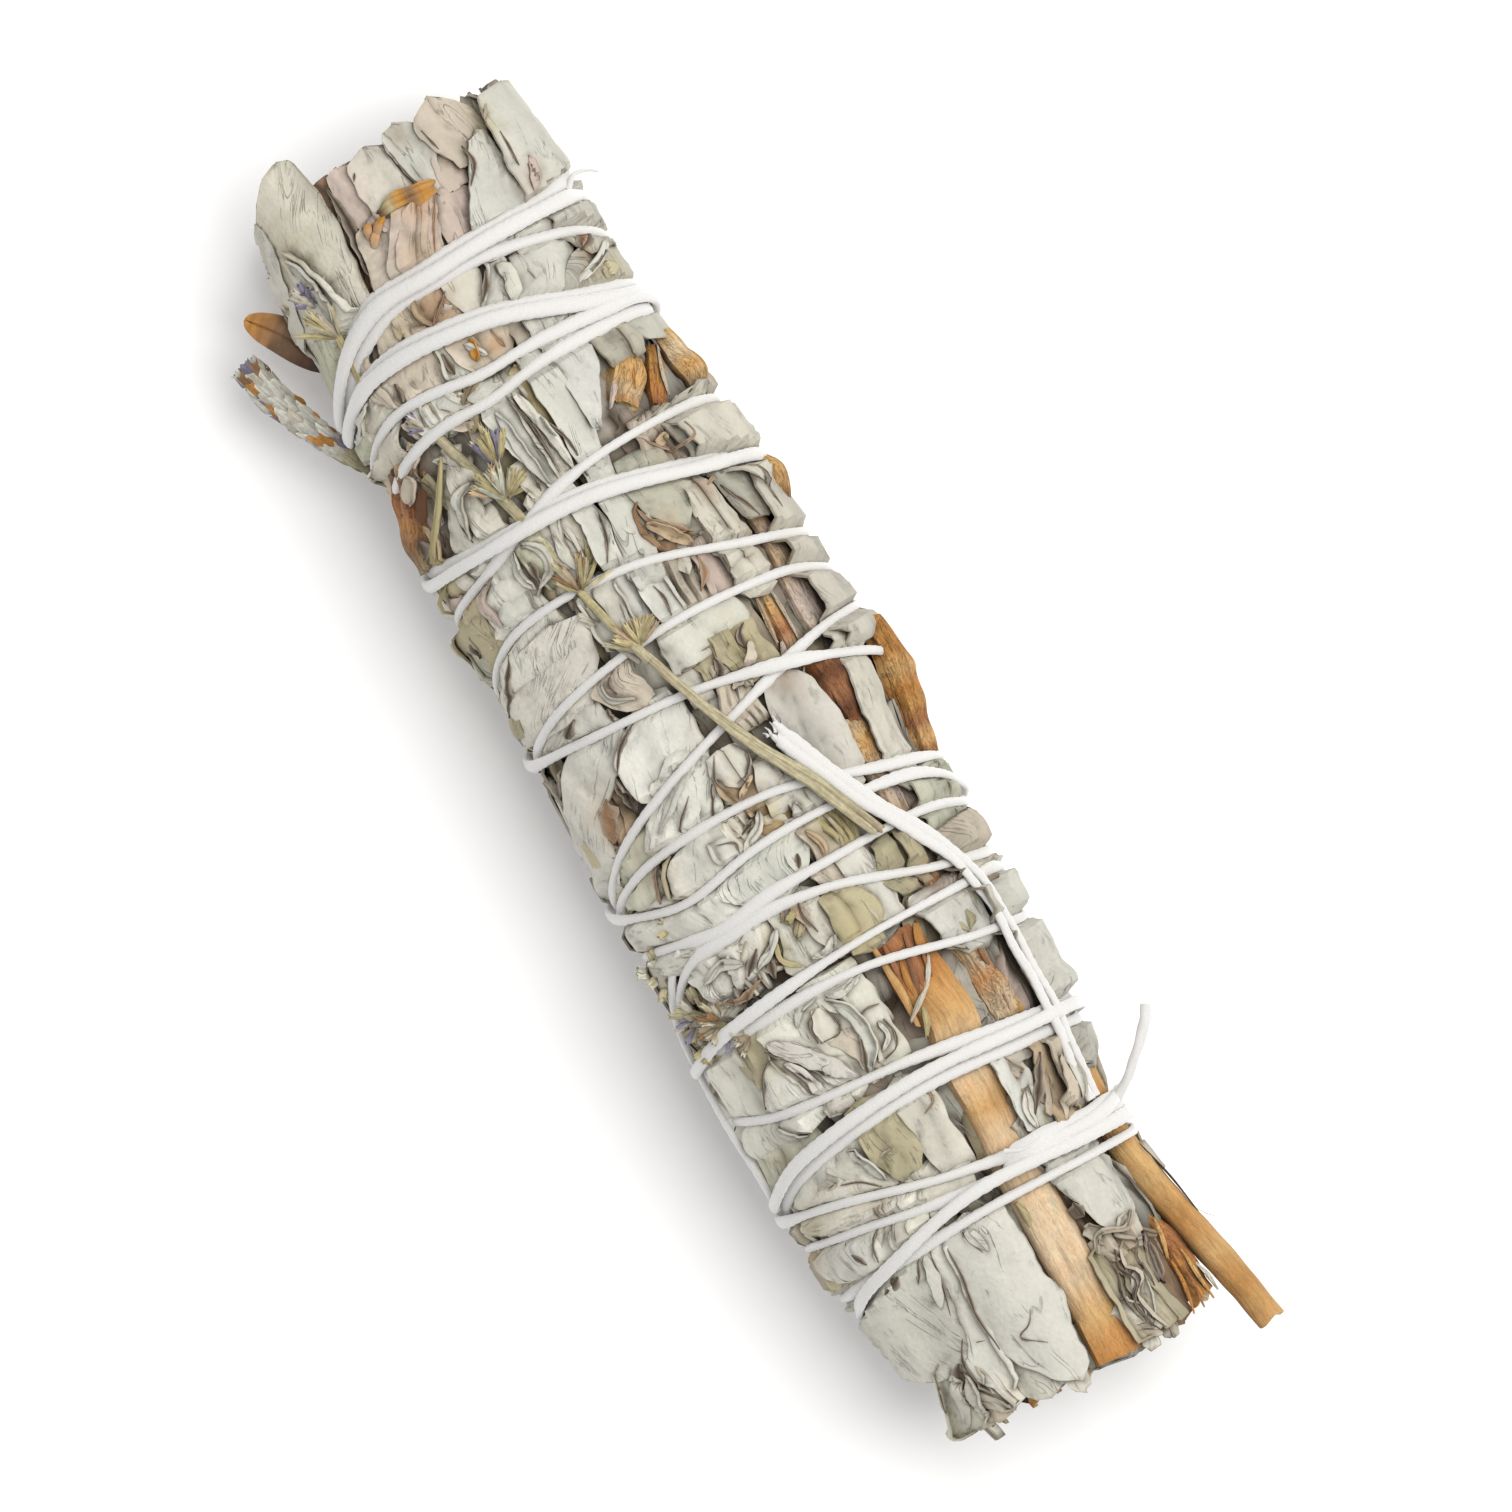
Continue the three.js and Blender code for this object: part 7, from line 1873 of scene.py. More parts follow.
def lay_stem(shape, rows, tones, random, flatness=1.0, ridge=0.07, ragged=(0.0, 0.0), knobs=(), pith=True,
             square=2.4):
    """A stem through rows of x, y, depth of its middle and half its width, in tones from end to end."""
    rows = np.array(rows, float)
    run = np.concatenate(((0,), np.cumsum(np.hypot(np.diff(rows[:, 0]), np.diff(rows[:, 1])))))
    length = run[-1]
    middle, half_width = section(rows[:, 0])
    share = np.clip((rows[:, 1] - middle) / (half_width - rows[:, 2]), -SIDE_LIMIT, SIDE_LIMIT)
    row_angle = np.arccos(share)
    high = HEIGHT_SHARE * half_width
    row_z = high - REST_SINK + (high - rows[:, 2]) * np.sin(row_angle)
    turn, along = shape["turn"], shape["along"]
    broken = sum(random.uniform(0.3, 1) * zigzag(turn * k / math.pi + random.uniform(0, 2))
                 for k in (1, 2, 3)) / 1.6
    at = along * length
    at = at + np.where(along < 0.02, -ragged[0], 0) * broken + np.where(along > 0.98, ragged[1], 0) * broken
    at = at + np.where(along < 0.5, 1, -1) * shape["sunk"]
    inside = np.clip(at, 0, length)

    def centre_at(place):
        return np.stack([smooth_through(run, value, place) for value in (rows[:, 0], rows[:, 1], row_z)],
                        axis=-1)

    centre = centre_at(inside)
    ahead = centre_at(np.minimum(inside + 0.05, length)) - centre_at(np.maximum(inside - 0.05, 0))
    ahead = ahead / np.linalg.norm(ahead, axis=1, keepdims=True)
    centre = centre + ahead * (at - inside)[:, None]
    half = smooth_through(run, rows[:, 3], inside)
    outward_angle = smooth_through(run, row_angle, inside)
    up = np.stack((np.zeros_like(at), np.cos(outward_angle), np.sin(outward_angle)), axis=-1)
    side = np.cross(ahead, up)
    side = side / np.linalg.norm(side, axis=1, keepdims=True)
    up = np.cross(side, ahead)
    uneven_skin = ridge * (0.5 * np.sin(7 * turn + 0.15 * inside + random.uniform(0, 6))
                           + 0.5 * np.sin(11 * turn - 0.2 * inside + random.uniform(0, 6)))
    lumps = ridge * (0.5 * np.sin(inside / 1.7 + random.uniform(0, 6)) + 0.4 * np.sin(inside / 0.63 + turn))
    knob = sum(size * np.exp(-((inside - place) / width) ** 2) for place, width, size in knobs)
    corner = (np.abs(np.cos(turn)) ** square + np.abs(np.sin(turn)) ** square) ** (-1 / square)
    reach = half * shape["radial"] * corner * (1 + uneven_skin + lumps + knob)
    sideways, upwards = reach * np.sin(turn), reach * np.cos(turn) * flatness
    points = centre + side * sideways[:, None] + up * upwards[:, None] - ORIGIN
    shares = np.linspace(0, 1, len(tones))
    palette = np.array([TONES[tone] for tone in tones])
    colours = np.stack([np.interp(inside / length, shares, palette[:, k]) for k in range(3)], axis=-1)
    # Faint stripes run along the stem. Painted shade makes it darker in the dips between its ridges and
    # lumps, and up to half as dark on the side that faces into the roll.
    streak = 1 + 0.06 * np.sin(5 * turn + 0.3 * inside) + 0.5 * np.clip(uneven_skin + lumps, -0.2, 0.05)
    underside_shade = np.clip(-np.cos(turn) - 0.1, 0, 1) * 0.5
    colours = colours * (streak * (1 - underside_shade))[:, None]
    if pith:
        soft = (shape["radial"] < 0.8)[:, None]
        # Painted shade: the pith is darker towards its sunk middle.
        colours = np.where(soft, PITH_TONE * (0.55 + 0.45 * shape["radial"][:, None]), colours)
    own = np.stack((inside + random.uniform(0, 900), turn * half), axis=1)
    return points, shape["faces"], np.clip(colours, 0.01, 0.95), own


# %% Stems that show
# For each node: rows of x, y of its middle, depth of its middle and half its width, then tones and look.
STEMS = {
    "sage_stem_wide": dict(rows=[(22.9, 4.1, 3.2, 2.6), (28, 4.2, 3.0, 3.0), (32.5, 4.6, 3.0, 2.9),
                                 (37, 3.7, 3.1, 2.75), (42, 3.4, 3.1, 2.7), (50, 2.7, 3.0, 2.6),
                                 (60, 2.3, 2.7, 2.5), (70.0, 1.8, 2.6, 2.55)],
                           tones=("rust", "orange", "wood", "pale_wood", "wood", "pale_wood", "pale_wood",
                                  "pale_wood", "pale_wood", "wood", "orange"), flatness=0.74, ridge=0.03,
                           ragged=(0.8, 0.3), square=3.6),
    "sage_stem_side": dict(rows=[(43, 13.3, 3.0, 1.6), (48, 13.0, 3.0, 1.6), (53, 13.0, 2.6, 1.65),
                                 (58, 13.7, 2.0, 1.65), (64, 14.8, 1.4, 1.65), (70, 15.9, 0.8, 1.6),
                                 (75.4, 16.7, 0.2, 1.5)],
                           tones=("wood", "cane", "wood", "wood", "cane", "wood", "cane", "wood"),
                           flatness=0.95, ridge=0.04, ragged=(0.3, 0.3), knobs=((12.4, 0.7, 0.06),),
                           square=2.8),
    "sage_stem_frayed": dict(rows=[(57.2, 11.4, 2.9, 0.5), (60, 11.4, 2.9, 0.9), (64, 11.9, 2.7, 1.5),
                                   (67.5, 11.9, 2.6, 1.8), (69.8, 12.0, 2.6, 1.8)],
                             tones=("tan", "orange", "rust", "orange", "orange"), flatness=0.75, ridge=0.14,
                             ragged=(0.5, 0.8)),
    "sage_twig_knotted": dict(rows=[(26.8, 9.7, 2.6, 1.75), (30, 9.7, 2.5, 1.8), (33, 9.7, 2.4, 1.8),
                                    (37.4, 9.7, 2.7, 1.6)],
                              tones=("tan", "tan", "clay", "tan", "tan", "clay"), flatness=0.85, ridge=0.12,
                              ragged=(0.3, 0.4), knobs=((5.6, 0.8, 0.14), (7.2, 0.6, 0.1)), square=3),
    "sage_twig_bark": dict(rows=[(-4.5, 12.2, 1.7, 1.6), (-2, 12.2, 1.6, 1.9), (0.6, 12.1, 1.7, 1.7),
                                 (2.5, 12.0, 2.1, 1.2)], tones=("rust", "bark", "rust", "bark", "rust"),
                           flatness=0.75, ridge=0.2, ragged=(0.6, 0.7)),
    "sage_twig_edge": dict(rows=[(-5.3, 18.3, 2.2, 1.6), (-2, 18.6, 2.0, 1.7), (1, 18.1, 2.0, 1.75),
                                 (5, 17.2, 2.0, 1.75), (9.3, 16.4, 2.3, 1.5)],
                           tones=("orange", "cane", "orange", "wood", "orange", "cane", "rust", "wood",
                                  "rust"), flatness=0.95, ridge=0.14, ragged=(0.4, 0.3),
                           knobs=((5.6, 0.8, 0.1),)),
    "sage_twig_flat": dict(rows=[(-20.6, 14.3, 2.0, 1.1), (-17, 14.4, 1.8, 1.5), (-13, 14.1, 1.8, 1.8),
                                 (-9, 13.8, 1.9, 1.7), (-6.6, 13.8, 2.2, 1.4)],
                           tones=("wood", "pink", "tan", "pink", "pink", "beige"), flatness=0.5, ridge=0.04,
                           ragged=(0.4, 0.4), pith=False, square=3),
    "sage_twig_thin": dict(rows=[(-14.0, 11.1, 2.2, 0.8), (-11, 10.9, 2.1, 1.0), (-8, 10.7, 2.2, 1.0),
                                 (-6, 10.5, 2.4, 0.8)], tones=("tan", "wood", "rust", "tan"), flatness=0.7,
                           ridge=0.08, ragged=(0.6, 0.5)),
    "sage_twig_pale": dict(rows=[(2.0, 11.6, 2.2, 1.4), (5, 11.6, 2.0, 1.6), (9, 11.4, 2.0, 1.5),
                                 (13.4, 11.2, 2.3, 1.2)], tones=("tan", "wood", "tan", "pink", "tan"),
                           flatness=0.6, ridge=0.04, ragged=(0.5, 0.4), pith=False, square=3),
    "sage_twig_upper": dict(rows=[(-40.4, 11.4, 2.2, 1.7), (-38.4, 10.2, 2.0, 1.9), (-36.2, 8.4, 2.3, 1.6)],
                            tones=("cane", "wood", "wood", "tan", "cane"), flatness=0.7, ridge=0.12,
                            ragged=(0.5, 0.8), square=3),
    "sage_twig_split": dict(rows=[(-39.6, 14.1, 1.9, 0.8), (-37, 13.0, 1.7, 1.1), (-34.2, 11.7, 2.1, 0.9)],
                            tones=("orange", "cane", "orange", "rust"), flatness=0.75, ridge=0.16,
                            ragged=(0.5, 0.6)),
    "sage_twig_corner": dict(rows=[(-40.4, 15.8, 2.2, 1.3), (-38, 16.0, 1.9, 1.6), (-35.6, 16.5, 1.6, 1.9),
                                   (-34.2, 16.2, 2.2, 1.4)], tones=("wood", "pale_wood", "wood", "tan"),
                             flatness=0.8, ridge=0.12, ragged=(0.4, 0.5)),
    "sage_twig_tip": dict(rows=[(-24.5, 17.6, 2.0, 1.0), (-22.8, 18.0, 1.7, 1.5), (-21, 17.8, 1.8, 1.3),
                                (-19.8, 17.4, 2.3, 0.9)], tones=("wood", "wood", "rust"), flatness=0.85,
                          ridge=0.12, ragged=(0.4, 0.4)),
    "sage_twig_hollow": dict(rows=[(-43.4, -12.2, 2.2, 2.0), (-39.5, -13.6, 1.9, 2.3),
                                   (-36, -14.6, 1.8, 2.4), (-32.2, -15.2, 1.9, 2.2)],
                             tones=("tan", "brown", "rust", "clay", "brown", "drab"), flatness=0.85,
                             ridge=0.16, ragged=(0.4, 0.3), square=3),
    "sage_twig_curled": dict(rows=[(17.8, 8.9, 2.6, 1.3), (19.4, 9.4, 2.2, 1.7), (21.6, 9.6, 2.5, 1.4)],
                             tones=("brown", "tan", "rust", "brown"), flatness=0.8, ridge=0.14,
                             ragged=(0.4, 0.4)),
}
# Loose fibres and bark strips on them: node, x and y from end to end, depth, half width, tone.
SPLINTERS = [
    ("sage_stem_wide", (22.8, 6.9), (26.0, 5.9), 0.75, 0.5, "orange"),
    ("sage_stem_wide", (23.2, 5.4), (29.8, 3.9), 0.65, 0.42, "rust"),
    ("sage_stem_wide", (24.2, 4.6), (30.0, 3.2), 0.65, 0.3, "red"),
    ("sage_stem_wide", (24.8, 3.8), (29.4, 3.0), 0.7, 0.34, "orange"),
    ("sage_stem_wide", (22.8, 2.0), (31.6, 1.8), 0.9, 0.5, "wood"),
    ("sage_stem_wide", (25.2, 6.0), (28.6, 5.4), 0.6, 0.26, "rust"),
    ("sage_stem_wide", (26.2, 6.3), (29.0, 4.4), 0.4, 0.26, "light"),
    ("sage_stem_wide", (28.6, 4.8), (30.9, 1.4), 0.35, 0.3, "beige"),
    ("sage_stem_wide", (30.2, 3.2), (33.0, 2.0), 0.6, 0.36, "straw"),
    ("sage_stem_wide", (23.0, 3.0), (27.4, 2.6), 0.7, 0.3, "rust"),
    ("sage_stem_wide", (51.6, 1.0), (55.0, 0.9), 0.95, 0.3, "straw"),
    ("sage_stem_side", (53.2, 14.5), (62.4, 16.1), 1.3, 0.22, "dark"),
    ("sage_stem_side", (62.0, 16.1), (63.8, 17.4), 1.2, 0.06, "pale"),
    ("sage_stem_frayed", (66.6, 13.2), (69.9, 13.7), 1.0, 0.36, "light"),
    ("sage_stem_frayed", (65.0, 11.2), (70.6, 10.4), 1.3, 0.28, "orange"),
    ("sage_stem_frayed", (64.6, 12.6), (70.4, 12.9), 1.1, 0.32, "wood"),
    ("sage_stem_frayed", (66.0, 11.9), (70.6, 11.6), 1.0, 0.24, "rust"),
    ("sage_stem_frayed", (60.4, 12.0), (64.6, 11.0), 1.3, 0.34, "wood"),
    ("sage_twig_knotted", (27.2, 10.9), (31.0, 11.0), 1.0, 0.3, "rust"),
    ("sage_twig_knotted", (33.4, 11.4), (37.2, 11.2), 1.1, 0.34, "wood"),
    ("sage_twig_knotted", (31.8, 10.6), (36.2, 10.1), 0.85, 0.26, "brown"),
    ("sage_twig_thin", (-13.6, 11.7), (-7.2, 11.6), 1.1, 0.22, "beige"),
    ("sage_twig_thin", (-13.2, 10.2), (-8.0, 9.6), 1.3, 0.3, "tan"),
    ("sage_twig_thin", (-7.8, 10.0), (-4.2, 8.6), 1.3, 0.5, "pink"),
    ("sage_twig_hollow", (-42.2, -12.9), (-36.0, -15.9), 1.3, 0.34, "rust"),
    ("sage_twig_hollow", (-41.0, -11.6), (-35.6, -13.4), 0.9, 0.36, "wood"),
    ("sage_twig_upper", (-40.2, 12.4), (-37.0, 10.6), 0.7, 0.36, "orange"),
    ("sage_twig_upper", (-39.6, 10.4), (-36.6, 7.6), 0.9, 0.34, "pink"),
    ("sage_twig_split", (-39.6, 14.4), (-35.0, 12.6), 1.0, 0.28, "brown"),
    ("sage_twig_corner", (-39.8, 14.9), (-34.6, 13.2), 0.7, 0.3, "beige"),
]
STEM_SEED = 31
stem_random = np.random.default_rng(STEM_SEED)
stem_pieces = {node: [lay_stem(stem_shape, random=stem_random, **how)] for node, how in STEMS.items()}
for node, start, end, depth, half, tone in SPLINTERS:
    bend = stem_random.uniform(-0.5, 0.5)
    middle = ((start[0] + end[0]) / 2, (start[1] + end[1]) / 2 + bend * 0.5)
    rows = [(*start, depth + 0.35, half * 0.5), (*middle, depth, half), (*end, depth + 0.35, half * 0.45)]
    stem_pieces[node].append(lay_stem(splinter_shape, rows, (tone,), stem_random, flatness=0.5, ridge=0.1,
                                      ragged=(0.3, 0.3), pith=False))

# %% The stems inside, of which only the cut ends show
INNER_STEMS = ((0, 71.5, 1.5), (2, 70.6, 1.6), (3, 72.4, 1.8), (4, 71.2, 1.4), (5, 73.0, 1.9),
               (6, 70.8, 1.5), (7, 72.2, 1.7))  # sprig, the x of its end, radius
INNER_DEPTH = 9.2
INNER_SHORTER = 1.9  # mm that the leaves round them reach further
INNER_SHOWN = 16.0  # mm of it that are made
INNER_RAGGED = 0.35
INNER_PITH_SINK = 1.4
INNER_TONES = ("brown", "tan", "brown", "orange")
for index, end_x, radius in INNER_STEMS:
    end_x -= INNER_SHORTER
    at = np.linspace(end_x - INNER_SHOWN, end_x, 4)
    rows = []
    for one_x in at:
        middle, half = section(one_x)
        angle = math.radians((border(index, one_x) + border(index + 1, one_x)) / 2)
        high = HEIGHT_SHARE * half
        rows.append((one_x, float(middle + (half - INNER_DEPTH) * math.cos(angle)),
                     float((high - INNER_DEPTH) * math.sin(angle) + high - REST_SINK)))
    way = np.array([smooth_through(at, [row[k] for row in rows], np.linspace(at[0], at[-1], 30))
                    for k in range(3)]).T
    shape, turn = stem_shape, stem_shape["turn"]
    where = shape["along"] * INNER_SHOWN
    broken = INNER_RAGGED * zigzag(turn * 2 / math.pi + index) * (shape["along"] > 0.98)
    x = at[0] + where + broken - shape["sunk"] * (shape["along"] > 0.5) * INNER_PITH_SINK
    uneven_bark = 1 + 0.06 * np.cos(4 * turn + index) + 0.03 * np.sin(9 * turn)
    reach = radius * shape["radial"] * uneven_bark
    y = np.interp(x, way[:, 0], way[:, 1]) + reach * np.sin(turn)
    z = np.interp(x, way[:, 0], way[:, 2]) + reach * np.cos(turn)
    points = np.stack((x, y, z), axis=-1) - ORIGIN
    bark = TONES[INNER_TONES[index % len(INNER_TONES)]] * (1 + 0.15 * np.sin(6 * turn)[:, None])
    soft = (shape["radial"] < 0.8)[:, None]
    # Painted shade: the pith is darker towards its sunk middle.
    colours = np.where(soft, PITH_TONE * (0.5 + 0.5 * shape["radial"][:, None]), bark)
    own = np.stack((where + 50 * index, turn * radius), axis=1)
    stem_pieces[f"sage_stem_{index + 1}"] = [(points, shape["faces"], colours, own)]
print("stems:", len(stem_pieces))

# %% Sage bark and wood
# Dried sage stem: a thin fibrous bark over pale wood. Fine streaks run along it about 0.25 mm apart, with
# darker weathered lines and small flakes. It is matte, with the faintest gloss on the ridges.
def stem_finish(name, line_dark, flake_dark, flake_light, crack_dark, bump, blot):
    """Bark or weathered wood."""
    material, tree, shader = new_material(name)
    place = add_node(tree, "ShaderNodeTexCoord")
    tone = add_node(tree, "ShaderNodeVertexColor", layer_name="tone")
    own = add_node(tree, "ShaderNodeUVMap", uv_map="own_mm")
    grain_way = add_node(tree, "ShaderNodeMapping",
                         {"Vector": own.outputs["UV"], "Scale": (1 / (5.0 * MM), 1 / (0.3 * MM), 1)})
    grain = add_node(tree, "ShaderNodeTexNoise",
                     {"Vector": grain_way.outputs["Vector"], "Scale": 1.0, "Detail": 4.0, "Roughness": 0.65,
                      "Distortion": 0.4}, noise_dimensions="2D")
    line_way = add_node(tree, "ShaderNodeMapping",
                        {"Vector": own.outputs["UV"], "Scale": (1 / (7.0 * MM), 1 / (0.9 * MM), 1)})
    lines = add_node(tree, "ShaderNodeTexNoise",
                     {"Vector": line_way.outputs["Vector"], "Scale": 1.0, "Detail": 2.0, "Distortion": 0.8},
                     noise_dimensions="2D")
    flakes = add_node(tree, "ShaderNodeTexNoise",
                      {"Vector": place.outputs["Object"], "Scale": 1 / (0.9 * MM), "Detail": 5.0,
                       "Roughness": 0.65})
    grain_shade = add_node(tree, "ShaderNodeMapRange",
                           {"Value": grain.outputs["Fac"], "From Min": 0.3, "From Max": 0.7, "To Min": 0.86,
                            "To Max": 1.08})
    line_shade = add_node(tree, "ShaderNodeMapRange",
                          {"Value": lines.outputs["Fac"], "From Min": 0.26, "From Max": 0.4,
                           "To Min": line_dark, "To Max": 1.0})
    flake_shade = add_node(tree, "ShaderNodeMapRange",
                           {"Value": flakes.outputs["Fac"], "From Min": 0.3, "From Max": 0.7,
                            "To Min": flake_dark, "To Max": flake_light})
    shade = add_node(tree, "ShaderNodeMath",
                     {0: grain_shade.outputs["Result"], 1: line_shade.outputs["Result"]},
                     operation="MULTIPLY")
    shade = add_node(tree, "ShaderNodeMath", {0: shade.outputs["Value"], 1: flake_shade.outputs["Result"]},
                     operation="MULTIPLY")
    crack_way = add_node(tree, "ShaderNodeMapping",
                         {"Vector": own.outputs["UV"], "Scale": (1 / (2.4 * MM), 1 / (0.75 * MM), 1)})
    cracks = add_node(tree, "ShaderNodeTexNoise",
                      {"Vector": crack_way.outputs["Vector"], "Scale": 1.0, "Detail": 3.0, "Roughness": 0.6,
                       "Distortion": 1.4}, noise_dimensions="2D")
    crack_off = add_node(tree, "ShaderNodeMath", {0: cracks.outputs["Fac"], 1: 0.5}, operation="SUBTRACT")
    crack_from = add_node(tree, "ShaderNodeMath", {0: crack_off.outputs["Value"]}, operation="ABSOLUTE")
    crack_shade = add_node(tree, "ShaderNodeMapRange",
                           {"Value": crack_from.outputs["Value"], "From Min": 0.004, "From Max": 0.035,
                            "To Min": crack_dark, "To Max": 1.0}, interpolation_type="SMOOTHSTEP")
    shade = add_node(tree, "ShaderNodeMath", {0: shade.outputs["Value"], 1: crack_shade.outputs["Result"]},
                     operation="MULTIPLY")
    coloured = add_node(tree, "ShaderNodeVectorMath",
                        {0: tone.outputs["Color"], "Scale": shade.outputs["Value"]}, operation="SCALE")
    blots = add_node(tree, "ShaderNodeTexNoise",
                     {"Vector": place.outputs["Object"], "Scale": 1 / (2.6 * MM), "Detail": 3.0,
                      "Roughness": 0.6})
    blot_green = add_node(tree, "ShaderNodeMapRange",
                          {"Value": blots.outputs["Fac"], "From Min": 0.42, "From Max": 0.66, "To Min": 1.0,
                           "To Max": 0.9})
    blot_blue = add_node(tree, "ShaderNodeMapRange",
                         {"Value": blots.outputs["Fac"], "From Min": 0.42, "From Max": 0.66, "To Min": 1.0,
                          "To Max": blot})
    blot_tint = add_node(tree, "ShaderNodeCombineXYZ",
                         {"X": 1.0, "Y": blot_green.outputs["Result"], "Z": blot_blue.outputs["Result"]})
    coloured = add_node(tree, "ShaderNodeVectorMath",
                        {0: coloured.outputs["Vector"], 1: blot_tint.outputs["Vector"]},
                        operation="MULTIPLY")
    # Painted shade in the gaps round the stems.
    gap_shaded = shade_in_gaps(tree, coloured.outputs["Vector"])
    tree.links.new(gap_shaded.outputs["Vector"], shader.inputs["Base Color"])
    bark_height = add_node(tree, "ShaderNodeMath",
                           {0: shade.outputs["Value"], 1: line_shade.outputs["Result"]}, operation="ADD")
    bark_bump = add_node(tree, "ShaderNodeBump",
                         {"Height": bark_height.outputs["Value"], "Distance": bump * MM, "Strength": 0.7})
    tree.links.new(bark_bump.outputs["Normal"], shader.inputs["Normal"])
    shader.inputs["Roughness"].default_value = 0.78
    shader.inputs["Specular IOR Level"].default_value = 0.3
    return material


sage_bark = stem_finish("dried_sage_stem_bark", line_dark=0.7, flake_dark=0.88, flake_light=1.3,
                        crack_dark=0.6, bump=0.5, blot=0.74)
sage_wood = stem_finish("weathered_sage_stem_wood", line_dark=0.8, flake_dark=0.9, flake_light=1.08,
                        crack_dark=0.86, bump=0.2, blot=0.84)
SMOOTH_STEMS = ("sage_stem_wide", "sage_stem_side")
for node, parts in stem_pieces.items():
    piece = piece_from(node.replace("sage_", "dried_sage_"), parts)
    finish_piece(piece, sage_wood if node in SMOOTH_STEMS else sage_bark, [node],
                 smooth_angle=50)

# %% [markdown]
# ## Dried brown leaves
# One tan leaf is rolled near the leaf tips, with an orange strip curled across its end. One orange leaf
# sticks out of the side, browner towards its root. They are thinner and glossier than sage leaves.

# %% Lay the brown leaves
BROWN_SEED = 8
leaf_random = np.random.default_rng(BROWN_SEED)


def two_toned(laid, tones, at):
    """Recolours a leaf from one tone to the next along x."""
    points, faces, colours, own, _ = laid
    palette = np.array([TONES[tone] for tone in tones])
    # The leaf's stains and painted shade are kept, as a share of its brightest points.
    shade = (colours.mean(axis=1) / np.percentile(colours.mean(axis=1), 80))[:, None]
    x = points[:, 0] + ORIGIN[0]
    blend = np.stack([np.interp(x, at, palette[:, k]) for k in range(3)], axis=-1)
    return points, faces, np.clip(blend * np.clip(shade, 0.2, 1.1), 0.01, 0.95), own


rolled_parts = [
    two_toned(lay_leaf(fine_leaf("folded", 20),
                       [(-64.4, -0.6, 3.6), (-62.5, -2.0, 3.1), (-60.2, -3.6, 2.0), (-56.9, -4.8, 0.6)],
                       0.3, "tan", 901, crumple=0.2), ("tan", "pink", "beige", "beige"),
              (-64.5, -63.2, -60, -57)),
    two_toned(lay_leaf(fine_leaf("arched", 20),
                       [(-64.9, -4.8, -1.8), (-63.0, -5.3, -1.4), (-60.6, -5.6, -2.2), (-57, -6.8, -3)],
                       0.5, "beige", 902, crumple=0.25), ("tan", "beige", "beige", "beige"),
              (-65, -63.8, -61, -57)),
]
CURL = [(-64.5, 3.8, 0.1, 0.5), (-64.7, 2.4, -0.1, 0.66), (-64.9, 0.6, -0.1, 0.8), (-65.0, -0.8, 0.1, 0.75),
        (-64.9, -1.8, 0.5, 0.5)]
rolled_parts.append(lay_stem(stem_shape, CURL, ("cane", "ochre", "brown", "ochre", "straw", "bark"),
                             leaf_random, flatness=0.75, ridge=0.4, ragged=(0.7, 0.9), pith=False))
for x, y, lean in ((-64.2, -2.4, -1.3), (-63.6, -3.2, -1.0), (-64.6, -3.6, -0.6)):
    rows = [(x, y, 0.3, 0.34), (x + 0.5, y + lean * 0.5, 0.15, 0.4), (x + 1.2, y + lean, 0.5, 0.2)]
    rolled_parts.append(lay_stem(splinter_shape, rows, ("orange", "tan"), leaf_random, flatness=0.6,
                                 ridge=0.1, pith=False))

# %% The leaf that sticks out
# From its root to its tip: x, y and z of its middle, and half its width.
SIDE_LEAF = ((-54.6, -13.4, 12.6, 0.9), (-56.2, -14.4, 12.5, 1.5), (-57.8, -15.4, 12.4, 1.8),
             (-60.4, -16.8, 11.8, 1.85), (-62.5, -18.3, 11.2, 1.35), (-63.7, -19.2, 10.9, 0.5))
SIDE_LEAF_HEADING = ((-0.84,), (-0.54,))  # at its very ends
SIDE_LEAF_ARCH = 0.55  # mm
SIDE_LEAF_RIB = 0.22  # mm
SIDE_LEAF_TONES = ("dark", "dark", "bark", "brown", "orange", "ochre")
side_leaf = fine_leaf("arched", 20)
number = np.arange(len(SIDE_LEAF))
at = side_leaf["along"] * (len(SIDE_LEAF) - 1)
x, y, z, half = curve(SIDE_LEAF, at).T
ahead = (curve(SIDE_LEAF, at + 0.05) - curve(SIDE_LEAF, at - 0.05)).T[:2]
ahead /= np.maximum(np.linalg.norm(ahead, axis=0), 1e-9)
ahead = np.where(np.linalg.norm(ahead, axis=0) > 0.5, ahead, np.array(SIDE_LEAF_HEADING))
across = side_leaf["across"] * half
rib = SIDE_LEAF_RIB * np.exp(-(side_leaf["across"] / 0.12) ** 2)
ripple = 0.1 * np.sin(at * 5 + side_leaf["across"] * 4)
side_points = np.stack((x - ahead[1] * across, y + ahead[0] * across,
                        z - SIDE_LEAF_ARCH * side_leaf["across"] ** 2 - rib + ripple), axis=-1) - ORIGIN
palette = np.array([TONES[tone] for tone in SIDE_LEAF_TONES])
side_colours = np.stack([np.interp(at, number, palette[:, k]) for k in range(3)], axis=-1)
# Painted shade in the groove of its rib; one half is also darker towards its root.
side_colours = side_colours * (1 - 0.35 * np.clip(side_leaf["across"], 0, 1) * (at < 3.4)
                               - 0.8 * rib)[:, None]
side_own = np.stack((at * 2.4, across), axis=1)
side_parts = [(side_points, side_leaf["faces"], side_colours, side_own)]

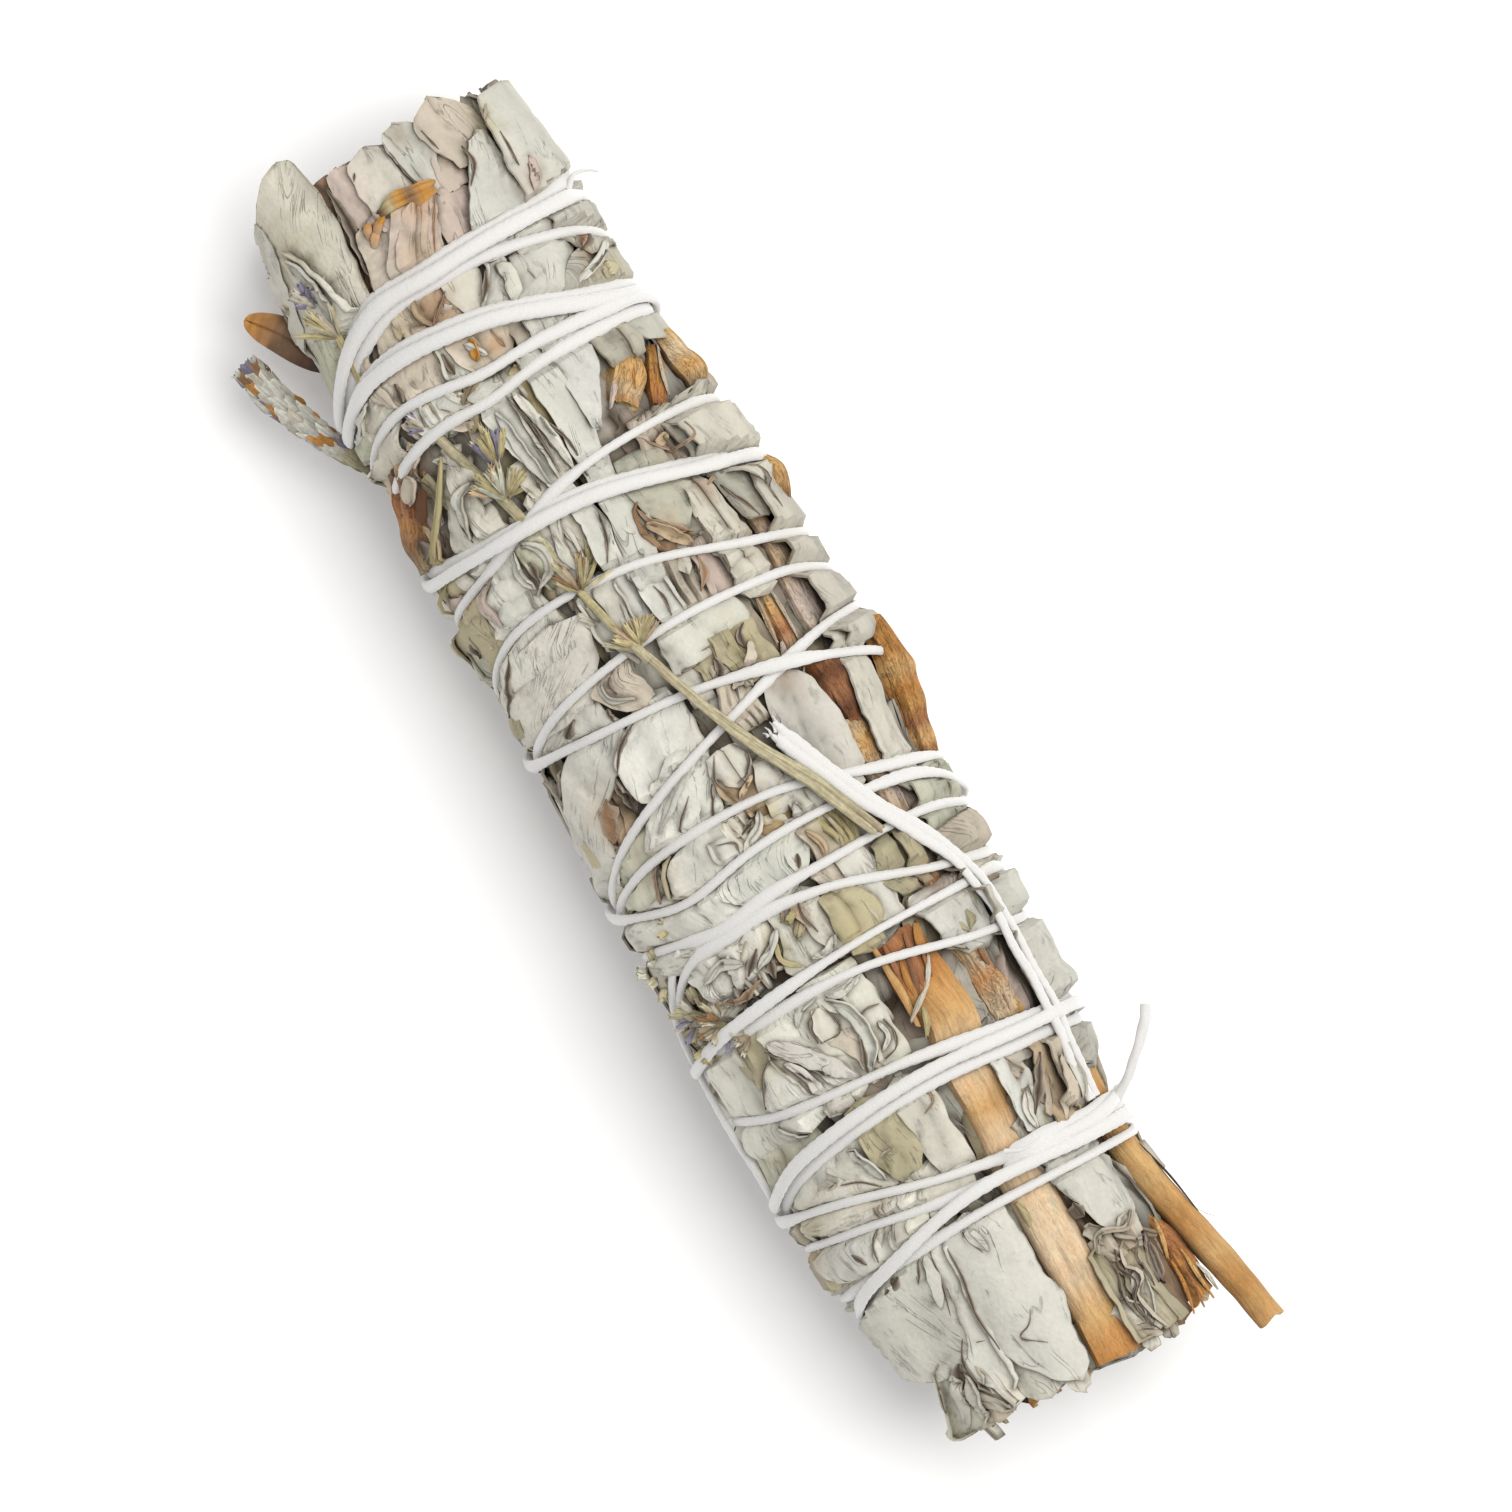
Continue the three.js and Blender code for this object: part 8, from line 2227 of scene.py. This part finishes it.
# %% Dried leaf
# A leaf that dried brown: thin, brittle and slightly waxy. Veins leave the middle rib about 0.8 mm apart, and
# small brown blotches spread between them.
brown_leaf, tree, shader = new_material("brittle_brown_leaf")
place = add_node(tree, "ShaderNodeTexCoord")
tone = add_node(tree, "ShaderNodeVertexColor", layer_name="tone")
own = add_node(tree, "ShaderNodeUVMap", uv_map="own_mm")
vein_way = add_node(tree, "ShaderNodeMapping",
                    {"Vector": own.outputs["UV"], "Scale": (1 / (0.8 * MM), 1 / (2.2 * MM), 1)})
veins = add_node(tree, "ShaderNodeTexNoise",
                 {"Vector": vein_way.outputs["Vector"], "Scale": 1.0, "Detail": 3.0, "Distortion": 0.5},
                 noise_dimensions="2D")
blotches = add_node(tree, "ShaderNodeTexNoise",
                    {"Vector": place.outputs["Object"], "Scale": 1 / (1.3 * MM), "Detail": 5.0,
                     "Roughness": 0.65})
vein_shade = add_node(tree, "ShaderNodeMapRange",
                      {"Value": veins.outputs["Fac"], "From Min": 0.3, "From Max": 0.7, "To Min": 0.84,
                       "To Max": 1.12})
blotch_shade = add_node(tree, "ShaderNodeMapRange",
                        {"Value": blotches.outputs["Fac"], "From Min": 0.3, "From Max": 0.7, "To Min": 0.82,
                         "To Max": 1.12})
shade = add_node(tree, "ShaderNodeMath", {0: vein_shade.outputs["Result"], 1: blotch_shade.outputs["Result"]},
                 operation="MULTIPLY")
coloured = add_node(tree, "ShaderNodeVectorMath", {0: tone.outputs["Color"], "Scale": shade.outputs["Value"]},
                    operation="SCALE")
# Painted shade in the gaps round the brown leaves.
gap_shaded = shade_in_gaps(tree, coloured.outputs["Vector"])
tree.links.new(gap_shaded.outputs["Vector"], shader.inputs["Base Color"])
leaf_bump = add_node(tree, "ShaderNodeBump",
                     {"Height": veins.outputs["Fac"], "Distance": 0.0001, "Strength": 0.4})
tree.links.new(leaf_bump.outputs["Normal"], shader.inputs["Normal"])
shader.inputs["Roughness"].default_value = 0.55
shader.inputs["Specular IOR Level"].default_value = 0.4
BROWN_THICKNESS = 0.2
for name, node, parts in (("rolled_brown_leaf", "brown_leaf_rolled", rolled_parts),
                          ("orange_side_leaf", "brown_leaf_side", side_parts)):
    piece = piece_from(name, parts)
    thicken(piece, BROWN_THICKNESS)
    finish_piece(piece, brown_leaf, [node], smooth_angle=45)

# %% [markdown]
# ## Lavender
# A lavender stem is thin and square. Its flowers sit in whorls: ribbed straw-coloured calyxes, and from
# some of them a shrivelled purple flower looks out. One calyx is modelled from an eight-sided cylinder and
# copied into every whorl.

# %% Model a calyx and a flower
CALYX_SIDES = 8
MOUTH_INSET = 0.22
MOUTH_SINK = 0.5
CALYX_PROFILE = (0.3, 0.62, 0.88, 1.0, 0.97, 0.9, 0.94)
FLOWER_PROFILE = (0.3, 0.4, 0.5, 0.62, 0.86, 1.15, 1.5)


def model_bud(profile, teeth):
    """A little tube, 2 mm long and about 2 mm wide, open at its upper end."""
    bpy.ops.object.select_all(action="DESELECT")
    bpy.ops.mesh.primitive_cylinder_add(vertices=CALYX_SIDES, radius=MM, depth=2 * MM)
    bud = bpy.context.object
    edit(bud)
    cut_into_rings(bud, len(profile) - 2)
    bpy.ops.mesh.select_mode(type="VERT")
    for number, width in enumerate(profile):
        z = (-1 + 2 * number / (len(profile) - 1)) * MM
        select_points(bud, lambda place: abs(place.z - z) < 0.05 * MM)
        bpy.ops.transform.resize(value=(width, width, 1), center_override=(0, 0, 0))
        bpy.ops.mesh.select_all(action="DESELECT")
    select_faces(bud, lambda middle, normal: middle.z > 0.98 * MM and normal.z > 0.9)
    bpy.ops.mesh.inset(thickness=MOUTH_INSET * MM)
    bpy.ops.transform.translate(value=(0, 0, -MOUTH_SINK * MM))
    bpy.ops.mesh.select_mode(type="VERT")
    bpy.ops.mesh.select_all(action="DESELECT")
    select_points(bud, lambda place: place.z > 0.98 * MM
                  and round(math.degrees(math.atan2(place.y, place.x)) / 45) % 2 == 0)
    bpy.ops.transform.translate(value=(0, 0, teeth * MM))
    leave_edit()
    points, faces = read_mesh(bud)
    take_away(bud)
    return points, faces


calyx_shape = model_bud(CALYX_PROFILE, 0.35)
flower_shape = model_bud(FLOWER_PROFILE, -0.4)
print("calyx:", len(calyx_shape[1]), "faces")


def place_bud(shape, at, way, length, width, tone, random, squash=0.8):
    """Puts a bud with its foot at a point, pointing along way. Points in packed mm."""
    points, faces = shape
    way = np.asarray(way, float) / np.linalg.norm(way)
    side = np.cross(way, (0.0, 0.0, 1.0))
    side /= max(np.linalg.norm(side), 1e-6)
    up = np.cross(way, side)
    roll = random.uniform(-math.pi, math.pi)
    on_rib = np.round(np.degrees(np.arctan2(points[:, 1], points[:, 0])) / 45) % 2 == 0
    ribs = 1 + 0.1 * np.where(on_rib, 1, -1)
    a = points[:, 0] * math.cos(roll) - points[:, 1] * math.sin(roll)
    b = points[:, 0] * math.sin(roll) + points[:, 1] * math.cos(roll)
    reach = (points[:, 2] + 1) / 2
    a = a * ribs * width / 2 + 0.12 * width * np.sin(reach * 3 + random.uniform(0, 6))
    b = b * ribs * width / 2 * squash
    placed = np.asarray(at) + np.outer(reach * length, way) + np.outer(a, side) + np.outer(b, up)
    # Painted shade: darker inside the mouth and towards the foot; the rest of the change in tone is at
    # random.
    hollow = np.where(np.hypot(points[:, 0], points[:, 1]) < 0.7, 0.75, 1)
    shade = random.uniform(0.8, 1.15) * (0.75 + 0.3 * reach) * hollow
    colours = np.clip(TONES[tone][None, :] * shade[:, None], 0.01, 0.95)
    own = np.stack((reach * length + random.uniform(0, 500), a), axis=1)
    return placed, faces, colours, own


# %% Lay the lavender
LAVENDER_SEED = 12
lavender_random = np.random.default_rng(LAVENDER_SEED)


def whorl(x, y, depth, heading, spread, count, tones, length=2.6, width=0.54, reach=0.5):
    """Buds round a stem at a place, fanned out from the stem's heading. Degrees are seen from above."""
    made = []
    foot = on_bundle(x, angle_at(x, y, depth), depth)
    for k in range(count):
        share = (k + 0.5) / count * 2 - 1
        aim = math.radians(heading + share * spread + lavender_random.normal(0, 7))
        rise = lavender_random.uniform(-0.1, 0.35)
        start = foot + np.array((-math.sin(aim), math.cos(aim), 0)) * lavender_random.uniform(-0.2, 0.2)
        start = start + np.array((math.cos(aim), math.sin(aim), 0)) * reach * lavender_random.uniform(0.3, 1)
        tone = tones[lavender_random.integers(len(tones))]
        shape = flower_shape if tone == "purple" and lavender_random.random() < 0.6 else calyx_shape
        made.append(place_bud(shape, start, (math.cos(aim), math.sin(aim), rise),
                              length * lavender_random.uniform(0.8, 1.2),
                              width * lavender_random.uniform(0.85, 1.15), tone, lavender_random))
    return made


STRAW_TONES = ("straw", "stalk", "olive", "straw", "tan")
LAVENDER_STEMS = (
    ("long", stem_shape,
     [(13.0, 8.0, -0.9, 0.4), (6, 5.3, -1.1, 0.46), (0, 2.4, -1.1, 0.4), (-7, -0.3, -1.1, 0.34),
      (-13.6, -2.3, -1.0, 0.3)], ("olive", "stalk", "olive", "stalk", "drab"),
     dict(flatness=0.9, ridge=0.1, ragged=(0.4, 0.2))),
    ("long", stem_shape,
     [(13.2, 8.8, -0.9, 0.38), (6, 6.1, -1.15, 0.42), (0, 3.0, -1.15, 0.36), (-7, 0.15, -1.15, 0.3),
      (-13.6, -2.0, -1.0, 0.3)], ("drab", "olive", "stalk", "olive", "stalk"),
     dict(flatness=0.9, ridge=0.1, ragged=(0.4, 0.2))),
    ("long", splinter_shape,
     [(-13.0, -2.1, -1.0, 0.55), (-19, -3.8, -0.6, 0.45), (-24.4, -4.8, 0.4, 0.4), (-31, -5.5, 0.6, 0.55),
      (-36, -6.7, 0.8, 0.6), (-41, -8.1, 0.9, 0.55), (-46, -9.4, 1.3, 0.5)],
     ("olive", "straw", "olive", "olive"), dict(flatness=0.8, ridge=0.1, pith=False)),
    ("long", splinter_shape,
     [(-13.4, -3.0, 0.3, 0.3), (-17, -4.7, 0.4, 0.32), (-20, -5.9, 0.3, 0.3), (-23.6, -4.2, 0.6, 0.3)],
     ("grey", "dark"), dict(flatness=0.8, ridge=0.05, pith=False)),
    ("upper", splinter_shape,
     [(-47.6, -12.6, 0.9, 0.5), (-52.5, -12.3, 0.5, 0.5), (-56.6, -11.9, -0.4, 0.5),
      (-60.6, -11.9, 0.0, 0.5)], ("olive", "straw", "straw"), dict(flatness=0.8, ridge=0.1, pith=False)),
    ("low", splinter_shape,
     [(27.5, -11.8, 1.6, 0.5), (24.6, -13.2, 1.5, 0.6), (21.4, -15, 1.2, 0.6), (19, -16.8, 1.2, 0.5)],
     ("olive", "straw"), dict(flatness=0.8, ridge=0.1, pith=False)),
)
# For each whorl: sprig, x, y, depth, heading, spread, how many buds, their tones, and what else differs.
WHORLS = (
    ("long", -14.6, -2.3, -0.9, 172, 60, 15, STRAW_TONES, {}),
    ("long", -18.6, -4.6, 0.4, 188, 30, 6, ("purple", "grey"), dict(length=1.6, width=0.5)),
    ("long", -22.4, -4.4, -0.3, 160, 62, 14, ("straw", "tan", "brown", "stalk"), dict(length=2.8)),
    ("long", -24.0, -2.2, 0.3, 140, 40, 6, STRAW_TONES, dict(length=1.9, width=0.5)),
    ("long", -34.0, -6.0, 0.3, 160, 66, 15, ("olive", "straw", "green", "straw"),
     dict(length=3.1, width=0.6)),
    ("long", -35.0, -6.6, 0.3, 200, 50, 7, ("olive", "straw", "tan"), dict(length=2.2, width=0.6)),
    ("long", -37.0, -5.0, 0.2, 172, 26, 16, ("purple", "grey", "purple", "straw"),
     dict(length=3.0, width=0.55, reach=1.2)),
    ("long", -44.0, -9.0, 0.7, 185, 60, 8, ("straw", "grey", "purple"), dict(length=2.2)),
    ("upper", -56.6, -12.0, -0.7, 180, 46, 12, ("straw", "olive", "stalk", "beige"), dict(length=3.1)),
    ("upper", -60.4, -12.0, -0.6, 178, 60, 16, ("purple", "purple", "grey"),
     dict(length=1.9, width=0.8, reach=0.9)),
    ("upper", -60.4, -14.2, 0.6, 175, 60, 8, ("tan", "straw", "beige"), dict(length=1.9, width=0.7)),
    ("low", 23.8, -12.4, 0.9, 236, 70, 14, ("brown", "drab", "grey", "drab"),
     dict(length=1.6, width=0.6, reach=1.0)),
    ("low", 21.6, -14.4, 0.5, 225, 110, 26, ("brown", "drab", "grey", "drab", "olive", "purple"),
     dict(length=1.4, width=0.6, reach=1.6)),
    ("low", 20.0, -16.0, 0.4, 235, 100, 24, ("purple", "olive", "drab", "olive", "grey"),
     dict(length=1.4, width=0.6, reach=1.7)),
    ("low", 22.8, -16.6, 0.6, 300, 60, 7, ("straw", "olive"), dict(length=1.7, width=0.6, reach=0.8)),
    ("low", 14.2, -17.2, 0.3, 0, 180, 18, ("straw", "olive", "green", "stalk"),
     dict(length=1.1, width=0.9, reach=1.7)),
    ("low", 10.6, -14.2, 0.5, 0, 180, 5, ("straw", "olive"), dict(length=0.9, width=0.7, reach=0.8)),
)
lavender_parts = {f"lavender_sprig_{name}": [] for name in ("long", "upper", "low")}
for name, shape, rows, tones, how in LAVENDER_STEMS:
    lavender_parts[f"lavender_sprig_{name}"].append(lay_stem(shape, rows, tones, lavender_random, **how))
for name, x, y, depth, heading, spread, count, tones, how in WHORLS:
    lavender_parts[f"lavender_sprig_{name}"] += whorl(x, y, depth, heading, spread, count, tones, **how)
print("buds and stems:", {name: len(parts) for name, parts in lavender_parts.items()})

# %% The spike of buds that sticks out
SPIKE = ((-44.2, -16.2, 12.4), (-46.3, -17.0, 11.9), (-50.5, -19.0, 10.9), (-55.0, -20.6, 10.1),
         (-57.8, -21.3, 9.7))
SPIKE_RADII = (0.8, 1.0, 1.2, 1.4, 1.35)
SPIKE_ROWS = 18
SPIKE_ROUND = 6
SPIKE_CORE = 0.85  # share of its radius that is solid
SPIKE_CORE_SIDES = 10
SPIKE_FOOT = 60  # points of the core that are stem
SPIKE_TONES = ("light", "pale", "grey", "light", "pale", "purple", "light", "pale", "grey", "white", "light",
               "orange")
SPIKE_TIP_TONES = ("purple", "light", "brown", "purple")
number = np.arange(len(SPIKE))
spike_parts = []
core_at = np.linspace(0, len(SPIKE) - 1, 26)
core = curve(SPIKE, core_at) - ORIGIN
core_radii = np.interp(core_at, number, SPIKE_RADII) * SPIKE_CORE
rings, faces, own = sweep(core, np.tile((0.0, 0.0, 1.0), (len(core), 1)), SPIKE_CORE_SIDES,
                          lambda angles, steps: core_radii[steps])
# Painted shade: the core, seen only between the buds, is darker than its tones.
core_colours = np.tile(TONES["grey"] * 0.8, (len(rings), 1))
core_colours[:SPIKE_FOOT] = TONES["olive"] * 0.6
spike_parts.append((rings, faces, core_colours, own))
for row in range(SPIKE_ROWS):
    share = 0.1 + 0.9 * row / (SPIKE_ROWS - 1)
    at = share * (len(SPIKE) - 1)
    centre, onward = curve(SPIKE, np.array((at - 0.15, min(at + 0.25, len(SPIKE) - 1))))
    heading = (onward - centre) / np.linalg.norm(onward - centre)
    side = np.cross(heading, (0, 0, 1.0))
    up = np.cross(side, heading)
    radius = float(np.interp(at, number, SPIKE_RADII))
    for k in range(SPIKE_ROUND):
        angle = 2 * math.pi * (k + 0.5 * (row % 2)) / SPIKE_ROUND + lavender_random.normal(0, 0.1)
        outward = side * math.cos(angle) + up * math.sin(angle)
        tone = SPIKE_TONES[lavender_random.integers(len(SPIKE_TONES))]
        if share < 0.22:
            tone = "olive"
        if share > 0.93:
            tone = SPIKE_TIP_TONES[lavender_random.integers(len(SPIKE_TIP_TONES))]
        foot = centre - ORIGIN + outward * radius * 0.62
        spike_parts.append(place_bud(calyx_shape, foot, heading + outward * 0.03, 2.3, radius * 1.15, tone,
                                     lavender_random, squash=0.7))
lavender_parts["lavender_spike"] = spike_parts
print("parts of the spike:", len(spike_parts))

# %% Lavender
# Dried lavender: papery ribbed calyxes and shrivelled petals, matte, with a fine fur. Faint lines run along
# them 0.2 mm apart.
lavender, tree, shader = new_material("dried_lavender")
place = add_node(tree, "ShaderNodeTexCoord")
tone = add_node(tree, "ShaderNodeVertexColor", layer_name="tone")
own = add_node(tree, "ShaderNodeUVMap", uv_map="own_mm")
rib_way = add_node(tree, "ShaderNodeMapping",
                   {"Vector": own.outputs["UV"], "Scale": (1 / (2.5 * MM), 1 / (0.2 * MM), 1)})
ribs = add_node(tree, "ShaderNodeTexNoise",
                {"Vector": rib_way.outputs["Vector"], "Scale": 1.0, "Detail": 2.0}, noise_dimensions="2D")
fur = add_node(tree, "ShaderNodeTexNoise",
               {"Vector": place.outputs["Object"], "Scale": 1 / (0.5 * MM), "Detail": 4.0})
rib_shade = add_node(tree, "ShaderNodeMapRange",
                     {"Value": ribs.outputs["Fac"], "From Min": 0.3, "From Max": 0.7, "To Min": 0.74,
                      "To Max": 1.16})
fur_shade = add_node(tree, "ShaderNodeMapRange",
                     {"Value": fur.outputs["Fac"], "From Min": 0.3, "From Max": 0.7, "To Min": 0.82,
                      "To Max": 1.15})
shade = add_node(tree, "ShaderNodeMath", {0: rib_shade.outputs["Result"], 1: fur_shade.outputs["Result"]},
                 operation="MULTIPLY")
coloured = add_node(tree, "ShaderNodeVectorMath", {0: tone.outputs["Color"], "Scale": shade.outputs["Value"]},
                    operation="SCALE")
tree.links.new(coloured.outputs["Vector"], shader.inputs["Base Color"])
rib_bump = add_node(tree, "ShaderNodeBump",
                    {"Height": ribs.outputs["Fac"], "Distance": 0.0001, "Strength": 0.5})
tree.links.new(rib_bump.outputs["Normal"], shader.inputs["Normal"])
shader.inputs["Roughness"].default_value = 0.85
shader.inputs["Specular IOR Level"].default_value = 0.25
for node, parts in lavender_parts.items():
    piece = piece_from("dried_" + node, parts)
    finish_piece(piece, lavender, [node], smooth_angle=60)
